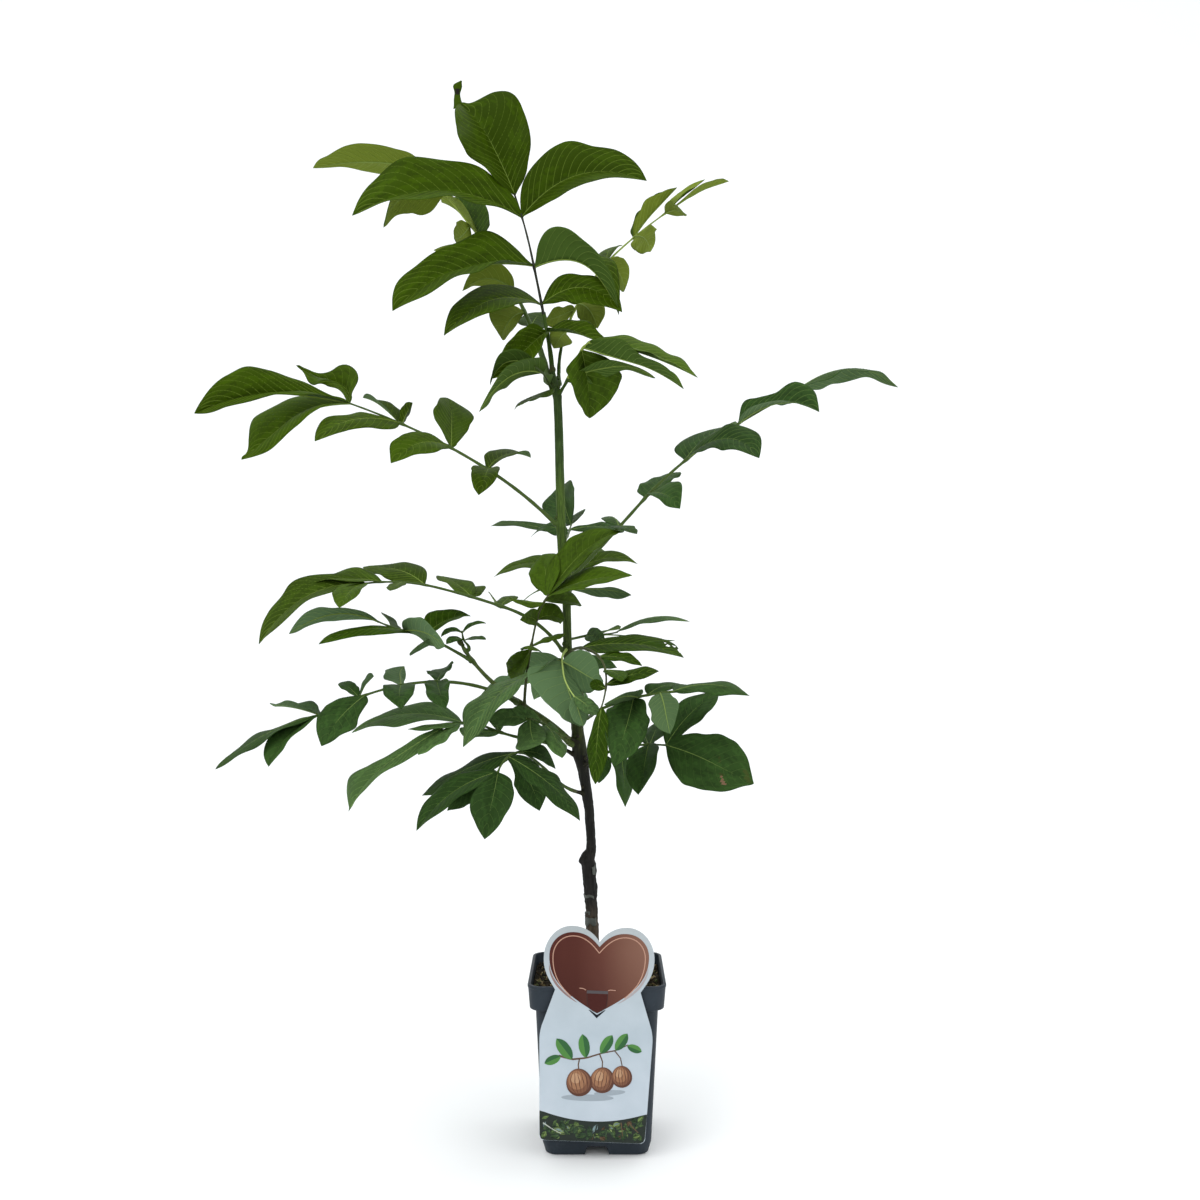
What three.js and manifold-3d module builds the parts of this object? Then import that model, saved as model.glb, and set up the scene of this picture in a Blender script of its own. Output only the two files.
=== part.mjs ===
// A young walnut tree, about 1.07 m tall, in a square nursery pot.
// Millimetres, +Z up. The origin is the centre of the pot's flat underside; +Y runs away from the pot's label.
import * as THREE from "three";
import { mergeVertices } from "three/addons/utils/BufferGeometryUtils.js";
import Module from "manifold-3d";

const wasm = await Module();
wasm.setup();

// ---------------------------------------------------------------- sizes
const GAP = 0.3; // between neighbouring solids

// pot
const POT_H = 167;
const RIM_HALF = 67;
const BAND_H = 24;
const BAND_LIP_HALF = 65;
const WALL_TOP_HALF = 59.4;
const BASE_HALF = 53;
const FOOT_HALF = 50.5;
const FOOT_H = 11;
const WALL_T = 2.2;
const FLOOR_T = 10.4;
const CORNER_R = 12;
const NOTCH = { top: 18, bottom: 24, high: 9.2, deep: 24 };

// soil
const SOIL_TOP = 161;
const SOIL_FALL = 3.2;
const SOIL_LUMP = 1.1;

// label card
const CARD = {
  t: 0.8,
  tipZ: 138.7,
  front: -68.9, // y of the card's back face at the rim
  lean: 1.7,
  turn: 2.2,
  lobeX: 26.3,
  lobeR: 26.6,
  lobeZ: 60.6,
  notchZ: 72.5,
  halfHeart: 52.8,
  neckHalf: 40.8,
  neckZ: 25.5,
  shoulderHalf: 54,
  shoulderZ: -18,
  footHalf: 50.6,
  footZ: -120,
};

// main stem: height, sideways place and diameter, from the soil to the growing tip
const STEM = [
  [161, -3, 15.1],
  [196, -4.5, 12.7],
  [237, -6, 12.4],
  [251, -6.8, 13.1],
  [268, -8.4, 14.7],
  [277, -9.7, 16.3],
  [281, -8.9, 14.9],
  [288, -6.2, 9.8],
  [296, -6, 8.8],
  [321, -7.5, 9.4],
  [362, -13.1, 11.4],
  [384, -16.6, 13.7],
  [407, -19.6, 12.1],
  [447, -25.1, 10],
  [492, -29.6, 8.8],
  [537, -30.6, 8.4],
  [592, -35.2, 9.4],
  [658, -37.2, 9],
  [738, -39.7, 8.4],
  [756, -43.2, 7.6],
  [767, -44.7, 4.6],
];

// side shoot: one tapering limb off the fork
const SHOOT = { at: 395, length: 148.2, d: [8, 2.6], heads: [-158.7, -174.3, -158, -170.2], pitches: [46.1, 31.9, 41.4, 59.4] };

// Compound leaves. Each has a stalk and rib of one length, whose heading (0 = +X, 90 = +Y) and pitch run
// between four values from foot to tip. Each leaflet row is: place along the rib, length, width, then its
// heading, pitch, roll and fold in degrees, and how far it arches as a share of its length.
const LEAVES = [
  { name: "crown", on: "stem", at: 759, side: 100, length: 203, heads: [190, 128, 142, 162], pitches: [88, 73, 75, 70],
    leaflets: [
      [1, 124, 69, -174, 61, -94, 17, 0.03],
      [0.87, 173, 76, -160, -6, -48, 27, 0.16],
      [0.87, 131, 68, -14, 11, 70, 28, 0.21],
      [0.604, 159, 70, -158, -20, -38, 22, 0.11],
      [0.594, 116, 51, -27, -31, 27, 12, 0.26],
      [0.391, 115, 51, -152, -21, -33, 12, 0.18],
      [0.391, 89, 39, -27, -12, 40, 5, 0.25],
      [0.245, 88, 39, -140, -38, -7, 5, 0.16],
      [0.245, 81, 36, -35, -16, 25, 0, 0.12],
    ] },
  { name: "back_left", on: "stem", at: 759, side: 185, length: 310, heads: [102, 138, 146, 157], pitches: [50, 59, 48, 53],
    leaflets: [
      [0.995, 136, 60, 169, 5, 17, 5, 0.08],
      [0.885, 106, 47, -129, -32, 47, 13, 0.06],
      [0.656, 106, 54, 121, 34, -12, 33, 0],
      [0.724, 68, 30, -101, -26, 68, 3, 0.05],
      [0.474, 89, 39, 159, 22, 33, 0, 0.05],
      [0.401, 62, 27, -145, -8, 40, 28, 0.14],
      [0.307, 58, 33, -116, -40, 102, 16, 0.09],
      [0.245, 68, 30, 75, 25, 0, 5, 0],
    ] },
  { name: "back_right", on: "stem", at: 755, side: 40, length: 296, heads: [99, 51, 41, 24], pitches: [58, 56, 41, 36],
    leaflets: [
      [1, 87, 38, 31, 28, -27, 6, 0.04],
      [0.943, 71, 31, 34, 40, -39, 2, 0.03],
      [0.948, 56, 25, -70, -18, -36, 0, 0.04],
      [0.771, 85, 37, 20, 47, -57, 19, 0.04],
      [0.776, 71, 31, -79, -30, -94, -5, 0.05],
      [0.599, 69, 30, 77, 27, -73, 2, 0.02],
      [0.599, 64, 28, -66, -40, -87, 6, 0.14],
      [0.37, 62, 27, -66, -37, -95, 14, 0.14],
      [0.344, 53, 23, -125, -22, 56, 0, 0.06],
      [0.234, 47, 21, -102, -29, 107, 9, 0.07],
    ] },
  { name: "front_right_top", on: "stem", at: 745, length: 75, heads: [-48, -61, -64, -63], pitches: [38, 47, 32, 3],
    leaflets: [
      [0.75, 69, 62, 73, -78, 132, 20, -0.13],
      [1, 114, 50, 6, -20, 32, 0, 0.11],
      [0.807, 120, 53, -34, -24, 13, 0, 0.1],
      [0.266, 110, 48, -40, -6, -5, 0, 0.08],
      [0.188, 31, 13, -30, -7, -48, 7, 0.1],
    ] },
  { name: "front_left_top", on: "stem", at: 747, length: 52, heads: [-126, -104, -105, -108], pitches: [53, 22, 6, 7],
    leaflets: [
      [0.932, 58, 27, -151, -26, 56, 25, 0.1],
      [0.531, 110, 48, -124, -28, 36, 1, 0.04],
      [0, 75, 33, -121, -21, 30, 0, 0.05],
    ] },
  { name: "left_upper", on: "stem", at: 614, length: 238, heads: [-163, -175, -174, -177], pitches: [44, 33, 25, 19],
    leaflets: [
      [1, 145, 64, -172, -5, -43, 21, 0.08],
      [1, 123, 54, -149, -30, -34, 12, 0.06],
      [1, 106, 47, 132, 27, -6, 18, 0.04],
      [0.766, 95, 42, -147, -13, -28, 4, 0.11],
      [0.771, 61, 27, 143, 35, -10, 3, 0.04],
      [0.76, 36, 16, 76, 45, 69, 6, 0],
      [0.547, 83, 37, -131, -16, -31, 6, 0.13],
      [0.536, 97, 44, 97, 39, 20, 11, 0],
      [0.359, 73, 32, -94, -26, 13, 3, 0.09],
      [0.359, 75, 33, 56, 15, 13, 6, 0.08],
    ] },
  { name: "right_upper", on: "stem", at: 559, length: 309, heads: [16, 14, 8, 7], pitches: [45, 48, 34, 27],
    leaflets: [
      [1, 106, 46, 5, 3, 25, 1, 0.15],
      [0.771, 96, 42, -35, 5, 35, 8, 0.16],
      [0.995, 63, 28, 107, 4, 13, 2, 0.03],
      [0.562, 92, 40, -41, -5, 35, 5, 0.21],
      [0.552, 92, 40, 44, 30, 9, 16, 0.04],
      [0.385, 70, 31, -63, -16, 22, 5, 0.09],
      [0.365, 75, 33, 53, 23, 5, 10, 0.06],
      [0.229, 59, 26, -71, -9, 11, 0, 0.07],
      [0.234, 64, 28, 107, 12, 60, 0, 0.04],
    ] },
  { name: "back_upper", on: "stem", at: 589, length: 163, heads: [89, 86, 89, 89], pitches: [15, 12, 10, 12],
    leaflets: [
      [1, 86, 49, 99, 34, -23, 19, 0],
      [0.703, 90, 40, 164, 3, -20, 2, 0.05],
      [0.719, 63, 28, 24, 0, 40, 9, 0.11],
      [0.958, 67, 29, 74, 20, -15, 0, 0],
      [0.422, 45, 20, 154, -4, -45, 0, 0.07],
    ] },
  { name: "back_middle", on: "stem", at: 531, length: 149, heads: [89, 87, 88, 91], pitches: [17, 13, 16, 11],
    leaflets: [
      [1, 92, 40, 70, 22, -3, 4, 0],
      [0.969, 89, 39, 174, -3, -27, 2, 0.13],
      [0.969, 73, 32, 8, 9, 31, 2, 0.12],
      [0.443, 68, 30, -4, -8, 32, 7, 0.14],
      [0.37, 51, 22, 180, -9, -38, 3, 0.14],
      [0.786, 78, 34, 103, 22, 14, -5, 0],
    ] },
  { name: "riser", on: "shoot", at: 0.417, length: 122, heads: [-57, -68, -58, -47], pitches: [88, 66, 67, 42],
    leaflets: [
      [1, 89, 39, -13, 10, 38, 9, 0.06],
      [1, 56, 36, 103, 43, -39, 12, 0],
      [1, 98, 43, 24, 40, 18, 19, 0.04],
      [0.911, 36, 16, -164, 12, -49, 0, 0.13],
      [0.927, 52, 23, 50, -3, 32, 3, 0.08],
      [0.729, 43, 19, -112, 5, -53, 0, 0.07],
      [0.74, 34, 28, 37, -4, 53, 27, 0.06],
      [0.495, 51, 22, -99, 3, -29, 0, 0.04],
      [0.505, 35, 15, 18, 24, 37, 5, 0.09],
      [0.484, 52, 32, 122, -26, -91, 23, 0.05],
    ] },
  { name: "left_middle", on: "stem", at: 487, length: 215, heads: [-150, -176, -174, -174], pitches: [54, 19, 14, -8],
    leaflets: [
      [1, 118, 52, -166, -32, -27, 2, 0.15],
      [0.917, 107, 47, 166, -8, -26, 7, 0.1],
      [1, 65, 29, -100, -21, -9, -6, 0.06],
      [0.724, 88, 39, 141, 8, -32, 12, 0.08],
      [0.828, 42, 18, -99, -12, 0, 0, 0.03],
      [0.505, 70, 31, 130, 21, 0, 8, 0.05],
      [0.505, 44, 19, 73, 17, 3, 0, 0.03],
      [0.37, 43, 19, 109, 11, 70, 0, 0.03],
      [0.365, 43, 19, 75, 16, -6, 0, 0.03],
    ] },
  { name: "left_shoot_leaf", on: "shoot", at: 0.875, side: -110, length: 99, heads: [-174, -158, -173, -160], pitches: [31, 28, 13, 25],
    leaflets: [
      [1, 84, 37, -155, -10, 26, 2, 0.16],
      [0.625, 99, 43, -156, -6, -11, 1, 0.09],
      [0.849, 55, 24, 110, 15, 73, 0, 0],
      [0.719, 76, 33, -55, -13, -59, -6, 0.06],
      [0.51, 65, 28, 47, 19, 24, 16, 0.1],
      [0.37, 56, 24, -112, -14, 6, 2, 0.08],
    ] },
  { name: "shoot_tip_leaf", on: "shoot", at: 0.958, side: 0, length: 21, heads: [-131, -191, -125, -116], pitches: [93, 41, 75, 73],
    leaflets: [
      [1, 30, 13, -21, 19, 44, 0, 0.1],
      [1, 23, 10, -154, -12, -37, 8, 0.17],
      [0.536, 32, 14, -39, 3, 30, 5, 0.06],
      [0.536, 25, 11, -127, -7, -28, 6, 0.12],
    ] },
  { name: "left_lower", on: "shoot", at: 0.458, side: -95, length: 203, heads: [-156, -158, -167, -168], pitches: [30, 6, -15, -27],
    leaflets: [
      [1, 105, 46, -171, -29, -15, 1, 0.07],
      [1, 73, 32, -131, -35, -8, 4, 0.07],
      [1, 75, 33, 138, 6, 35, 2, 0.04],
      [0.76, 74, 40, -124, -35, -37, 8, 0.05],
      [0.792, 40, 18, 130, 16, -9, 0, 0.06],
      [0.792, 45, 20, 83, 28, -89, 0, 0.04],
      [0.589, 62, 33, -83, -14, 21, 12, 0.03],
      [0.589, 78, 34, 100, 12, -167, 9, 0],
      [0.417, 64, 28, -80, -16, 11, 29, 0.03],
      [0.417, 63, 28, 81, 14, 0, 22, 0],
    ] },
  { name: "left_low_long", on: "stem", at: 383, side: -165, length: 144, heads: [-145, -160, -155, -161], pitches: [29, 10, 24, -23],
    leaflets: [
      [1, 115, 51, -160, -42, -10, 1, 0.07],
      [0.844, 113, 50, 170, -5, -15, 5, 0.1],
      [0.839, 55, 24, -159, -4, -15, 2, 0.05],
      [0.849, 62, 27, -126, -26, 11, 0, 0.05],
      [0.568, 51, 23, -129, -3, -23, 3, 0.04],
      [0.578, 53, 23, 107, 10, 13, 0, 0],
    ] },
  { name: "low_left_near", on: "stem", at: 395, side: -100, length: 68, heads: [-142, -144, -140, -130], pitches: [30, 23, 28, 8],
    leaflets: [
      [0.995, 37, 22, 174, -4, -62, 13, 0.11],
      [0.729, 34, 18, -156, 29, -71, 14, 0.06],
      [0.953, 59, 26, -78, -16, -30, 0, 0.07],
      [0.651, 59, 26, -69, -26, -23, 3, 0.09],
      [0.583, 19, 14, 49, -7, 61, 17, 0.11],
    ] },
  { name: "low_left_hanging", on: "stem", at: 344, length: 139, heads: [-132, -135, -125, -142], pitches: [11, 41, 26, -72],
    leaflets: [
      [1, 67, 36, -106, -52, -32, 20, 0.06],
      [0.734, 107, 47, 171, -27, -23, 9, 0.07],
      [0.984, 91, 40, -161, -33, -19, 11, 0.08],
      [0.849, 93, 41, -24, -37, 4, 0, 0.05],
      [0.854, 67, 29, 40, -55, 66, 2, 0.03],
      [1, 65, 29, 158, -35, -31, 2, 0.06],
      [0.714, 47, 21, 43, -23, 59, 8, 0.06],
    ] },
  { name: "front", on: "stem", at: 487, length: 98, heads: [-105, -88, -83, -40], pitches: [-14, -13, -35, -45],
    leaflets: [
      [0.401, 70, 67, -89, -61, 143, 26, 0],
      [0.401, 52, 41, -39, -24, -88, 13, 0],
      [0.333, 136, 60, -143, -35, 52, -3, 0.05],
      [0.995, 35, 16, -38, -23, 35, 0, 0.06],
      [0.99, 30, 17, -34, -69, -150, 14, 0],
    ] },
  { name: "right_middle", on: "stem", at: 485, length: 151, heads: [-71, -59, -85, -108], pitches: [19, -12, -33, -40],
    leaflets: [
      [0.198, 105, 46, -22, -2, 16, 0, 0.06],
      [0.453, 45, 20, -27, -12, 27, 0, 0.04],
      [0.635, 43, 19, -72, -13, -11, 0, 0.03],
      [0.792, 54, 24, -11, 16, 30, -3, 0.05],
      [0.823, 25, 11, 126, 7, -75, 11, 0.04],
      [1, 70, 31, -108, -73, 46, -2, 0.09],
    ] },
  { name: "right_thin", on: "stem", at: 497, length: 79, heads: [83, 37, 59, 14], pitches: [-0, 10, -3, 14],
    leaflets: [
      [1, 78, 34, -15, 6, 14, 0, 0.12],
      [0.792, 77, 34, -19, 0, 13, 0, 0.05],
      [0.708, 56, 25, 65, 8, 3, 3, 0.04],
      [0.417, 36, 19, -56, -5, 49, 19, 0.09],
    ] },
  { name: "right_low", on: "stem", at: 415, length: 162, heads: [-67, -79, -34, -13], pitches: [13, 15, 17, 5],
    leaflets: [
      [0.974, 71, 31, -12, -5, 19, 0, 0.12],
      [0.734, 80, 35, -109, -43, 4, 16, 0.05],
      [0.901, 70, 31, -83, -30, -130, 6, 0.06],
      [0.76, 59, 26, -121, -1, -13, 2, 0.03],
      [1, 64, 28, 45, -8, 40, 0, 0.03],
      [0.828, 57, 25, 38, 7, 16, 5, 0.03],
    ] },
  { name: "right_low_big", on: "stem", at: 373, length: 115, heads: [-62, -52, -39, -19], pitches: [22, 21, 10, -3],
    leaflets: [
      [1, 90, 55, -25, -21, 54, 10, 0.04],
      [0.828, 69, 34, -99, -36, 24, 23, 0.06],
      [0.536, 68, 30, -85, -49, -46, 2, 0.06],
      [0.281, 42, 22, -96, -33, -17, 19, 0.1],
      [1, 84, 37, 44, 31, 23, 6, 0.03],
      [0.823, 47, 21, 97, 16, 26, 0, 0],
      [0.839, 59, 26, 77, 16, -20, 0, 0],
    ] },
  { name: "back_lower", on: "stem", at: 396, length: 171, heads: [82, 92, 101, 110], pitches: [47, 31, 15, -1],
    leaflets: [
      [1, 87, 43, 118, -19, 7, 16, 0.04],
      [0.97, 70, 33, 161, -16, 15, 12, 0.07],
      [0.97, 70, 34, 46, -16, 0, 16, 0.06],
      [0.78, 52, 23, 162, -13, 19, 14, 0.08],
      [0.78, 52, 22, 34, -6, 10, 11, 0.06],
      [0.6, 35, 16, 164, 12, 15, 19, 0.04],
    ] },
  { name: "back_low", on: "stem", at: 433, length: 116, heads: [114, 110, 105, 101], pitches: [19, 10, 2, -7],
    leaflets: [
      [0.97, 66, 31, 154, -23, 11, 10, 0.07],
      [0.97, 66, 32, 39, -26, -5, 11, 0.08],
      [0.78, 60, 25, 37, -24, -1, 12, 0.06],
      [0.6, 36, 17, 166, -2, -8, 12, 0.07],
      [0.6, 36, 15, 36, -23, 14, 14, 0.05],
    ] },
];
// how a leaflet's half width runs along it
const BLADE_FINE = [[0.17, 0.67], [0.4, 0.98], [0.66, 0.95], [0.87, 0.57]];
const BLADE_SHORT = [[0.24, 0.8], [0.56, 1], [0.84, 0.64]];
const BLADE_SMALL = [[0.3, 0.9], [0.72, 0.88]];
const SHORT_LEAFLET = 114;
const SMALL_LEAFLET = 58;
const BLADE_T = 2.6; // at the midrib, running out to nothing at the margin
const RIB_R = [2.0, 1.05]; // leaf stalk and rib, from foot to tip
const RIB_STEPS = 24; // the rib's bend is worked out in this many steps
const RIB_RINGS = 5;
const STALK_SHORTEST = 20;

// ---------------------------------------------------------------- helpers
const rad = THREE.MathUtils.degToRad;
const vec = (x, y, z) => new THREE.Vector3(x, y, z);
const lerp = THREE.MathUtils.lerp;
const heading = (h, p) => vec(Math.cos(rad(p)) * Math.cos(rad(h)), Math.cos(rad(p)) * Math.sin(rad(h)), Math.sin(rad(p)));

function geometryFrom(points, faces) {
  const g = new THREE.BufferGeometry();
  g.setAttribute("position", new THREE.Float32BufferAttribute(points.flatMap((p) => [p.x, p.y, p.z]), 3));
  g.setIndex(faces.flat());
  return g;
}

function solid(geometry) {
  const g = geometry.clone();
  g.deleteAttribute("normal");
  g.deleteAttribute("uv");
  const m = mergeVertices(g, 1e-4);
  return new wasm.Manifold(new wasm.Mesh({ numProp: 3, vertProperties: new Float32Array(m.attributes.position.array), triVerts: new Uint32Array(m.index.array) }));
}

function geometryOf(manifold) {
  const m = manifold.getMesh();
  const g = new THREE.BufferGeometry();
  const pos = new Float32Array(m.numVert * 3);
  for (let i = 0; i < m.numVert; i++) for (let k = 0; k < 3; k++) pos[3 * i + k] = m.vertProperties[m.numProp * i + k];
  g.setAttribute("position", new THREE.BufferAttribute(pos, 3));
  g.setIndex(Array.from(m.triVerts));
  g.computeVertexNormals();
  return g;
}

// A closed skin over rings of equal count; each end is closed by a fan to its middle.
function skin(rings) {
  const n = rings[0].length;
  const pts = rings.flat();
  const faces = [];
  for (let i = 0; i + 1 < rings.length; i++)
    for (let j = 0; j < n; j++) {
      const a = i * n + j, b = i * n + ((j + 1) % n), c = a + n, d = b + n;
      faces.push([a, b, d], [a, d, c]);
    }
  const mid = (ring) => ring.reduce((s, p) => s.add(p), vec(0, 0, 0)).divideScalar(n);
  const first = pts.length, last = first + 1;
  pts.push(mid(rings[0]), mid(rings[rings.length - 1]));
  for (let j = 0; j < n; j++) {
    faces.push([first, (j + 1) % n, j]);
    const o = (rings.length - 1) * n;
    faces.push([last, o + j, o + ((j + 1) % n)]);
  }
  return geometryFrom(pts, faces);
}

// A tapering limb along a line of points, with a radius at each.
function limb(points, radii, sides) {
  let side = null;
  const rings = points.map((p, i) => {
    const a = points[Math.max(0, i - 1)], b = points[Math.min(points.length - 1, i + 1)];
    const along = b.clone().sub(a).normalize();
    if (!side) side = Math.abs(along.z) > 0.9 ? vec(1, 0, 0) : vec(0, 0, 1);
    side = side.clone().addScaledVector(along, -side.dot(along)).normalize();
    const up = along.clone().cross(side);
    return Array.from({ length: sides }, (_, j) => {
      const t = (2 * Math.PI * j) / sides;
      return p.clone().addScaledVector(side, radii[i] * Math.cos(t)).addScaledVector(up, radii[i] * Math.sin(t));
    });
  });
  return skin(rings);
}

// Points along a rib: its heading and pitch run evenly between the four values given.
function ribLine(foot, length, heads, pitches) {
  const line = [foot.clone()];
  for (let i = 0; i < RIB_STEPS; i++) {
    const t = ((i + 0.5) / RIB_STEPS) * 3, j = Math.min(Math.floor(t), 2), f = t - j;
    const d = heading(lerp(heads[j], heads[j + 1], f), lerp(pitches[j], pitches[j + 1], f));
    line.push(line[i].clone().addScaledVector(d, length / RIB_STEPS));
  }
  return line;
}

function onLine(line, t) {
  const u = t * (line.length - 1), i = Math.min(Math.floor(u), line.length - 2);
  return line[i].clone().lerp(line[i + 1], u - i);
}

function tube(line, t0, t1, r0, r1, rings, sides) {
  const pts = [], radii = [];
  for (let i = 0; i <= rings; i++) {
    const t = lerp(t0, t1, i / rings);
    pts.push(onLine(line, t));
    radii.push(lerp(r0, r1, t));
  }
  return limb(pts, radii, sides);
}

// One leaflet: a thin folded blade that arches between its foot and its tip.
function leaflet(foot, [, length, width, head, pitch, roll, fold, arch]) {
  const along = heading(head, pitch);
  const level = vec(-Math.sin(rad(head)), Math.cos(rad(head)), 0);
  const over = along.clone().cross(level);
  const side = level.clone().multiplyScalar(Math.cos(rad(roll))).addScaledVector(over, Math.sin(rad(roll)));
  const face = along.clone().cross(side);
  const at = (s) => foot.clone().addScaledVector(along, length * s).addScaledVector(over, 4 * s * (1 - s) * arch * length);
  const left = side.clone().multiplyScalar(Math.cos(rad(fold))).addScaledVector(face, Math.sin(rad(fold)));
  const right = side.clone().multiplyScalar(-Math.cos(rad(fold))).addScaledVector(face, Math.sin(rad(fold)));
  const stations = length < SMALL_LEAFLET ? BLADE_SMALL : length < SHORT_LEAFLET ? BLADE_SHORT : BLADE_FINE;
  const pts = [foot.clone().addScaledVector(along, -0.1), at(1)];
  const faces = [];
  stations.forEach(([s, h], i) => {
    const c = at(s), half = (h * width) / 2;
    pts.push(c.clone().addScaledVector(left, half), c.clone().addScaledVector(face, BLADE_T / 2), c.clone().addScaledVector(right, half), c.clone().addScaledVector(face, -BLADE_T / 2));
    const o = 2 + 4 * i;
    for (let j = 0; j < 4; j++) {
      const k = (j + 1) % 4;
      if (i === 0) faces.push([0, o + k, o + j]);
      else faces.push([o - 4 + j, o - 4 + k, o + k], [o - 4 + j, o + k, o + j]);
      if (i === stations.length - 1) faces.push([1, o + j, o + k]);
    }
  });
  return geometryFrom(pts, faces);
}

// One ring of a rounded square, level, with its middle on the axis.
function squareRing(half, radius, z, steps = 3) {
  const ring = [];
  for (let q = 0; q < 4; q++)
    for (let i = 0; i <= steps; i++) {
      const a = (q * Math.PI) / 2 + (i / steps) * (Math.PI / 2);
      const cx = (q === 0 || q === 3 ? 1 : -1) * (half - radius), cy = (q < 2 ? 1 : -1) * (half - radius);
      ring.push(vec(cx + radius * Math.cos(a), cy + radius * Math.sin(a), z));
    }
  return ring;
}

const group = new THREE.Group();
const finish = {
  pot: { color: 0x363f46, roughness: 0.62, metalness: 0 },
  soil: { color: 0x2b2018, roughness: 0.95, metalness: 0 },
  card: { color: 0xc9d2da, roughness: 0.5, metalness: 0 },
  bark: { color: 0x3a3226, roughness: 0.8, metalness: 0 },
  stalk: { color: 0x5d6b33, roughness: 0.6, metalness: 0 },
  leaf: { color: 0x3f6a1f, roughness: 0.55, metalness: 0 },
};
function add(name, manifold, look) {
  const mesh = new THREE.Mesh(geometryOf(manifold), new THREE.MeshStandardMaterial(finish[look]));
  mesh.name = name;
  group.add(mesh);
  return mesh;
}

// ---------------------------------------------------------------- pot
{
  const wallTop = POT_H - BAND_H;
  const outside = [
    [FOOT_HALF - 1.5, CORNER_R - 1, 0],
    [FOOT_HALF, CORNER_R, 1.5],
    [BASE_HALF, CORNER_R, FOOT_H],
    [WALL_TOP_HALF, CORNER_R, wallTop - 0.6],
    [BAND_LIP_HALF, CORNER_R + 2, wallTop],
    [RIM_HALF - 0.4, CORNER_R + 2, POT_H - 3],
    [RIM_HALF, CORNER_R + 2, POT_H - 1.2],
    [RIM_HALF - 0.6, CORNER_R + 2, POT_H],
  ];
  const inside = [
    [RIM_HALF - WALL_T, CORNER_R, POT_H],
    [BAND_LIP_HALF - WALL_T, CORNER_R, wallTop + 3],
    [WALL_TOP_HALF - WALL_T, CORNER_R - 2, wallTop + 1],
    [BASE_HALF - WALL_T, CORNER_R - 2, FLOOR_T],
  ];
  let pot = solid(skin([...outside, ...inside].map(([half, r, z]) => squareRing(half, r, z))));
  for (let q = 0; q < 4; q++) {
    const shape = new THREE.Shape([
      new THREE.Vector2(-NOTCH.bottom / 2, -1),
      new THREE.Vector2(NOTCH.bottom / 2, -1),
      new THREE.Vector2(NOTCH.top / 2, NOTCH.high),
      new THREE.Vector2(-NOTCH.top / 2, NOTCH.high),
    ]);
    const g = new THREE.ExtrudeGeometry(shape, { depth: NOTCH.deep + 6, bevelEnabled: false });
    g.rotateX(Math.PI / 2);
    g.translate(0, -BASE_HALF + NOTCH.deep, 0);
    g.rotateZ((q * Math.PI) / 2);
    pot = pot.subtract(solid(g));
  }
  add("pot", pot, "pot");

  // soil: fills the shell, with an uneven top that falls a little from the stem
  const rings = [];
  const shellHalf = (z) => lerp(BASE_HALF, WALL_TOP_HALF, (z - FLOOR_T) / (wallTop + 1 - FLOOR_T)) - WALL_T - GAP;
  for (const z of [FLOOR_T + GAP, wallTop - 1]) rings.push(squareRing(shellHalf(z), CORNER_R - 2, z));
  rings.push(squareRing(shellHalf(wallTop + 1), CORNER_R - 2, wallTop + 1.8));
  rings.push(squareRing(BAND_LIP_HALF - WALL_T - 1, CORNER_R, wallTop + 4.4));
  for (const k of [1, 0.66, 0.36]) {
    const half = (BAND_LIP_HALF - WALL_T - 1.4) * k;
    rings.push(
      squareRing(half, CORNER_R * k, 0).map((p) => {
        const far = Math.hypot(p.x, p.y) / RIM_HALF;
        p.z = SOIL_TOP - SOIL_FALL * far * far + SOIL_LUMP * Math.min(1, far * 1.2) * Math.sin(p.x * 0.11 + 1) * Math.cos(p.y * 0.13) - 0.7;
        return p;
      }),
    );
  }
  rings.push(squareRing(11, 5, SOIL_TOP - GAP));
  add("soil", solid(skin(rings)), "soil");
}

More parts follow.
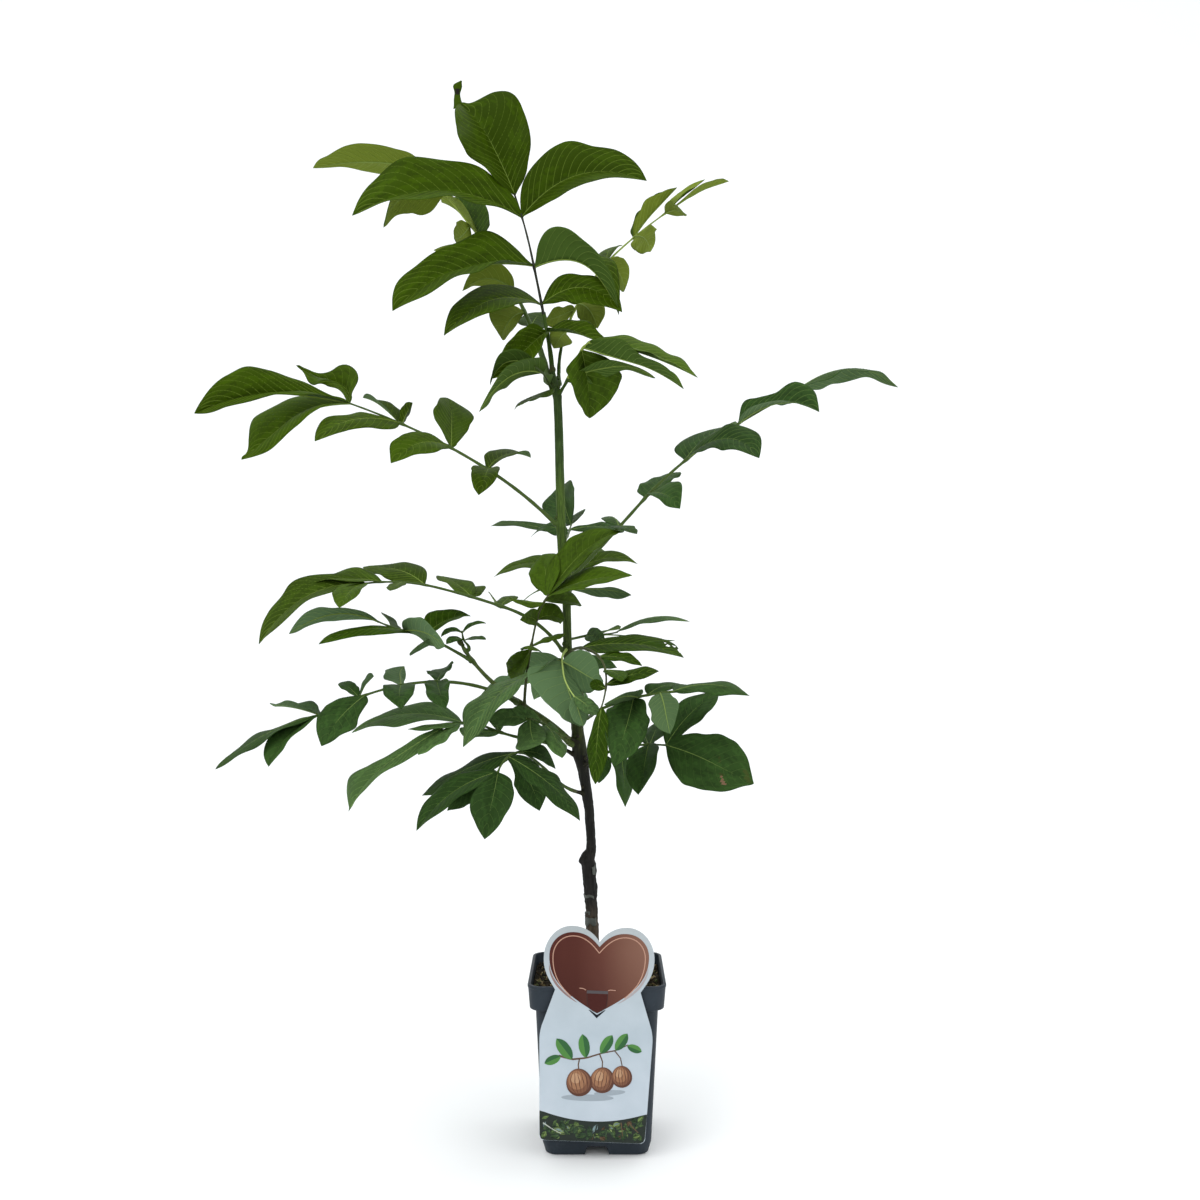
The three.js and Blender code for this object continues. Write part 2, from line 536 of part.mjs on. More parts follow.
// ---------------------------------------------------------------- label card
{
  const c = CARD;
  const heartTop = c.lobeZ + c.lobeR;
  const s = new THREE.Shape();
  s.moveTo(0, c.notchZ);
  s.bezierCurveTo(5, c.notchZ + 8, 14, heartTop, c.lobeX, heartTop);
  s.bezierCurveTo(42, heartTop, c.halfHeart, heartTop - 15, c.halfHeart, c.lobeZ - 4);
  s.bezierCurveTo(c.halfHeart, c.lobeZ - 18, 47, c.neckZ + 10, c.neckHalf, c.neckZ);
  s.lineTo(c.shoulderHalf - 1.5, c.shoulderZ + 8);
  s.quadraticCurveTo(c.shoulderHalf, c.shoulderZ + 2, c.shoulderHalf, c.shoulderZ - 4);
  s.lineTo(c.footHalf, c.footZ + 5);
  s.quadraticCurveTo(c.footHalf, c.footZ, c.footHalf - 5, c.footZ);
  s.lineTo(-c.footHalf + 5, c.footZ);
  s.quadraticCurveTo(-c.footHalf, c.footZ, -c.footHalf, c.footZ + 5);
  s.lineTo(-c.shoulderHalf, c.shoulderZ - 4);
  s.quadraticCurveTo(-c.shoulderHalf, c.shoulderZ + 2, -c.shoulderHalf + 1.5, c.shoulderZ + 8);
  s.lineTo(-c.neckHalf, c.neckZ);
  s.bezierCurveTo(-47, c.neckZ + 10, -c.halfHeart, c.lobeZ - 18, -c.halfHeart, c.lobeZ - 4);
  s.bezierCurveTo(-c.halfHeart, heartTop - 15, -42, heartTop, -c.lobeX, heartTop);
  s.bezierCurveTo(-14, heartTop, -5, c.notchZ + 8, 0, c.notchZ);
  const g = new THREE.ExtrudeGeometry(s, { depth: c.t, bevelEnabled: false, curveSegments: 5 });
  g.rotateX(Math.PI / 2);
  const place = new THREE.Matrix4()
    .makeTranslation(0, c.front, c.tipZ)
    .multiply(new THREE.Matrix4().makeRotationX(rad(c.lean)))
    .multiply(new THREE.Matrix4().makeRotationY(rad(c.turn)));
  g.applyMatrix4(place);
  add("label_card", solid(g), "card");
}

// ---------------------------------------------------------------- stem and side shoot
const stemAt = (z) => {
  let i = 0;
  while (i < STEM.length - 2 && STEM[i + 1][0] < z) i++;
  const [z0, x0, d0] = STEM[i], [z1, x1, d1] = STEM[i + 1];
  const f = THREE.MathUtils.clamp((z - z0) / (z1 - z0), 0, 1);
  return { mid: vec(lerp(x0, x1, f), 0, z), r: lerp(d0, d1, f) / 2 };
};
add("main_stem", solid(limb(STEM.map(([z, x]) => vec(x, 0, z)), STEM.map(([, , d]) => d / 2), 8)), "bark");

const footOn = (limbAt, at, az, pitch, r) => {
  const { mid, r: limbR } = limbAt(at);
  const away = limbR + 0.9 + r * Math.abs(Math.sin(rad(pitch)));
  return mid.clone().add(vec(Math.cos(rad(az)) * away, Math.sin(rad(az)) * away, 0));
};

const shootFoot = footOn(stemAt, SHOOT.at, SHOOT.heads[0], SHOOT.pitches[0], SHOOT.d[0] / 2);
const shootLine = ribLine(shootFoot, SHOOT.length, SHOOT.heads, SHOOT.pitches);
const shootAt = (t) => ({ mid: onLine(shootLine, t), r: lerp(SHOOT.d[0], SHOOT.d[1], t) / 2 });
add("side_shoot", solid(tube(shootLine, 0, 1, SHOOT.d[0] / 2, SHOOT.d[1] / 2, 6, 6)), "bark");

// ---------------------------------------------------------------- leaves
for (const leaf of LEAVES) {
  const limbAt = leaf.on === "shoot" ? shootAt : stemAt;
  const foot = footOn(limbAt, leaf.at, leaf.side ?? leaf.heads[0], leaf.pitches[0], RIB_R[0]);
  const line = ribLine(foot, leaf.length, leaf.heads, leaf.pitches);
  const first = Math.min(...leaf.leaflets.map(([t]) => t));
  let start = Math.max(0, first - 9 / leaf.length);
  if (start * leaf.length > STALK_SHORTEST)
    add(leaf.name + "_stalk", solid(tube(line, 0, start - 2 * GAP / leaf.length, ...RIB_R, 3, 5)), "stalk");
  else start = 0;
  let frond = solid(tube(line, start, 1, ...RIB_R, RIB_RINGS, 3));
  for (const row of leaf.leaflets) frond = frond.add(solid(leaflet(onLine(line, Math.min(row[0], 1 - 2 / leaf.length)), row)));
  add(leaf.name + "_frond", frond, "leaf");
}

export default group;
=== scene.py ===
# Looks of the young walnut tree in its nursery pot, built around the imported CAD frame.
import math

import bpy
import numpy as np
from mathutils import Matrix, Vector


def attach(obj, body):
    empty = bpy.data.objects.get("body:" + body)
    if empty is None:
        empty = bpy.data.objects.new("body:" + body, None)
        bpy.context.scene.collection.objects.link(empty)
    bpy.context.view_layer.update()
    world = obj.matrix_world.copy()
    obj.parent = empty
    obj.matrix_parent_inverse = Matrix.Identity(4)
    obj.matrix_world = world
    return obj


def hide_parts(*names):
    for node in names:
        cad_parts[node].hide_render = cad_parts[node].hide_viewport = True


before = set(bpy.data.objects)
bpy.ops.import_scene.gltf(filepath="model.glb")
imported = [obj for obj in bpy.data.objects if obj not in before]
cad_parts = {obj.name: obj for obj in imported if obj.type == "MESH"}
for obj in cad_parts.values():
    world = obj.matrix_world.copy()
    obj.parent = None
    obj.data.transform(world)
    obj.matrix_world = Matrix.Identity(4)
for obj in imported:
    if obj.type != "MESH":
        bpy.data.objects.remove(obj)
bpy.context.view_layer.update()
MM = 0.001

# ------------------------------------------------------------------ camera
cam_data = bpy.data.cameras.new("view_camera")
cam_data.lens = 41.22
cam_data.sensor_width = 36.0
cam_data.clip_start = 0.05
cam_data.clip_end = 60
cam = bpy.data.objects.new("view_camera", cam_data)
bpy.context.scene.collection.objects.link(cam)
cam.location = (0.003, -1.38, 0.537)
cam.rotation_euler = (math.radians(90), 0, 0)
bpy.context.scene.camera = cam
bpy.context.scene.view_settings.view_transform = "Standard"
bpy.context.scene.view_settings.look = "None"

# ------------------------------------------------------------------ sizes, in mm, as in part.mjs
STEM = [
    (161, -3, 15.1),
    (196, -4.5, 12.7),
    (237, -6, 12.4),
    (251, -6.8, 13.1),
    (268, -8.4, 14.7),
    (277, -9.7, 16.3),
    (281, -8.9, 14.9),
    (288, -6.2, 9.8),
    (296, -6, 8.8),
    (321, -7.5, 9.4),
    (362, -13.1, 11.4),
    (384, -16.6, 13.7),
    (407, -19.6, 12.1),
    (447, -25.1, 10),
    (492, -29.6, 8.8),
    (537, -30.6, 8.4),
    (592, -35.2, 9.4),
    (658, -37.2, 9),
    (738, -39.7, 8.4),
    (756, -43.2, 7.6),
    (767, -44.7, 4.6),
]
SHOOT = {"at": 395, "length": 148.2, "d": (8, 2.6), "heads": (-158.7, -174.3, -158, -170.2), "pitches": (46.1, 31.9, 41.4, 59.4)}
# each leaf: its stalk and rib, and its leaflets as place along the rib, length, width, heading, pitch, roll, fold, arch
LEAVES = [
    {"name": "crown", "on": "stem", "at": 759, "side": 100, "length": 203, "heads": (190, 128, 142, 162), "pitches": (88, 73, 75, 70), "leaflets": [
        (1, 124, 69, -174, 61, -94, 17, 0.03),
        (0.87, 173, 76, -160, -6, -48, 27, 0.16),
        (0.87, 131, 68, -14, 11, 70, 28, 0.21),
        (0.604, 159, 70, -158, -20, -38, 22, 0.11),
        (0.594, 116, 51, -27, -31, 27, 12, 0.26),
        (0.391, 115, 51, -152, -21, -33, 12, 0.18),
        (0.391, 89, 39, -27, -12, 40, 5, 0.25),
        (0.245, 88, 39, -140, -38, -7, 5, 0.16),
        (0.245, 81, 36, -35, -16, 25, 0, 0.12),
    ]},
    {"name": "back_left", "on": "stem", "at": 759, "side": 185, "length": 310, "heads": (102, 138, 146, 157), "pitches": (50, 59, 48, 53), "leaflets": [
        (0.995, 136, 60, 169, 5, 17, 5, 0.08),
        (0.885, 106, 47, -129, -32, 47, 13, 0.06),
        (0.656, 106, 54, 121, 34, -12, 33, 0),
        (0.724, 68, 30, -101, -26, 68, 3, 0.05),
        (0.474, 89, 39, 159, 22, 33, 0, 0.05),
        (0.401, 62, 27, -145, -8, 40, 28, 0.14),
        (0.307, 58, 33, -116, -40, 102, 16, 0.09),
        (0.245, 68, 30, 75, 25, 0, 5, 0),
    ]},
    {"name": "back_right", "on": "stem", "at": 755, "side": 40, "length": 296, "heads": (99, 51, 41, 24), "pitches": (58, 56, 41, 36), "leaflets": [
        (1, 87, 38, 31, 28, -27, 6, 0.04),
        (0.943, 71, 31, 34, 40, -39, 2, 0.03),
        (0.948, 56, 25, -70, -18, -36, 0, 0.04),
        (0.771, 85, 37, 20, 47, -57, 19, 0.04),
        (0.776, 71, 31, -79, -30, -94, -5, 0.05),
        (0.599, 69, 30, 77, 27, -73, 2, 0.02),
        (0.599, 64, 28, -66, -40, -87, 6, 0.14),
        (0.37, 62, 27, -66, -37, -95, 14, 0.14),
        (0.344, 53, 23, -125, -22, 56, 0, 0.06),
        (0.234, 47, 21, -102, -29, 107, 9, 0.07),
    ]},
    {"name": "front_right_top", "on": "stem", "at": 745, "length": 75, "heads": (-48, -61, -64, -63), "pitches": (38, 47, 32, 3), "leaflets": [
        (0.75, 69, 62, 73, -78, 132, 20, -0.13),
        (1, 114, 50, 6, -20, 32, 0, 0.11),
        (0.807, 120, 53, -34, -24, 13, 0, 0.1),
        (0.266, 110, 48, -40, -6, -5, 0, 0.08),
        (0.188, 31, 13, -30, -7, -48, 7, 0.1),
    ]},
    {"name": "front_left_top", "on": "stem", "at": 747, "length": 52, "heads": (-126, -104, -105, -108), "pitches": (53, 22, 6, 7), "leaflets": [
        (0.932, 58, 27, -151, -26, 56, 25, 0.1),
        (0.531, 110, 48, -124, -28, 36, 1, 0.04),
        (0, 75, 33, -121, -21, 30, 0, 0.05),
    ]},
    {"name": "left_upper", "on": "stem", "at": 614, "length": 238, "heads": (-163, -175, -174, -177), "pitches": (44, 33, 25, 19), "leaflets": [
        (1, 145, 64, -172, -5, -43, 21, 0.08),
        (1, 123, 54, -149, -30, -34, 12, 0.06),
        (1, 106, 47, 132, 27, -6, 18, 0.04),
        (0.766, 95, 42, -147, -13, -28, 4, 0.11),
        (0.771, 61, 27, 143, 35, -10, 3, 0.04),
        (0.76, 36, 16, 76, 45, 69, 6, 0),
        (0.547, 83, 37, -131, -16, -31, 6, 0.13),
        (0.536, 97, 44, 97, 39, 20, 11, 0),
        (0.359, 73, 32, -94, -26, 13, 3, 0.09),
        (0.359, 75, 33, 56, 15, 13, 6, 0.08),
    ]},
    {"name": "right_upper", "on": "stem", "at": 559, "length": 309, "heads": (16, 14, 8, 7), "pitches": (45, 48, 34, 27), "leaflets": [
        (1, 106, 46, 5, 3, 25, 1, 0.15),
        (0.771, 96, 42, -35, 5, 35, 8, 0.16),
        (0.995, 63, 28, 107, 4, 13, 2, 0.03),
        (0.562, 92, 40, -41, -5, 35, 5, 0.21),
        (0.552, 92, 40, 44, 30, 9, 16, 0.04),
        (0.385, 70, 31, -63, -16, 22, 5, 0.09),
        (0.365, 75, 33, 53, 23, 5, 10, 0.06),
        (0.229, 59, 26, -71, -9, 11, 0, 0.07),
        (0.234, 64, 28, 107, 12, 60, 0, 0.04),
    ]},
    {"name": "back_upper", "on": "stem", "at": 589, "length": 163, "heads": (89, 86, 89, 89), "pitches": (15, 12, 10, 12), "leaflets": [
        (1, 86, 49, 99, 34, -23, 19, 0),
        (0.703, 90, 40, 164, 3, -20, 2, 0.05),
        (0.719, 63, 28, 24, 0, 40, 9, 0.11),
        (0.958, 67, 29, 74, 20, -15, 0, 0),
        (0.422, 45, 20, 154, -4, -45, 0, 0.07),
    ]},
    {"name": "back_middle", "on": "stem", "at": 531, "length": 149, "heads": (89, 87, 88, 91), "pitches": (17, 13, 16, 11), "leaflets": [
        (1, 92, 40, 70, 22, -3, 4, 0),
        (0.969, 89, 39, 174, -3, -27, 2, 0.13),
        (0.969, 73, 32, 8, 9, 31, 2, 0.12),
        (0.443, 68, 30, -4, -8, 32, 7, 0.14),
        (0.37, 51, 22, 180, -9, -38, 3, 0.14),
        (0.786, 78, 34, 103, 22, 14, -5, 0),
    ]},
    {"name": "riser", "on": "shoot", "at": 0.417, "length": 122, "heads": (-57, -68, -58, -47), "pitches": (88, 66, 67, 42), "leaflets": [
        (1, 89, 39, -13, 10, 38, 9, 0.06),
        (1, 56, 36, 103, 43, -39, 12, 0),
        (1, 98, 43, 24, 40, 18, 19, 0.04),
        (0.911, 36, 16, -164, 12, -49, 0, 0.13),
        (0.927, 52, 23, 50, -3, 32, 3, 0.08),
        (0.729, 43, 19, -112, 5, -53, 0, 0.07),
        (0.74, 34, 28, 37, -4, 53, 27, 0.06),
        (0.495, 51, 22, -99, 3, -29, 0, 0.04),
        (0.505, 35, 15, 18, 24, 37, 5, 0.09),
        (0.484, 52, 32, 122, -26, -91, 23, 0.05),
    ]},
    {"name": "left_middle", "on": "stem", "at": 487, "length": 215, "heads": (-150, -176, -174, -174), "pitches": (54, 19, 14, -8), "leaflets": [
        (1, 118, 52, -166, -32, -27, 2, 0.15),
        (0.917, 107, 47, 166, -8, -26, 7, 0.1),
        (1, 65, 29, -100, -21, -9, -6, 0.06),
        (0.724, 88, 39, 141, 8, -32, 12, 0.08),
        (0.828, 42, 18, -99, -12, 0, 0, 0.03),
        (0.505, 70, 31, 130, 21, 0, 8, 0.05),
        (0.505, 44, 19, 73, 17, 3, 0, 0.03),
        (0.37, 43, 19, 109, 11, 70, 0, 0.03),
        (0.365, 43, 19, 75, 16, -6, 0, 0.03),
    ]},
    {"name": "left_shoot_leaf", "on": "shoot", "at": 0.875, "side": -110, "length": 99, "heads": (-174, -158, -173, -160), "pitches": (31, 28, 13, 25), "leaflets": [
        (1, 84, 37, -155, -10, 26, 2, 0.16),
        (0.625, 99, 43, -156, -6, -11, 1, 0.09),
        (0.849, 55, 24, 110, 15, 73, 0, 0),
        (0.719, 76, 33, -55, -13, -59, -6, 0.06),
        (0.51, 65, 28, 47, 19, 24, 16, 0.1),
        (0.37, 56, 24, -112, -14, 6, 2, 0.08),
    ]},
    {"name": "shoot_tip_leaf", "on": "shoot", "at": 0.958, "side": 0, "length": 21, "heads": (-131, -191, -125, -116), "pitches": (93, 41, 75, 73), "leaflets": [
        (1, 30, 13, -21, 19, 44, 0, 0.1),
        (1, 23, 10, -154, -12, -37, 8, 0.17),
        (0.536, 32, 14, -39, 3, 30, 5, 0.06),
        (0.536, 25, 11, -127, -7, -28, 6, 0.12),
    ]},
    {"name": "left_lower", "on": "shoot", "at": 0.458, "side": -95, "length": 203, "heads": (-156, -158, -167, -168), "pitches": (30, 6, -15, -27), "leaflets": [
        (1, 105, 46, -171, -29, -15, 1, 0.07),
        (1, 73, 32, -131, -35, -8, 4, 0.07),
        (1, 75, 33, 138, 6, 35, 2, 0.04),
        (0.76, 74, 40, -124, -35, -37, 8, 0.05),
        (0.792, 40, 18, 130, 16, -9, 0, 0.06),
        (0.792, 45, 20, 83, 28, -89, 0, 0.04),
        (0.589, 62, 33, -83, -14, 21, 12, 0.03),
        (0.589, 78, 34, 100, 12, -167, 9, 0),
        (0.417, 64, 28, -80, -16, 11, 29, 0.03),
        (0.417, 63, 28, 81, 14, 0, 22, 0),
    ]},
    {"name": "left_low_long", "on": "stem", "at": 383, "side": -165, "length": 144, "heads": (-145, -160, -155, -161), "pitches": (29, 10, 24, -23), "leaflets": [
        (1, 115, 51, -160, -42, -10, 1, 0.07),
        (0.844, 113, 50, 170, -5, -15, 5, 0.1),
        (0.839, 55, 24, -159, -4, -15, 2, 0.05),
        (0.849, 62, 27, -126, -26, 11, 0, 0.05),
        (0.568, 51, 23, -129, -3, -23, 3, 0.04),
        (0.578, 53, 23, 107, 10, 13, 0, 0),
    ]},
    {"name": "low_left_near", "on": "stem", "at": 395, "side": -100, "length": 68, "heads": (-142, -144, -140, -130), "pitches": (30, 23, 28, 8), "leaflets": [
        (0.995, 37, 22, 174, -4, -62, 13, 0.11),
        (0.729, 34, 18, -156, 29, -71, 14, 0.06),
        (0.953, 59, 26, -78, -16, -30, 0, 0.07),
        (0.651, 59, 26, -69, -26, -23, 3, 0.09),
        (0.583, 19, 14, 49, -7, 61, 17, 0.11),
    ]},
    {"name": "low_left_hanging", "on": "stem", "at": 344, "length": 139, "heads": (-132, -135, -125, -142), "pitches": (11, 41, 26, -72), "leaflets": [
        (1, 67, 36, -106, -52, -32, 20, 0.06),
        (0.734, 107, 47, 171, -27, -23, 9, 0.07),
        (0.984, 91, 40, -161, -33, -19, 11, 0.08),
        (0.849, 93, 41, -24, -37, 4, 0, 0.05),
        (0.854, 67, 29, 40, -55, 66, 2, 0.03),
        (1, 65, 29, 158, -35, -31, 2, 0.06),
        (0.714, 47, 21, 43, -23, 59, 8, 0.06),
    ]},
    {"name": "front", "on": "stem", "at": 487, "length": 98, "heads": (-105, -88, -83, -40), "pitches": (-14, -13, -35, -45), "leaflets": [
        (0.401, 70, 67, -89, -61, 143, 26, 0),
        (0.401, 52, 41, -39, -24, -88, 13, 0),
        (0.333, 136, 60, -143, -35, 52, -3, 0.05),
        (0.995, 35, 16, -38, -23, 35, 0, 0.06),
        (0.99, 30, 17, -34, -69, -150, 14, 0),
    ]},
    {"name": "right_middle", "on": "stem", "at": 485, "length": 151, "heads": (-71, -59, -85, -108), "pitches": (19, -12, -33, -40), "leaflets": [
        (0.198, 105, 46, -22, -2, 16, 0, 0.06),
        (0.453, 45, 20, -27, -12, 27, 0, 0.04),
        (0.635, 43, 19, -72, -13, -11, 0, 0.03),
        (0.792, 54, 24, -11, 16, 30, -3, 0.05),
        (0.823, 25, 11, 126, 7, -75, 11, 0.04),
        (1, 70, 31, -108, -73, 46, -2, 0.09),
    ]},
    {"name": "right_thin", "on": "stem", "at": 497, "length": 79, "heads": (83, 37, 59, 14), "pitches": (-0, 10, -3, 14), "leaflets": [
        (1, 78, 34, -15, 6, 14, 0, 0.12),
        (0.792, 77, 34, -19, 0, 13, 0, 0.05),
        (0.708, 56, 25, 65, 8, 3, 3, 0.04),
        (0.417, 36, 19, -56, -5, 49, 19, 0.09),
    ]},
    {"name": "right_low", "on": "stem", "at": 415, "length": 162, "heads": (-67, -79, -34, -13), "pitches": (13, 15, 17, 5), "leaflets": [
        (0.974, 71, 31, -12, -5, 19, 0, 0.12),
        (0.734, 80, 35, -109, -43, 4, 16, 0.05),
        (0.901, 70, 31, -83, -30, -130, 6, 0.06),
        (0.76, 59, 26, -121, -1, -13, 2, 0.03),
        (1, 64, 28, 45, -8, 40, 0, 0.03),
        (0.828, 57, 25, 38, 7, 16, 5, 0.03),
    ]},
    {"name": "right_low_big", "on": "stem", "at": 373, "length": 115, "heads": (-62, -52, -39, -19), "pitches": (22, 21, 10, -3), "leaflets": [
        (1, 90, 55, -25, -21, 54, 10, 0.04),
        (0.828, 69, 34, -99, -36, 24, 23, 0.06),
        (0.536, 68, 30, -85, -49, -46, 2, 0.06),
        (0.281, 42, 22, -96, -33, -17, 19, 0.1),
        (1, 84, 37, 44, 31, 23, 6, 0.03),
        (0.823, 47, 21, 97, 16, 26, 0, 0),
        (0.839, 59, 26, 77, 16, -20, 0, 0),
    ]},
    {"name": "back_lower", "on": "stem", "at": 396, "length": 171, "heads": (82, 92, 101, 110), "pitches": (47, 31, 15, -1), "leaflets": [
        (1, 87, 43, 118, -19, 7, 16, 0.04),
        (0.97, 70, 33, 161, -16, 15, 12, 0.07),
        (0.97, 70, 34, 46, -16, 0, 16, 0.06),
        (0.78, 52, 23, 162, -13, 19, 14, 0.08),
        (0.78, 52, 22, 34, -6, 10, 11, 0.06),
        (0.6, 35, 16, 164, 12, 15, 19, 0.04),
    ]},
    {"name": "back_low", "on": "stem", "at": 433, "length": 116, "heads": (114, 110, 105, 101), "pitches": (19, 10, 2, -7), "leaflets": [
        (0.97, 66, 31, 154, -23, 11, 10, 0.07),
        (0.97, 66, 32, 39, -26, -5, 11, 0.08),
        (0.78, 60, 25, 37, -24, -1, 12, 0.06),
        (0.6, 36, 17, 166, -2, -8, 12, 0.07),
        (0.6, 36, 15, 36, -23, 14, 14, 0.05),
    ]},
]
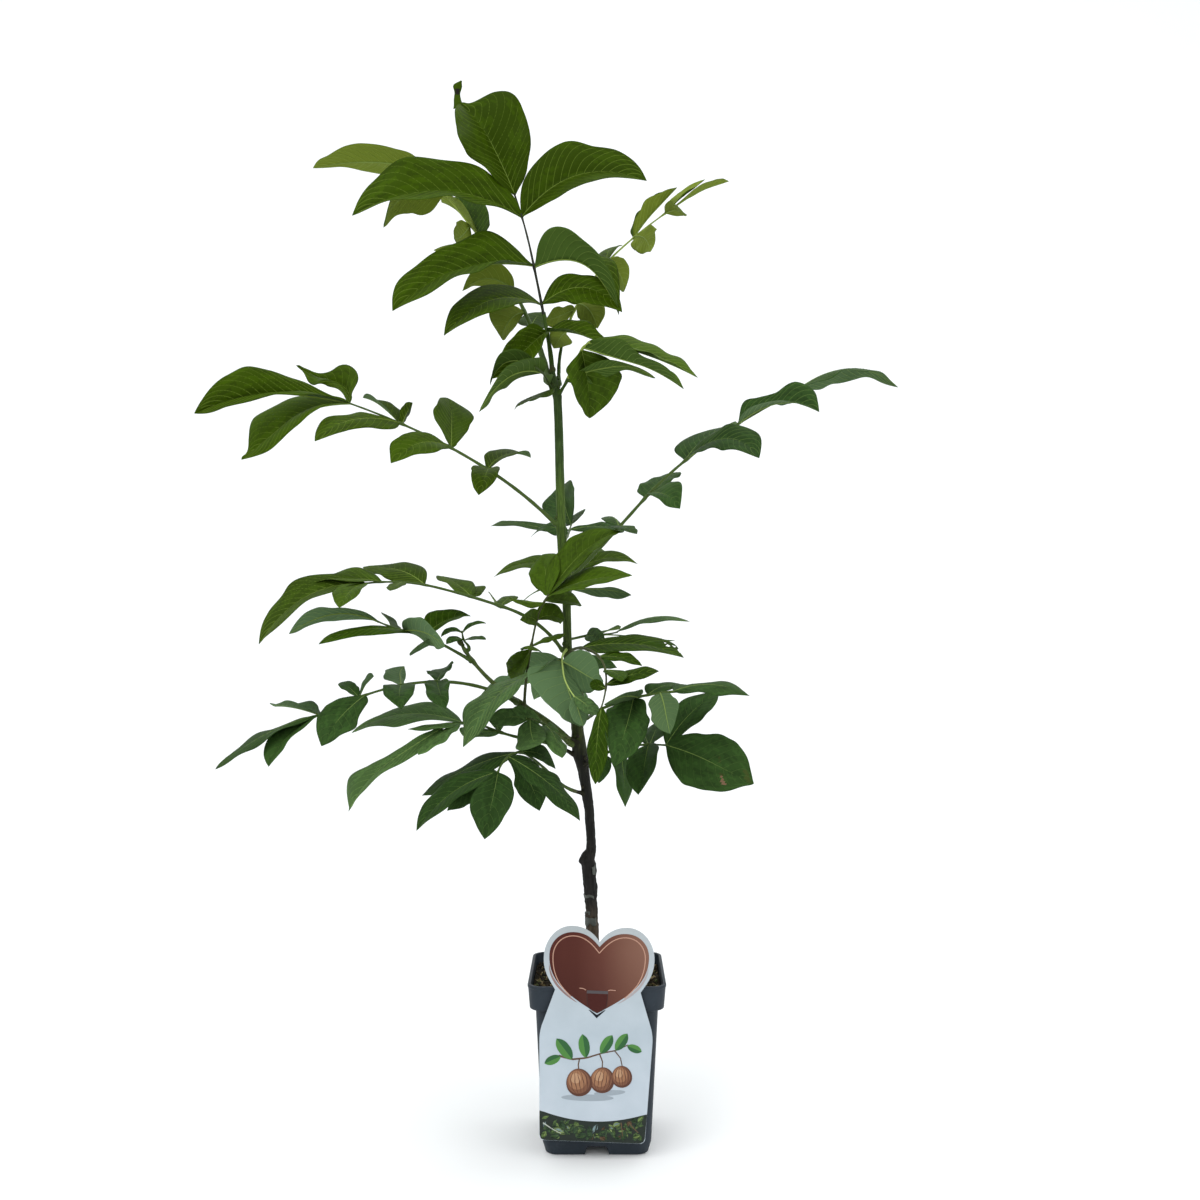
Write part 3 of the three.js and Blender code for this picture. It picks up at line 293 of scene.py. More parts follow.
# measured shapes of single leaflets, as bends and swings off the plain leaflet, then the left and the right half
# widths as shares of the plain outline at SHAPE_AT
SHAPE_NAMES = ("turn", "lift", "stretch", "bend", "hook", "nod", "twist", "fold", "roll", "curl", "wave", "waves", "ph0", "ph1", "bow")
SHAPES = {
    "crown:0": ((-2.74, 1.65, -0.076, -0.011, 0.026, 0.136, 0.181, 15.1, 14.3, 13.5, 1.36, 2.59, 4.96, 2.28, -0.015), (0.926, 0.861, 1.21, 1.17, 0.998, 1), (1.1, 1.14, 1.24, 1.42, 1.31, 0.551)),
    "crown:1": ((0.784, 0.051, 0, 0.003, -0.053, 0.031, 21.1, 1.38, -9.08, 16.2, 1.06, 2.86, 5.57, 2.9, -0.004), (0.962, 0.951, 1.02, 0.942, 0.85, 0.855), (0.926, 0.855, 0.936, 1.02, 1.03, 1)),
    "crown:2": ((4.44, 2.26, 0.014, -0.018, -0.013, -0.02, -21.5, 0.034, 0.239, 14.5, 0.236, 2.09, 4.35, 3.3, -0.003), (1.03, 1.01, 1.1, 0.793, 0.846, 0.886), (1.05, 1.09, 0.903, 0.867, 0.73, 0.807)),
    "crown:3": ((3.48, 0.188, 0.007, 0.021, 0.022, 0.029, -6.25, 8.88, -3.77, 14.3, 1.26, 2.59, 2.98, 4.25, 0), (0.992, 1, 1.23, 1.28, 1.37, 1), (1.27, 1.22, 0.843, 0.641, 0.815, 0.921)),
    "crown:4": ((-0.968, 1.08, -0.093, -0.02, 0.133, -0.009, 12.7, 29.5, -40.5, 9.61, 2.14, 1.5, 1.94, 0, -0.019), (1.53, 1.35, 1.17, 1.11, 1.03, 0.997), (1.6, 1.5, 1.28, 1.04, 0.918, 0.942)),
    "crown:5": ((5.58, -1.88, -0.013, -0.018, -0.084, 0.021, 21.3, -3.75, 0.245, 2.7, 0.7, 1.49, 6.28, 0, -0.011), (1.07, 1.11, 1.18, 1.32, 1.19, 1), (1.32, 1.1, 1.13, 0.965, 1, 1)),
    "crown:6": ((5.53, 2.18, -0.022, -0.017, 0.028, 0.023, -5.35, 0.639, 21.2, 9.08, 0.637, 3.16, 4.21, 1.77, 0.006), (1.36, 1.21, 0.756, 0.809, 0.9, 0.892), (1.03, 1.06, 1.19, 1.09, 0.997, 0.991)),
    "crown:7": ((3.45, -5.11, -0.001, 0.067, -0.062, -0.05, -13.1, 40.5, -36.3, 0.324, 0.377, 2.56, 5.31, 0, -0.059), (1.33, 1.11, 1.32, 1.44, 1.18, 1), (1.33, 1.08, 0.979, 1.02, 0.894, 1)),
    "crown:8": ((1.12, -0.881, -0.056, -0.039, 0.03, 0.005, -2.23, 29, 0.613, 8.76, 1.08, 2.24, 5.68, 0.088, -0.039), (1.08, 1.06, 1.02, 0.86, 0.699, 0.732), (1.06, 0.977, 1.04, 1.01, 0.972, 0.989)),
    "back_left:0": ((0.313, -0.33, 0.006, -0.017, -0.022, -0.027, -24, 5.74, 4.62, 14, 0.354, 2.22, 0.083, 3.52, 0), (1.02, 0.892, 0.888, 0.936, 0.761, 0.938), (1.03, 1.03, 1.04, 0.887, 0.544, 0.621)),
    "back_left:1": ((-6.18, -0.004, 0.007, 0.028, 0.059, 0.098, -32.7, -14.4, 14, 27.5, 0.986, 2.39, 1.52, 2.92, 0.081), (0.898, 0.786, 0.596, 0.89, 1.01, 0.968), (1.54, 1.24, 0.936, 0.75, 1.1, 0.96)),
    "back_left:2": ((2.74, 3.43, -0.039, -0.009, 0.022, 0.053, -16.6, 11.9, 19.3, 14.1, 0.72, 2.09, 3.46, 2.09, 0.015), (0.991, 0.994, 1.02, 1.03, 1.01, 1), (1.05, 0.969, 0.963, 1.04, 1.07, 1)),
    "back_left:3": ((1.02, -3.69, 0.027, -0.041, 0.06, 0.021, 3.53, -1.26, 35.3, 15.4, 0.756, 2.97, 4.51, 3.19, -0.023), (0.806, 0.92, 0.978, 0.957, 0.92, 0.964), (1.15, 1.11, 1.03, 0.995, 0.988, 0.924)),
    "back_left:4": ((4.55, -0.125, -0.047, 0.006, 0.055, 0.042, -7.05, -3.59, -10.2, 11.2, 0.65, 2.1, 4.31, 3.54, 0.017), (0.987, 0.997, 1.02, 1, 0.986, 1), (1, 0.994, 0.972, 0.958, 0.938, 0.888)),
    "back_left:5": ((1.02, 2.85, 0.003, 0.039, -0.049, 0.015, 5.13, -6.11, 2.71, 13.5, 1.04, 2.35, 1.94, 3.03, 0.01), (1.31, 1.28, 1.16, 1.08, 1.01, 1), (0.987, 0.996, 0.997, 0.989, 0.986, 0.984)),
    "back_left:6": ((-3.61, -0.558, 0.061, 0.046, 0.083, 0.083, 3.6, 8.87, -5.79, 11.1, 0.629, 2.48, 2.84, 0, -0.003), (1.01, 1.08, 1.17, 1.31, 1.22, 1), (0.936, 0.914, 0.87, 0.798, 0.859, 0.885)),
    "back_left:7": ((6.41, 2.19, -0.035, 0.028, -0.066, 0.034, 7.01, -18.3, 15.2, 14.8, 0.639, 2.28, 2.37, 4.42, -0.033), (1.07, 1.18, 1.12, 1.07, 1.03, 0.982), (1.01, 1.04, 1.04, 0.984, 0.907, 0.759)),
    "back_right:0": ((6.55, 1.24, 0.007, -0.044, -0.066, 0.032, 2.32, 1.95, 13.2, 20.5, 0.732, 1.5, 0, 4.62, -0.013), (0.853, 0.874, 0.976, 0.975, 1.02, 0.975), (1.04, 1.09, 1.03, 0.997, 0.9, 0.762)),
    "back_right:1": ((-4.2, 0.057, -0.041, 0.013, 0.071, 0.018, 12.2, -11.6, -143, 22.4, 0.91, 1.82, 6.28, 6.28, 0.002), (0.978, 0.975, 0.989, 0.963, 0.734, 0.953), (0.892, 0.953, 0.99, 1.15, 1.16, 0.989)),
    "back_right:2": ((0.262, 4.39, 0.001, 0.007, 0.011, 0.03, 0.604, 9.77, 0.45, 14.9, 0.72, 2.06, 2.58, 1.52, 0.02), (1.03, 0.996, 0.967, 0.89, 0.849, 0.871), (0.872, 0.893, 0.943, 0.957, 0.978, 0.998)),
    "back_right:3": ((8.87, -0.526, -0.023, 0.027, -0.026, -0.03, 14.7, 22, 38.3, 4.4, 1.24, 2.71, 0.556, 6.28, 0.003), (1.01, 1.04, 0.982, 1.1, 1.23, 0.992), (1.02, 1.05, 1.04, 0.952, 0.717, 0.787)),
    "back_right:4": ((1.49, 5.47, 0.118, -0.029, 0.016, -0.001, 6.01, 7.13, -32.9, 14, 1.95, 2.45, 1.9, 5.76, 0), (1.03, 1.05, 1.03, 1.03, 1.04, 0.995), (1.05, 1.04, 1.03, 0.99, 1.03, 0.995)),
    "back_right:5": ((3.7, 1.04, -0.08, 0.037, -0.07, 0.005, 39.6, -0.322, 40.7, 27.6, 0.057, 1.54, 1.54, 5.77, 0.073), (1.07, 1.07, 1.01, 0.952, 0.92, 0.915), (0.924, 0.973, 1, 1.03, 0.984, 0.958)),
    "back_right:6": ((1.91, -1.89, 0.008, 0.017, -0.032, 0.072, -5.43, 6.42, -7.57, 14.1, 0.383, 2.3, 3.53, 4.97, -0.007), (1.01, 1.01, 1.01, 1.01, 0.997, 1), (0.953, 0.935, 0.994, 1, 1.01, 0.993)),
    "back_right:7": ((1.68, 1.95, -0.013, 0.025, -0.005, 0.024, -0.712, -0.173, -32, 13.7, 0.65, 2.13, 4.06, 4.34, 0.009), (1.09, 1.13, 1.07, 1.04, 1.01, 1), (1.03, 1.05, 1.08, 1.15, 1.11, 1)),
    "back_right:8": ((-4.07, -2.88, -0.034, -0.008, 0.049, -0.033, 13.5, 1.37, -1.11, 10.6, 1.3, 1.9, 5.44, 3.53, -0.032), (0.971, 0.831, 0.807, 1.12, 1.21, 1), (1.22, 1.16, 1.05, 1.01, 0.993, 0.992)),
    "back_right:9": ((-0.233, -0.136, -0.004, -0.004, 0.03, -0.037, 9.61, -7.92, 38.3, 14.1, 0.696, 2.26, 0.128, 0.137, -0.011), (1.12, 1.13, 1.15, 1.05, 1, 0.996), (1.11, 1.14, 1.26, 1.08, 0.977, 1)),
    "front_right_top:0": ((3.9, 17.7, 0.028, 0.025, -0.011, -0.015, -17.5, 5.61, 15.7, 33.2, 0.682, 3.23, 5.91, 1.01, 0.144), (1.12, 1.09, 1.1, 0.967, 0.824, 0.752), (1.32, 0.851, 0.683, 0.657, 0.55, 0.772)),
    "front_right_top:1": ((-1.5, 1.8, -0.033, -0.005, -0.021, -0.025, 0.268, 17.3, -9.4, 25.8, 0.634, 3.98, 6.26, 1.04, -0.044), (1.04, 1.19, 1.04, 0.953, 1.11, 1), (0.96, 0.966, 0.949, 0.929, 0.855, 0.736)),
    "front_right_top:2": ((0.501, 5.03, -0.049, 0.022, 0.148, 0.048, 20.6, 23, -33.1, 3.18, 1.93, 2, 3.03, 2.44, -0.097), (0.661, 0.812, 0.866, 0.892, 0.931, 0.999), (0.919, 0.903, 0.882, 0.862, 1.1, 1)),
    "front_right_top:3": ((9.3, 8.94, -0.096, -0.047, -0.01, 0.157, -19.9, -6.88, -8.25, 11.7, 1.35, 1.54, 1.47, 3.41, -0.065), (0.598, 0.577, 0.517, 0.42, 0.463, 0.492), (0.593, 0.578, 0.629, 0.655, 0.588, 0.595)),
    "front_right_top:4": ((0.004, -0.022, 0, 0, 0.001, 0.015, 0.082, 0.022, 0.063, 14.2, 0.695, 2.3, 2.96, 3.2, -0.001), (0.994, 0.995, 0.996, 0.997, 0.999, 1), (0.999, 0.998, 0.996, 0.999, 1, 1)),
    "front_left_top:0": ((-10.7, 9.7, -0.134, 0.025, -0.018, 0.13, -7, -2.47, -31.4, 14.1, 0.791, 1.63, 2.07, 2.74, 0.113), (1.03, 1.01, 1.03, 1.04, 0.925, 0.908), (0.977, 0.986, 0.971, 0.977, 1.01, 0.954)),
    "front_left_top:1": ((-11.1, -2.36, -0.135, 0.063, 0.029, -0.009, 28.4, -0.288, -10.5, 18.7, 1.25, 1.98, 6.28, 0, 0.103), (1.14, 1.24, 1.17, 1.15, 0.999, 0.877), (1.1, 1.02, 0.905, 0.924, 0.924, 0.95)),
    "front_left_top:2": ((1.8, -2.55, -0.002, 0.021, 0.042, -0.05, -0.43, -7.35, -16.6, 29.1, 2.6, 1.2, 1.53, 3.71, 0), (0.878, 0.883, 0.897, 0.952, 1.01, 1), (1.05, 1.06, 1.04, 0.989, 0.988, 0.99)),
    "left_upper:0": ((33.3, -3.5, 0.0125, -0.251, -0.191, 0.142, -48.2, 17.3, 2.5, 60, 0.781, 2.59, 6.28, 5.3, -0.134), (0.47, 0.919, 0.401, 0.39, 0.428, 0.748), (0.3, 0.59, 0.762, 0.907, 0.894, 0.876)),
    "left_upper:1": ((-12.3, -8.54, -0.0437, -0.0269, -0.0482, -0.149, -32.2, -0.482, 12.7, 34.4, 0.0166, 2.41, 0.354, 0.329, 0.112), (0.64, 1.1, 1.1, 0.918, 1.01, 0.945), (2.2, 1.63, 1.36, 1.42, 0.845, 0.3)),
    "left_upper:2": ((25.7, -10.9, -0.299, -0.399, -0.226, -0.208, -4.85, 13.4, -32.1, 69, 1.97, 2.02, 6.25, 0.926, -0.0758), (0.555, 0.697, 0.806, 1.36, 1.07, 0.3), (0.314, 0.853, 1.02, 0.502, 0.3, 0.3)),
    "left_upper:3": ((7.49, 0.657, 0.052, 0.003, 0.048, 0.018, 8.96, -8.76, 0.625, 15.3, 0.381, 2.71, 6.28, 2.67, -0.002), (1.37, 1.2, 0.965, 0.792, 0.845, 0.87), (1.12, 1.17, 0.925, 1.22, 1.14, 1)),
    "left_upper:4": ((4.78, -0.968, -0.05, -0.023, -0.04, 0.064, 13.2, 20.8, 15.2, 6, 0.625, 2.03, 4.21, 0, -0.011), (0.95, 0.974, 0.958, 0.925, 1.01, 1), (1.16, 1.19, 1.09, 1.13, 1.03, 0.985)),
    "left_upper:5": ((-0.649, -3.93, -0.003, -0.021, 0.04, -0.016, -0.685, -28.9, 12, 14.4, 0.691, 2.31, 6.09, 3.44, 0.082), (0.977, 0.961, 0.931, 0.865, 0.916, 0.995), (0.906, 0.875, 0.875, 0.954, 1.01, 1)),
    "left_upper:6": ((4.83, 1.78, -0.019, 0.012, -0.003, 0.043, 7.58, 1.02, -4.8, 14.4, 0.86, 1.97, 4.01, 5.68, -0.001), (0.988, 1.03, 1.11, 1.02, 0.92, 0.968), (0.99, 0.98, 0.969, 0.911, 1.1, 0.999)),
    "left_upper:7": ((-1.15, -0.448, 0.056, -0.003, 0.026, 0.046, -0.733, 6.24, 6.97, 13.1, 0.896, 2.03, 0, 0.192, 0), (0.914, 1.18, 1.09, 0.939, 0.909, 0.929), (0.57, 0.676, 0.865, 1.07, 1.11, 0.932)),
    "left_upper:8": ((0.628, 0.619, -0.062, 0.044, -0.003, 0.011, -1.04, 13.5, -13.8, 14.2, 0.807, 2.28, 0, 5.21, 0.029), (0.927, 0.903, 0.849, 0.888, 0.886, 0.917), (1.05, 1.07, 0.967, 0.85, 0.843, 0.989)),
    "left_upper:9": ((1.09, 1.11, 0.052, 0.071, 0.03, 0.046, 2.04, 8.65, -3.94, 3.8, 1.02, 1.78, 4.56, 0, 0.002), (0.713, 0.903, 0.951, 0.963, 0.971, 0.989), (0.861, 0.879, 0.951, 1, 0.999, 0.99)),
    "right_upper:0": ((-0.375, 4.65, 0.067, 0.023, 0.102, 0.046, -6.65, -20.9, -32.1, 4.94, 1.45, 2.86, 0, 6.28, 0.013), (1.03, 1.07, 1.15, 0.69, 0.668, 0.798), (1.09, 1.13, 1.1, 1.11, 1.05, 1)),
    "right_upper:1": ((4.45, -0.025, -0.016, -0.016, -0.146, -0.05, 4.74, 28.2, -0.534, 9.97, 0.332, 2.3, 6.15, 5.21, -0.004), (1.55, 0.805, 0.595, 1.16, 1.15, 0.955), (0.979, 0.937, 0.893, 0.818, 0.709, 0.757)),
    "right_upper:2": ((1.18, -5.03, 0.055, 0, -0.019, -0.05, 15.5, -23.1, -8.38, 12.5, 0.947, 1.66, 3.46, 2.46, -0.023), (1.07, 1.06, 1.03, 1.01, 0.984, 0.941), (1.02, 0.996, 0.999, 0.942, 0.959, 0.977)),
    "right_upper:3": ((1.7, 2.98, 0.017, -0.015, -0.103, -0.05, 3.75, 4.37, 6.61, 17.4, 1.03, 2.76, 5.97, 0.145, 0), (0.952, 0.944, 0.973, 1, 1.08, 1), (1.04, 1.05, 1.05, 1.07, 0.966, 0.928)),
    "right_upper:4": ((-2.92, -1.36, 0.06, 0.062, 0.078, 0.022, -27.6, -5.73, -3.87, 5.94, 0.349, 2.1, 5.39, 3.75, 0.017), (1.48, 1.24, 1.11, 0.837, 0.843, 0.937), (0.792, 0.533, 0.691, 0.829, 0.94, 0.829)),
    "right_upper:5": ((-0.165, 1.59, -0.026, -0.011, -0.037, 0.015, 37.5, 10.1, 7.24, 13.7, 0.466, 1.53, 4.59, 3.58, 0), (1.03, 1.05, 1.09, 1.19, 0.955, 0.826), (0.833, 0.785, 0.667, 0.693, 0.857, 0.922)),
    "right_upper:6": ((3.6, 0.61, -0.003, 0.018, -0.024, -0.029, -5, -3.93, -3.62, 12.8, 0.782, 3.6, 0, 2.53, 0.001), (1.42, 1.24, 1.09, 0.868, 0.885, 0.92), (0.953, 0.95, 0.973, 1.05, 1.08, 1)),
    "right_upper:7": ((-3.06, 1.96, -0.026, -0.073, 0.036, 0.029, -12.4, -1.36, -6.4, 13.8, 0.699, 2.29, 6.28, 2.48, 0.004), (1.01, 1, 0.996, 0.871, 0.925, 0.946), (0.985, 0.991, 0.993, 0.99, 0.991, 0.989)),
    "right_upper:8": ((-6.15, -1.96, 0.086, -0.015, 0.047, 0.009, -14.5, -24.6, -39.5, 23.2, 0.429, 2.56, 2.79, 1.29, 0.051), (1.02, 0.998, 0.932, 0.851, 0.832, 0.859), (1.04, 1.04, 1.08, 0.998, 0.962, 0.911)),
    "back_upper:0": ((0.59, 1.58, 0.034, 0.027, -0.003, 0.026, -0.15, 11.4, -17.8, 13.9, 0.585, 2.39, 4.72, 3, 0.001), (1.05, 1.06, 1.09, 0.975, 0.82, 0.878), (1, 1, 1.01, 1.01, 0.998, 0.998)),
    "back_upper:1": ((4.61, 11.9, -0.036, 0.045, 0.112, 0.179, 2.93, -0.0602, -0.14, 0.0539, 0.328, 2.77, 2.52, 4.75, -0.102), (1.95, 0.58, 0.535, 0.779, 1.19, 1.34), (1.07, 0.911, 0.586, 0.353, 0.567, 1.53)),
    "back_upper:2": ((-1.78, -0.023, 0.066, -0.099, 0.088, 0.025, 6.45, -6.06, -16.4, 26.7, 1.1, 1.77, 1.16, 2.67, -0.006), (0.714, 0.612, 0.686, 0.84, 0.846, 0.946), (1.1, 1.04, 1.04, 1.02, 1.04, 1)),
    "back_upper:3": ((7.4, -1.17, -0.037, 0.023, -0.081, 0.025, -1.17, 5.49, -11.8, 13.7, 0.338, 2.22, 6.14, 4.27, -0.011), (1.04, 0.976, 0.971, 0.999, 1, 0.967), (1, 0.942, 0.896, 0.934, 0.943, 0.945)),
    "back_upper:4": ((1.53, 8.05, -0.049, -0.058, 0.063, 0.046, 20.5, 3.55, 6.04, 1.72, 0.829, 2.58, 2.11, 0.846, 0.096), (1.09, 1.21, 1.04, 0.989, 0.98, 0.978), (1.1, 1.08, 1.04, 0.972, 0.956, 0.968)),
    "back_middle:0": ((1.72, -0.53, -0.004, 0.011, 0.001, 0.016, 1.25, 0.169, 6.68, 14.2, 0.729, 2.29, 4.88, 4.26, -0.006), (0.994, 0.999, 1.01, 1, 0.993, 0.99), (0.976, 0.982, 0.987, 0.997, 0.991, 0.988)),
    "back_middle:1": ((0.017, 2.53, 0.011, 0.002, 0.005, 0.042, -0.01, 3.42, 4.34, 14, 0.735, 2.67, 3.76, 0, 0), (1, 0.999, 0.992, 0.988, 0.972, 0.978), (1, 0.998, 0.974, 0.921, 0.849, 0.887)),
    "back_middle:2": ((-1.55, 2.01, -0.008, 0.015, -0.006, 0.055, -3.19, 8.64, -2.95, 14.3, 0.691, 2.37, 2.26, 0.757, 0.001), (1.01, 1.01, 1.01, 0.967, 0.911, 0.922), (0.957, 0.939, 0.888, 0.918, 0.952, 0.966)),
    "back_middle:3": ((-2.09, 2.96, -0.051, -0.003, 0.004, -0.003, -29.4, -19.2, -45.1, 12.2, 0.705, 2.02, 0.198, 5.15, -0.084), (1.09, 1.11, 1.08, 1.03, 0.988, 0.946), (1.02, 1.03, 1.06, 1.12, 1.06, 1)),
    "back_middle:4": ((-0.056, -0.624, 0.002, 0.001, 0.023, 0.038, 1.97, -0.644, 33, 14, 0.843, 2.42, 3.41, 5.2, 0.007), (0.981, 0.989, 0.984, 0.978, 0.995, 0.992), (0.998, 0.993, 0.999, 0.993, 0.992, 0.98)),
    "back_middle:5": ((0.023, 0.138, -0.002, 0.001, -0, 0.017, 0.015, 0.398, -0.12, 13.9, 0.729, 2.3, 3.19, 2.93, 0), (1, 1.01, 1, 1, 1, 1), (0.991, 0.992, 0.992, 0.991, 0.99, 0.995)),
    "riser:0": ((-2.36, 1.91, -0.049, 0.041, 0.053, 0.003, 0.134, 0.103, -9.44, 19.1, 0.446, 3.43, 3.08, 1.16, -0.002), (0.664, 0.942, 1.14, 1.07, 0.799, 0.74), (1.1, 1.11, 1.13, 1.02, 0.928, 0.852)),
    "riser:1": ((-3.48, 5.53, 0.042, -0.004, 0.042, 0.047, 12.1, -5.14, -4.82, 24.2, 1.1, 1.81, 1.59, 0.489, 0.023), (0.626, 0.834, 0.945, 1.05, 1.1, 1), (0.946, 0.961, 1.01, 1.02, 0.971, 0.898)),
    "riser:2": ((4.77, 2.25, 0.048, 0.002, -0.021, 0.063, 7.18, 3.27, 1.97, 13.6, 0.699, 3.38, 2.14, 2.88, 0.018), (0.954, 0.959, 0.958, 1.01, 1.01, 1), (0.988, 0.981, 0.982, 0.979, 0.987, 0.993)),
    "riser:3": ((6.14, -5.77, -0.014, 0.029, -0.023, -0.023, -0.865, -13.3, 25.4, 13.8, 0.886, 1.76, 6.28, 2.26, -0.152), (1.1, 1.1, 1.11, 1.01, 0.989, 0.994), (0.926, 0.923, 1, 1.01, 0.988, 0.999)),
    "riser:4": ((-0.811, -1.42, 0.03, -0.025, 0.01, 0.002, -2.66, 26.3, 18.2, 13.1, 0.501, 2.88, 6.28, 3.49, -0.015), (0.733, 0.839, 0.902, 0.949, 0.981, 0.995), (1.12, 1.14, 1.15, 1.12, 1.07, 1)),
    "riser:5": ((4.9, -1.93, -0.038, -0.003, 0.01, 0.042, -0.503, 30.4, -35.9, 12, 0.731, 2.2, 0.065, 4.05, 0.008), (0.993, 0.997, 0.996, 0.992, 0.986, 0.978), (1.01, 1.01, 0.994, 0.934, 0.869, 0.899)),
    "riser:6": ((-0.056, 5.57, -0.043, 0.05, -0.041, 0.039, 19.2, -1.2, -5.25, 16.7, 0.922, 3.38, 0, 3.49, 0.024), (0.932, 0.972, 0.926, 0.914, 0.912, 0.877), (0.95, 1.04, 1.14, 1.17, 1.06, 0.969)),
    "riser:7": ((4.15, 1.99, -0.013, 0.072, -0.024, 0.054, 2.61, -24.5, 24.8, 18.4, 0.681, 2.15, 6.08, 4.58, -0.027), (1.02, 1.04, 1.06, 1.04, 1.04, 1), (0.899, 0.907, 0.986, 0.928, 0.974, 0.967)),
    "riser:8": ((1.6, -7.62, 0.077, -0.001, 0.049, -0.042, 12.5, -14.6, -24.8, 13.1, 1.08, 2.64, 0.082, 4.07, -0.011), (0.94, 0.921, 0.977, 0.987, 0.971, 0.992), (0.913, 0.89, 0.958, 0.974, 0.987, 0.991)),
    "riser:9": ((-3.53, -6.72, 0.007, 0.059, -0.116, -0.025, 4.92, 18.1, -24.5, 17.4, 0.894, 2.9, 2.86, 6.28, -0.015), (1.09, 1.01, 1.01, 0.992, 0.992, 0.978), (0.97, 0.951, 0.901, 0.926, 0.96, 0.99)),
    "left_middle:0": ((5.99, 2.27, -0.01, -0.002, -0.133, 0.073, 5.5, 14.1, 3.17, 10.8, 0.964, 2.16, 0.945, 1.09, -0.001), (1.06, 1.07, 1.13, 1.07, 0.992, 0.909), (1.06, 1.04, 1.06, 0.845, 0.951, 0.964)),
    "left_middle:1": ((-0.016, -1.07, -0.009, 0.026, -0.004, -0.007, 13, 5.86, 8.23, 14.1, 1.08, 2.23, 1.76, 3.42, 0.001), (0.999, 0.997, 0.989, 0.991, 1.01, 0.954), (1.07, 0.99, 0.984, 0.933, 0.986, 0.99)),
    "left_middle:2": ((-3.04, 0.097, 0.022, -0.038, -0.015, -0.002, -16.5, 16.3, 9.18, 14.1, 0.717, 2.39, 0.918, 2.55, 0.005), (0.893, 0.853, 0.818, 0.876, 0.857, 0.894), (1, 1.01, 1.01, 1.02, 0.966, 0.948)),
    "left_middle:3": ((0.52, 0.744, 0.052, -0.037, -0.028, -0.047, 18.4, -12.8, 5.93, 13.9, 0.742, 2.11, 0.635, 0.231, -0), (1.07, 1.03, 0.977, 0.899, 0.94, 0.957), (1.08, 1.1, 1.04, 0.964, 0.951, 0.937)),
    "left_middle:4": ((2.57, 0.285, -0.005, 0, -0.025, 0.005, 2.67, 2.43, 1.59, 13.9, 0.702, 2.15, 4.55, 3.02, 0), (0.995, 0.994, 0.992, 0.987, 0.968, 0.976), (0.946, 0.93, 0.896, 0.938, 0.961, 0.971)),
    "left_middle:5": ((-4.44, -2.99, -0.02, 0.007, 0.009, -0.007, 17.6, -4.15, -5.39, 13.2, 0.69, 1.6, 3.87, 2.67, 0.002), (0.957, 0.826, 0.715, 0.998, 0.952, 0.943), (1.08, 1.11, 1.17, 1.01, 1.01, 1)),
    "left_middle:6": ((4.94, -0.655, -0.006, 0.036, -0.021, 0.021, -7.4, -10.7, 6.03, 13.9, 0.904, 2.21, 2.92, 2.11, 0.005), (1, 0.993, 0.981, 0.961, 0.972, 0.969), (1.03, 0.997, 0.9, 0.797, 0.866, 0.903)),
    "left_middle:7": ((-1.96, -0.024, 0.037, -0.001, 0.003, -0.048, 8.91, -1.18, -16.7, 12.5, 0.702, 2.28, 0.064, 6.28, 0), (1.03, 1.02, 1, 0.984, 0.979, 1), (0.987, 0.984, 0.968, 0.957, 0.919, 0.95)),
    "left_middle:8": ((-1.28, -1.09, -0.006, 0.002, 0.009, 0.018, 4.25, -0.024, 5.46, 14, 0.714, 2.07, 4.47, 4.65, 0), (0.998, 0.983, 0.986, 0.983, 0.993, 1), (0.892, 0.895, 0.984, 1.04, 1.02, 0.996)),
    "left_shoot_leaf:0": ((-15.6, 0.565, 0.02, -0.071, 0.011, -0.032, 22.9, 7.91, -2.54, 37.5, 0.643, 1.2, 1.6, 2.41, 0.04), (0.919, 0.681, 0.647, 0.913, 0.893, 0.865), (1.32, 1.2, 1.12, 0.725, 0.612, 0.842)),
    "left_shoot_leaf:1": ((0.408, 0.815, -0.044, 0.022, 0.064, -0.003, 2.13, -3.3, 0.573, 25.7, 0.606, 1.64, 6.28, 4.28, 0.004), (0.916, 0.962, 0.863, 0.927, 0.976, 0.978), (0.883, 0.909, 0.9, 1.06, 1.17, 1)),
    "left_shoot_leaf:2": ((-5.88, -4.45, 0.051, -0.016, 0.058, 0, -20, 14.7, -32.8, 15.2, 0.794, 1.95, 5.43, 3.94, -0.006), (0.967, 0.997, 0.964, 0.946, 0.9, 0.895), (1.02, 1.03, 0.895, 0.823, 0.898, 0.885)),
    "left_shoot_leaf:3": ((1.28, 5.2, 0.004, -0.004, 0.05, 0.004, -36.7, 5.98, 11.7, 5.2, 0.817, 2.15, 6.21, 6.21, 0.001), (0.768, 0.923, 1.02, 0.996, 0.988, 0.986), (1.06, 1.01, 1.05, 1.11, 1.04, 1)),
    "left_shoot_leaf:4": ((4.05, -2.24, -0.011, 0.003, -0.022, -0.023, -5.4, 9.81, -2.59, 7.28, 1.06, 1.77, 4.11, 4.45, 0), (1.13, 1.17, 1.07, 0.991, 0.996, 1), (1.04, 1.04, 0.993, 0.946, 0.987, 0.994)),
    "left_shoot_leaf:5": ((-2.68, 2.78, 0.009, 0.035, 0.072, 0.001, 11.6, -10.2, 28.6, 13.9, 0.345, 2.31, 2.24, 5.26, -0.002), (0.997, 1.02, 1.03, 1.05, 1.06, 0.993), (0.967, 0.95, 1, 1.08, 1.03, 1)),
    "shoot_tip_leaf:0": ((-1.62, 1.25, -0.077, -0.009, 0.01, 0.021, -19.2, 15.4, -16.6, 14.3, 0.7, 2.42, 4.29, 5.31, 0), (1.12, 1.17, 1.02, 0.913, 0.931, 0.947), (1.01, 0.973, 0.995, 0.997, 1.01, 1)),
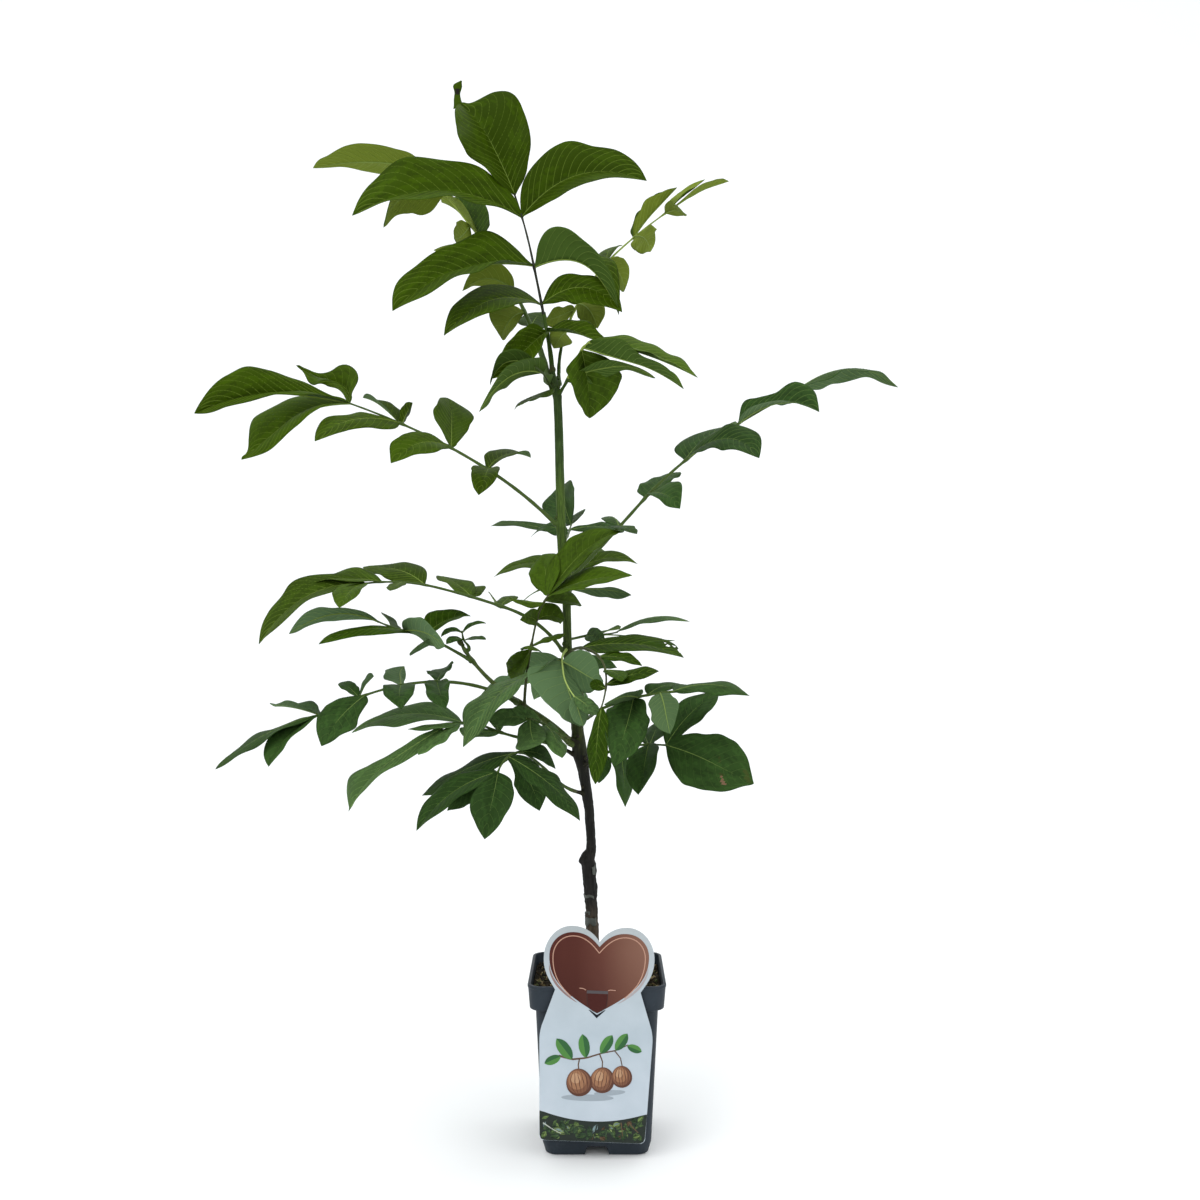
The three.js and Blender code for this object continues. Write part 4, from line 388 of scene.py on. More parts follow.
    "shoot_tip_leaf:1": ((-1.54, 0.304, -0.044, -0.001, -0.008, -0.019, 10.8, 14.3, 8.26, 13.9, 0.721, 2.48, 5.2, 3.96, 0.005), (1, 0.998, 0.992, 0.985, 0.987, 0.99), (1.09, 1.06, 1.02, 0.98, 0.971, 0.99)),
    "shoot_tip_leaf:2": ((-2.51, -0.175, -0.029, -0.005, 0.004, 0.021, -8.97, -1.62, -12.1, 14, 0.636, 2.38, 4.05, 1.8, -0.008), (0.899, 0.909, 0.942, 0.952, 0.961, 0.974), (1.01, 1.01, 1.01, 1.01, 1, 1)),
    "shoot_tip_leaf:3": ((-0.056, 0.327, 0.001, 0.009, 0, 0.016, -0.018, 1.68, 4.45, 13.9, 0.706, 2.28, 4.03, 4.82, 0.001), (0.99, 0.99, 0.991, 0.992, 0.995, 0.996), (0.995, 0.996, 0.994, 0.999, 0.997, 0.999)),
    "left_lower:0": ((1.37, 1.26, 0.015, 0.02, 0.066, -0.011, -17.1, -2.99, 12.3, 7.14, 1.2, 2.23, 2.9, 6.02, 0), (1.01, 0.998, 0.957, 0.907, 0.99, 0.997), (0.977, 0.966, 0.978, 1, 0.992, 0.98)),
    "left_lower:1": ((-8.42, -2.15, -0.023, -0.004, 0.095, 0.019, -5.62, 8.71, 6.31, 19.7, 0.86, 1.84, 0.933, 2.01, -0.001), (1.07, 0.961, 0.874, 0.913, 1.04, 0.998), (0.856, 0.896, 1.05, 1.24, 1.21, 1)),
    "left_lower:2": ((-3.06, -4.47, 0.076, 0.057, -0.023, -0.014, -21.1, 14.6, -26.3, 0.154, 1.63, 1.62, 5.24, 3.6, 0), (1.18, 1.23, 1.02, 0.918, 0.919, 0.925), (1.09, 1.19, 1.12, 0.929, 0.962, 0.973)),
    "left_lower:3": ((-0.043, -0.028, -0.043, -0.001, -0.016, 0.063, -13.5, -5.26, 23.1, 11.8, 0.731, 2.07, 4.13, 4.61, 0.001), (0.917, 0.784, 0.847, 1.1, 0.832, 0.876), (1.04, 1.09, 1.12, 1.1, 0.961, 0.932)),
    "left_lower:4": ((-3.22, 2.66, -0.025, 0.045, -0.012, -0.009, -6.81, 11.2, -1.75, 14, 0.709, 3.48, 0.149, 1.61, 0.011), (0.857, 0.784, 0.943, 0.955, 0.961, 0.974), (0.763, 0.839, 0.85, 0.877, 0.995, 0.995)),
    "left_lower:5": ((-4, -0.758, -0.095, 0.02, 0.003, 0.036, 4.63, 14.3, 23, 15, 0.337, 2.98, 6.28, 2.66, 0.017), (1.08, 1.11, 1.09, 1.06, 1.03, 1), (1.01, 0.959, 0.858, 0.916, 0.952, 0.966)),
    "left_lower:6": ((-0.027, -0.489, -0.01, -0.012, 0.026, 0.051, 7.2, 6.39, -17.3, 12.5, 0.622, 2.34, 0.523, 2.33, 0.013), (0.981, 0.966, 0.972, 0.967, 0.979, 0.988), (1.05, 1.05, 0.976, 0.923, 0.805, 0.656)),
    "left_lower:7": ((0.021, -1.49, -0.029, 0.001, 0.057, 0.051, 0.066, 20.5, 19.8, 22, 1.11, 2.07, 5.65, 3.24, 0.003), (0.925, 0.861, 0.74, 0.611, 0.726, 0.877), (0.865, 0.952, 0.936, 0.912, 0.962, 0.946)),
    "left_lower:8": ((1.84, 2.38, -0.005, 0.001, 0.034, 0.112, 19.2, 0.143, -2.85, 27.9, 1.23, 3.11, 5.43, 0, -0.036), (1.18, 1.03, 0.947, 0.734, 0.778, 0.948), (1.28, 1.16, 1, 1.08, 1.19, 1)),
    "left_lower:9": ((6.64, -5.69, 0.007, -0.004, -0.049, -0.046, -37.5, -2.17, -8.6, 15.1, 1.3, 3.21, 5.09, 3.45, 0.043), (1.04, 1.03, 1.07, 1.05, 0.974, 0.909), (0.88, 0.765, 0.915, 0.952, 0.978, 0.987)),
    "left_low_long:0": ((14.8, 13.2, 0.0456, 0.0146, 0.0536, 0.123, 52.6, 6.45, -15.6, 26.6, 1.34, 1.66, -0.000863, -0.00175, -0.0471), (1, 0.623, 0.426, 0.558, 0.838, 0.3), (0.3, 0.305, 0.477, 0.63, 1.75, 2.2)),
    "left_low_long:1": ((-3.46, 0.023, 0.023, -0.025, 0.017, 0.014, -8.54, -0.855, -0.24, 18, 1.2, 1.59, 5.99, 4.26, 0), (0.954, 1.16, 1.3, 1.17, 1.04, 1), (1.15, 1.12, 1.01, 1.03, 0.754, 0.87)),
    "left_low_long:2": ((1.23, -1.62, -0.002, 0.004, -0.038, -0.015, -0.454, -8.66, 9.15, 11.8, 0.878, 1.88, 1.69, 5.96, -0.016), (1, 1, 1.01, 1, 1, 1), (0.979, 0.972, 0.983, 0.983, 0.99, 0.994)),
    "left_low_long:3": ((-1.56, 0.132, 0.048, -0.013, 0.015, -0.05, -12.2, -6.43, -2.9, 16.4, 1.25, 2.9, 6.28, 3.34, 0.027), (0.944, 1.01, 1.03, 0.991, 0.858, 0.945), (1.04, 1.08, 1.02, 0.958, 0.976, 0.984)),
    "left_low_long:4": ((-1.1, 6.49, 0.06, -0.062, 0.09, 0.017, -6.6, -4.58, 0.899, 18.6, 0.282, 2.46, 5.02, 1.71, -0.055), (0.91, 0.942, 0.856, 0.842, 0.907, 0.927), (1.05, 1.02, 1.05, 1.1, 1.1, 0.996)),
    "left_low_long:5": ((2.97, -0.175, 0.098, 0.001, -0.054, 0.027, -10.5, 11.2, 4.73, 12.4, 0.776, 2.87, 5.76, 5.73, 0.14), (1.17, 1.13, 1.13, 1.14, 1.09, 0.977), (0.996, 0.972, 0.899, 0.945, 0.948, 0.926)),
    "low_left_near:0": ((0.252, -0.379, 0.057, 0.025, -0.009, 0.008, 1.38, -3.36, 1.46, 14.1, 0.858, 2.13, 1.27, 3.56, -0.005), (1.04, 1.03, 0.967, 0.94, 0.977, 1), (0.908, 0.879, 0.836, 0.904, 0.977, 0.983)),
    "low_left_near:1": ((-0.075, -4.14, -0.002, 0.001, -0.001, -0.013, 0.195, -4.52, 21.7, 13.7, 0.803, 2.63, 2.43, 2.12, -0.021), (1, 1, 1, 1.01, 1, 1), (0.947, 0.917, 0.902, 0.941, 0.963, 0.977)),
    "low_left_near:2": ((0.027, -7.48, -0.061, -0.032, 0.047, -0.05, 20.3, -2.04, 45, 15, 0.26, 2.1, 1.47, 0.752, -0.152), (1.11, 1.12, 1.09, 1.04, 1, 0.96), (1.3, 1.11, 1.16, 1.45, 1.2, 1)),
    "low_left_near:3": ((-1.65, -0.782, 0.007, 0.006, 0.012, -0.008, 13.3, -16.5, 2.85, 12.9, 0.766, 2.83, 2.59, 1.55, 0.009), (0.951, 0.924, 0.945, 1.02, 1.02, 1), (1.03, 1.03, 1.02, 1.01, 0.956, 0.962)),
    "low_left_near:4": ((5.12, -8.25, -0.024, -0.002, -0.007, 0.034, -6.33, -14.9, -19.1, 14.7, 0.679, 2.26, 2.66, 4.33, -0.035), (1, 0.999, 0.994, 0.991, 0.993, 0.989), (0.998, 1, 1, 0.998, 1, 1)),
    "low_left_hanging:0": ((-0.008, -1.78, -0.022, 0.04, 0.02, 0.113, 7.42, 9.93, 15.7, 19.8, 1.05, 1.81, 4.62, 2.01, 0.007), (1.12, 1.18, 1.28, 1.14, 1.06, 1), (0.734, 0.861, 1.05, 1.22, 0.992, 0.924)),
    "low_left_hanging:1": ((2, 1.94, -0.016, 0.01, -0.033, -0.002, 0.679, -14.1, 1.89, 18.7, 1.1, 1.99, 1.73, 3.37, -0.004), (0.911, 0.931, 0.968, 0.961, 0.91, 0.92), (1.03, 0.975, 0.891, 0.774, 0.979, 0.974)),
    "low_left_hanging:2": ((-0.866, -0.483, 0.015, -0.026, 0.004, -0.003, 3.84, -1.29, 1.26, 14.1, 0.755, 2.42, 0.555, 1.52, 0.008), (1.01, 1.02, 1.02, 1.01, 0.933, 0.84), (0.987, 0.982, 0.963, 0.942, 0.954, 0.967)),
    "low_left_hanging:3": ((-2.05, 4.1, 0.005, 0.001, -0.007, 0.055, -9.28, -3.41, 4.59, 11.7, 1.19, 2.38, 0.832, 5.74, -0.002), (1.06, 1.08, 1.07, 0.81, 0.823, 0.871), (0.847, 0.804, 0.908, 0.985, 1, 0.999)),
    "low_left_hanging:4": ((-3.34, -1.83, -0.044, 0.066, 0.002, -0.027, 1.38, -3.98, 31.7, 8.83, 1.12, 1.85, 0, 0.23, 0.004), (1.06, 1.09, 1.14, 1.11, 1.11, 1), (0.522, 0.618, 1.04, 1.05, 0.998, 0.999)),
    "low_left_hanging:5": ((-2.72, 1.14, 0.008, 0.001, 0.069, -0.024, -5.12, -9.48, -24, 14.9, 0.695, 2.43, 4.7, 2.99, -0.008), (1.04, 1.04, 1.06, 1.07, 1.06, 1), (1.01, 1.01, 1, 1, 0.995, 0.994)),
    "low_left_hanging:6": ((1.14, 0.093, -0.037, -0.022, -0.068, -0.021, 17.4, -2.69, -12.1, 22, 0.521, 2.44, 3.68, 0.432, 0.081), (1.02, 1.1, 1.2, 1.29, 1.11, 0.99), (0.873, 0.902, 0.956, 0.934, 0.933, 0.909)),
    "front:0": ((29.3, 8, 0.0546, 0.0859, 0.0569, -0.0349, -6.69, -20, 25.2, 10.8, 1.34, 1.42, 2.57, 1.13, 0.0144), (1.22, 1.36, 1.2, 0.969, 0.949, 1.37), (0.31, 0.405, 0.501, 0.618, 0.838, 0.803)),
    "front:1": ((-0.781, 0.996, -0.001, 0.001, -0.029, 0.019, 1.55, 0.365, 2.7, 13.9, 0.705, 2.29, 2.43, 2.54, 0.011), (1.01, 1.01, 1.01, 1, 0.995, 0.985), (1, 1.01, 1, 1, 0.998, 0.99)),
    "front:2": ((-0.657, 4.9, -0.029, -0.016, -0.093, 0.103, -32.4, 4.48, -39.4, 14.4, 1.1, 3.07, 6.17, 5.2, 0.02), (0.853, 0.644, 0.79, 0.841, 0.854, 0.814), (1.28, 1.2, 1.22, 1.22, 1.24, 0.922)),
    "front:3": ((-1.85, -4.63, -0.014, -0.018, 0.031, 0.011, 3.46, -0.998, 0.977, 12.7, 0.55, 2.37, 6.28, 3.62, -0.026), (0.993, 1, 0.984, 0.949, 0.989, 0.985), (1, 0.974, 0.978, 0.968, 0.987, 0.992)),
    "front:4": ((-0.073, 0.078, -0, 0.001, 0.001, 0.015, -0.057, -0.017, 0.033, 14.1, 0.708, 2.3, 3.01, 3.09, -0.001), (0.999, 0.996, 0.998, 0.998, 0.995, 0.996), (0.993, 0.996, 0.997, 0.996, 0.999, 0.999)),
    "right_middle:0": ((0.83, -1.07, 0.018, 0.027, -0.04, 0.004, -18.6, 5.13, 7.28, 12.1, 0.15, 3.02, 6.12, 6.28, -0.003), (0.797, 0.722, 0.886, 0.995, 1.12, 0.857), (1.29, 1.22, 1.08, 0.914, 0.82, 0.851)),
    "right_middle:1": ((3.43, 5.71, -0.009, -0.028, 0.009, 0.093, -7.2, 5.78, -1.93, 15.2, 0.901, 2.57, 3.8, 3.96, 0.014), (0.995, 1.01, 0.992, 0.998, 0.986, 0.986), (0.947, 0.93, 0.891, 0.887, 0.931, 0.945)),
    "right_middle:2": ((2, 4.2, 0.027, 0.046, -0.015, 0.049, -0.055, 1.3, 15.2, 14.1, 0.732, 2, 2.56, 2.27, 0), (1.06, 1.07, 1.05, 1.05, 1.03, 0.995), (0.961, 0.963, 0.972, 0.988, 1, 0.991)),
    "right_middle:3": ((1.53, 0.166, -0.057, 0.008, -0.01, 0.014, 0.671, 2.26, -0.53, 14.5, 0.594, 2.88, 0.697, 3.13, 0), (0.901, 0.889, 0.881, 0.956, 0.981, 0.999), (0.976, 1.01, 1.01, 0.976, 0.999, 1)),
    "right_middle:4": ((1.13, -0.245, 0.005, 0, 0.004, 0.011, 0.424, 3.58, -3.88, 14, 0.702, 2.25, 3.12, 0, -0.001), (0.99, 0.994, 0.996, 0.996, 0.999, 1), (0.988, 0.988, 0.99, 0.994, 1, 0.996)),
    "right_middle:5": ((1.65, -0.698, 0.011, 0.003, -0.003, 0.002, -0.727, -0.875, -7.6, 14.8, 0.72, 2.1, 2.62, 1, -0.01), (1.01, 1, 1, 0.999, 0.999, 1), (1, 0.999, 1, 1, 1, 1)),
    "right_thin:0": ((-3.64, 2.59, 0.041, 0.028, -0.026, 0, -5.63, -10.1, -3.79, 8.85, 0.631, 2.25, 3.43, 2.4, -0.001), (1.02, 1.02, 1.01, 0.999, 1, 1), (1.01, 1, 0.999, 0.994, 0.978, 0.984)),
    "right_thin:1": ((1.71, -6.98, -0.011, -0.011, -0.011, -0.05, -2.22, -2.43, -16, 11.4, 0.776, 2.01, 5.96, 5.33, -0.021), (1.01, 0.996, 0.998, 1.01, 0.987, 0.996), (0.997, 0.994, 1, 0.998, 0.995, 0.987)),
    "right_thin:2": ((3.41, -3.98, -0.005, 0.029, -0.022, -0.01, -1.82, 6.88, -18.9, 11.4, 0.938, 2.54, 2.55, 0.389, 0), (1.01, 1.01, 1.03, 1.04, 0.985, 1), (1.03, 0.992, 1.01, 0.971, 0.939, 0.919)),
    "right_thin:3": ((-3, -3.51, 0.011, -0.017, 0.02, 0.014, -2.09, 7.45, 7.89, 14, 0.7, 2.32, 4.77, 3.96, -0.004), (0.984, 0.977, 0.944, 0.91, 0.937, 0.937), (0.985, 0.991, 1, 1, 0.997, 1)),
    "right_low:0": ((0.976, 2.49, -0.004, 0.006, -0.026, -0.014, 6.73, -8.84, -3.46, 11.1, 1.38, 1.85, 6.28, 3.83, -0.003), (1.08, 1.09, 1.14, 1.17, 1.16, 0.993), (1.2, 1.1, 1.05, 1.03, 1.01, 0.999)),
    "right_low:1": ((3.38, 5.1, 0.049, 0.029, -0.015, 0.073, -31.4, 1.77, -11.4, 2.05, 1.22, 2.62, 5.86, 0.72, 0), (1.22, 1.05, 1.19, 1.17, 1.13, 1), (1.14, 1.19, 1.24, 1.13, 1.06, 1)),
    "right_low:2": ((-3.13, 3.32, 0, -0.01, -0.024, -0.01, 22.2, -15.3, -27, 26.3, 0.672, 3.37, 2.13, 0.067, 0), (1.07, 1.02, 0.84, 0.932, 0.916, 0.939), (0.78, 0.705, 0.867, 0.962, 0.969, 0.98)),
    "right_low:3": ((0.038, -1.04, -0.024, 0.031, -0.035, -0.001, 4.74, -7.9, 44.1, 13.7, 0.812, 2.24, 3.81, 4.14, 0.016), (1.17, 1.19, 1.1, 1.03, 0.998, 0.973), (0.998, 0.992, 0.978, 0.965, 0.957, 0.96)),
    "right_low:4": ((3.16, 2.85, 0.018, 0.021, -0.029, 0.027, -2.3, 5.8, -37.2, 14.8, 0.494, 2.14, 2.86, 5.95, 0.051), (1.02, 1.06, 1.07, 1.04, 1.03, 0.997), (0.997, 0.997, 0.977, 0.985, 0.991, 0.987)),
    "right_low:5": ((5.52, -1.55, -0.033, 0.056, -0.075, -0.01, -3.26, -3.23, -5.24, 15.6, 0.791, 2.23, 3.4, 0.853, 0.048), (1.2, 1.25, 0.986, 0.909, 0.931, 0.932), (0.995, 1, 0.978, 0.863, 0.922, 0.89)),
    "right_low_big:0": ((0.195, -1.58, 0.005, 0.009, 0.069, 0.051, -1.59, -2.4, 0.077, 11.3, 0.699, 1.56, 6.01, 6.25, 0), (0.869, 0.869, 1.03, 1.1, 1.07, 1), (1.11, 1.17, 1.19, 1.06, 0.956, 0.719)),
    "right_low_big:1": ((-0.076, 0.451, -0.004, -0.001, -0.037, -0.015, 9.41, -2.5, -3.1, 13.4, 0.804, 2.26, 1.52, 2.94, 0.011), (1.08, 1.11, 1.05, 1.04, 1.01, 0.998), (1.04, 1.03, 1.02, 1.01, 0.996, 1)),
    "right_low_big:2": ((1.2, 1.55, 0, -0.019, -0.017, 0.018, -15, -4.71, -0.85, 14.4, 1.31, 2.12, 5.19, 0, 0.002), (0.961, 0.965, 0.962, 0.969, 0.941, 0.909), (1.02, 1.04, 1.04, 1.02, 0.997, 0.993)),
    "right_low_big:3": ((1.39, 0.389, -0.001, -0, 0, 0.01, 0.187, 2.14, 4.08, 13.1, 0.699, 2.36, 2.99, 2.9, 0.006), (1.01, 1.01, 1.02, 1.01, 1.01, 1), (0.995, 0.998, 0.998, 0.997, 0.998, 1)),
    "right_low_big:4": ((-2.72, 3.3, 0.001, 0.025, -0.018, 0.016, -0.501, 2.25, -8.16, 11.4, 0.705, 2.87, 2.67, 3.39, 0.005), (0.974, 0.972, 0.98, 0.982, 1.01, 1), (0.886, 0.831, 0.933, 0.977, 0.951, 0.958)),
    "right_low_big:5": ((0.002, 0.02, 0, 0, 0, 0.015, 0.088, 0, 0, 14, 0.69, 2.3, 3.01, 2.99, 0), (1, 1, 0.998, 0.999, 1, 1), (0.995, 0.995, 0.994, 0.994, 0.993, 0.995)),
    "right_low_big:6": ((0.949, 2.03, 0.005, 0.002, 0, 0.013, 0.03, 0.282, 4.01, 14, 0.706, 2.3, 1.27, 6.23, -0), (0.995, 0.993, 0.995, 0.996, 1, 0.998), (0.956, 0.976, 0.983, 0.993, 0.994, 0.997)),
    "back_lower:0": ((-3.46, -3.46, 0.009, -0.01, 0.074, 0.091, 1.48, 1.16, -1.48, 13.6, 0.688, 2.69, 3.1, 3.03, -0.002), (0.974, 0.967, 0.967, 0.976, 0.989, 1), (1.01, 1.01, 0.975, 0.935, 0.968, 0.975)),
    "back_lower:1": ((-0.779, 0.567, 0.07, 0.005, -0.007, 0.018, -2.64, 12.9, 21.6, 16.5, 0.698, 2.19, 0, 1.41, 0.085), (1.1, 1.14, 1.07, 1.02, 0.991, 0.992), (0.97, 0.97, 0.989, 1.02, 1.01, 1)),
    "back_lower:2": ((7.11, -3.31, -0.022, 0.021, -0.001, 0.015, 0.287, -1.13, 5.01, 14.2, 0.699, 2.41, 2.98, 4.73, -0.016), (1, 1, 0.999, 0.998, 0.996, 0.993), (0.988, 0.982, 0.974, 0.954, 0.961, 0.973)),
    "back_lower:3": ((2.02, 4.49, 0.018, 0.009, 0.009, -0.016, 0.382, 1.56, 0.337, 14.3, 0.725, 2.4, 4.63, 3.04, 0.013), (0.991, 0.995, 0.995, 0.99, 0.988, 1), (1.02, 1.01, 1.01, 1.01, 1, 1)),
    "back_lower:4": ((0.632, 11, 0.071, 0.013, -0.045, 0.001, 12.1, 1.96, 29.9, 13.9, 0.761, 2.49, 0.193, 4.37, 0.043), (1, 1, 1.01, 1, 0.999, 1), (0.98, 0.986, 0.987, 0.991, 0.99, 0.985)),
    "back_lower:5": ((-0.249, 0.075, -0.001, 0.003, -0.001, 0.015, -0.533, -0.073, -0.266, 13.6, 0.715, 2.27, 2.87, 2.78, 0.003), (1, 1, 0.993, 0.997, 1, 1), (0.991, 1, 0.999, 0.999, 1, 1)),
    "back_low:0": ((7.51, 0.43, 0.25, -0.007, 0.018, 0.04, 2.06, 2.81, 10.9, 13.1, 1.09, 2.38, 0.571, 6.28, 0.105), (1.06, 1.09, 1.1, 1.02, 1.02, 0.99), (1.07, 1.04, 1.01, 1.03, 0.994, 0.998)),
    "back_low:1": ((0.056, -1.25, -0.01, 0.004, 0, 0.01, -0.49, -2.94, 5.78, 14, 0.853, 2.34, 2.55, 4.93, -0.028), (1, 1, 1, 1, 1, 1), (0.997, 0.995, 0.994, 0.991, 0.999, 1)),
    "back_low:2": ((0.095, 4.18, -0, 0.001, 0, 0.015, 0.007, -0.358, 3.82, 13.8, 0.702, 2.3, 3.04, 2.78, 0.03), (0.998, 0.994, 0.994, 0.992, 0.993, 0.991), (1, 1.01, 1.01, 1, 1, 1)),
    "back_low:3": ((0.373, 4.56, -0.002, -0.002, -0.002, 0.015, 0.361, 1.82, 0.887, 15.3, 0.691, 2.37, 2.77, 2.45, 0.014), (1, 1, 1.01, 1.01, 1.01, 1), (1.01, 1.01, 1.01, 1.01, 1, 1)),
    "back_low:4": ((-0.031, -0.418, 0, 0, 0, 0.015, -0.176, 0, 0, 14, 0.698, 2.28, 2.97, 3.03, -0.011), (0.999, 1, 1, 0.999, 0.999, 1), (1, 1, 1, 1, 1, 1)),
}

# how single leaves and leaflets differ from the rule: rib colour and size, and a few holes, spots and tips
LOOKS = {
    "crown": {"rib": "dark", "foot": ("olive", 0.33, 1.6)},
    "crown:0": {"tongue": ((-4, -2.0, 9.0, -0.6), (0, -1.5, 8.0, -0.2), (5, -1.7, 6.3, 0.6), (9.5, -1.4, 5.2, 1.0), (12.5, -0.8, 5.0, 0.6), (15, -1.2, 6.0, 0.0),
                            (19, -2.4, 7.3, -0.8), (21.5, -1.4, 7.0, -1.2), (23.2, 1.6, 6.9, -1.2), (24.6, 5.0, 7.2, -1.2)), "tongue_black": (10.5, 15.5)},
    "back_left": {"rib": "yellow", "rib_size": 0.85, "foot": ("young", 0.45, 2.2)},
    "back_right": {"rib": "yellow", "rib_size": 0.85, "foot": ("olive", 0.2, 1.3)},
    "front_right_top": {"rib": "yellow", "rib_size": 1.1, "foot": ("olive", 0.25, 1.0)},
    "riser": {"rib": "brown", "rib_size": 0.9},
    "front": {"rib": "pale", "rib_size": 0.78},
    "right_middle": {"rib": "brown", "rib_size": 0.85},
    "right_middle:0": {"holes": ((0.79, 0.47, 2.3), (0.745, 0.62, 1.7), (0.83, 0.76, 2.2), (0.9, 0.93, 2.8))},
    "low_left_hanging": {"tone": -1},
    "right_low_big:0": {"spots": ((0.66, -0.19, 0.9, 3), (0.68, -0.27, 1.2, 3), (0.70, -0.39, 1.4, 0), (0.715, -0.47, 1.6, 0), (0.73, -0.55, 1.7, 0), (0.748, -0.64, 1.7, 0), (0.765, -0.73, 1.3, 0), (0.9, 0.4, 4.2, 2), (0.935, 0.15, 4.2, 2), (0.955, -0.2, 2.6, 2), (0.6, 0.12, 1.6, 3), (0.575, 0.3, 1.4, 3))},
}

# the plain greens, and the spray each is dealt to: a letter for its upper sides, then one for its undersides
UPPERS = {
    "b": (41, 63, 6),
    "c": (50, 70, 4),
    "d": (45, 69, 30),
    "e": (56, 77, 14),
    "i": (68, 93, 52),
    "j": (79, 108, 58),
}
UNDERS = {
    "p": (65, 88, 33),
    "r": (74, 97, 61),
    "s": (89, 110, 43),
    # t, dealt to the undersides of the back leaves, is a yellow green of painted light shining through them from behind
    "t": (104, 120, 38),
    "u": (86, 112, 74),
    "v": (103, 131, 76),
}
DEAL = {
    "crown": "cp",
    # the t of the two back leaves is painted light shining through their undersides
    "back_left": "bt",
    "back_right": "et",
    "front_right_top": "ep",
    "front_left_top": "ep",
    "left_upper": "cr",
    "right_upper": "dr",
    "back_upper": "dr",
    "back_middle": "er",
    "riser": "er",
    "left_middle": "es",
    "left_shoot_leaf": "bu",
    "shoot_tip_leaf": "dr",
    "left_lower": "du",
    "left_low_long": "jv",
    "low_left_near": "jv",
    "low_left_hanging": "dr",
    "front": "iu",
    "right_middle": "bp",
    "right_thin": "ip",
    "right_low": "dr",
    "right_low_big": "dr",
    "back_lower": "du",
    "back_low": "ju",
}

RIB_R = (2.0, 1.05)
RIB_STEPS = 24
OUTLINE = [(0, 0.03), (0.03, 0.17), (0.07, 0.36), (0.16, 0.65), (0.3, 0.9), (0.45, 1.0), (0.6, 0.985),
           (0.74, 0.86), (0.86, 0.6), (0.94, 0.3), (0.975, 0.13), (1, 0.012)]

# ------------------------------------------------------------------ small tools
def unit(v):
    v = np.asarray(v, float)
    return v / max(np.linalg.norm(v), 1e-12)


def heading(h, p):
    h, p = math.radians(h), math.radians(p)
    return np.array([math.cos(p) * math.cos(h), math.cos(p) * math.sin(h), math.sin(p)])


def smooth_rows(table, at):
    """Columns of a table against its first column, through a monotone cubic."""
    t = np.asarray(table, float)
    x, y = t[:, 0], t[:, 1:]
    h = np.diff(x)[:, None]
    d = np.diff(y, axis=0) / h
    m = np.zeros_like(y)
    same = d[:-1] * d[1:] > 0
    w1, w2 = 2 * h[1:] + h[:-1], h[1:] + 2 * h[:-1]
    with np.errstate(divide="ignore", invalid="ignore"):
        hm = (w1 + w2) / (w1 / d[:-1] + w2 / d[1:])
    m[1:-1] = np.where(same, hm, 0)
    m[0], m[-1] = d[0], d[-1]
    at = np.clip(np.asarray(at, float), x[0], x[-1])
    i = np.clip(np.searchsorted(x, at, side="right") - 1, 0, len(x) - 2)
    s = ((at - x[i]) / (x[i + 1] - x[i]))[..., None]
    hh = (x[i + 1] - x[i])[..., None]
    return ((1 + 2 * s) * (1 - s) ** 2 * y[i] + s * (1 - s) ** 2 * hh * m[i]
            + s * s * (3 - 2 * s) * y[i + 1] + s * s * (s - 1) * hh * m[i + 1])


def rib_line(foot, length, heads, pitches):
    line = [np.asarray(foot, float)]
    for i in range(RIB_STEPS):
        t = (i + 0.5) / RIB_STEPS * 3
        j = min(int(t), 2)
        f = t - j
        line.append(line[-1] + heading(heads[j] * (1 - f) + heads[j + 1] * f, pitches[j] * (1 - f) + pitches[j + 1] * f) * length / RIB_STEPS)
    return np.array(line)


def on_line(line, t):
    u = np.clip(np.asarray(t, float), 0, 1) * (len(line) - 1)
    i = np.minimum(u.astype(int), len(line) - 2)
    f = (u - i)[..., None]
    return line[i] * (1 - f) + line[i + 1] * f


def stem_at(z):
    i = int(np.clip(np.searchsorted([r[0] for r in STEM], z) - 1, 0, len(STEM) - 2))
    (z0, x0, d0), (z1, x1, d1) = STEM[i], STEM[i + 1]
    f = min(max((z - z0) / (z1 - z0), 0), 1)
    return np.array([x0 + (x1 - x0) * f, 0, z]), (d0 + (d1 - d0) * f) / 2


def foot_on(limb, at, az, pitch, r):
    mid, limb_r = limb(at)
    away = limb_r + 0.9 + r * abs(math.sin(math.radians(pitch)))
    return mid + np.array([math.cos(math.radians(az)) * away, math.sin(math.radians(az)) * away, 0])


def lumps(p, seed, sizes, n=7):
    """A smooth seeded field over points p: a sum of plane waves of the given sizes, about -1 to 1."""
    rng = np.random.default_rng(seed)
    p = np.asarray(p, float)
    out = np.zeros(p.shape[:-1])
    total = 0
    for size, amount in sizes:
        for _ in range(n):
            k = unit(rng.normal(size=3)) * 2 * math.pi / (size * rng.uniform(0.75, 1.4))
            out += amount * np.sin(p @ k + rng.uniform(0, 6.3)) / math.sqrt(n)
        total += amount
    return out / total


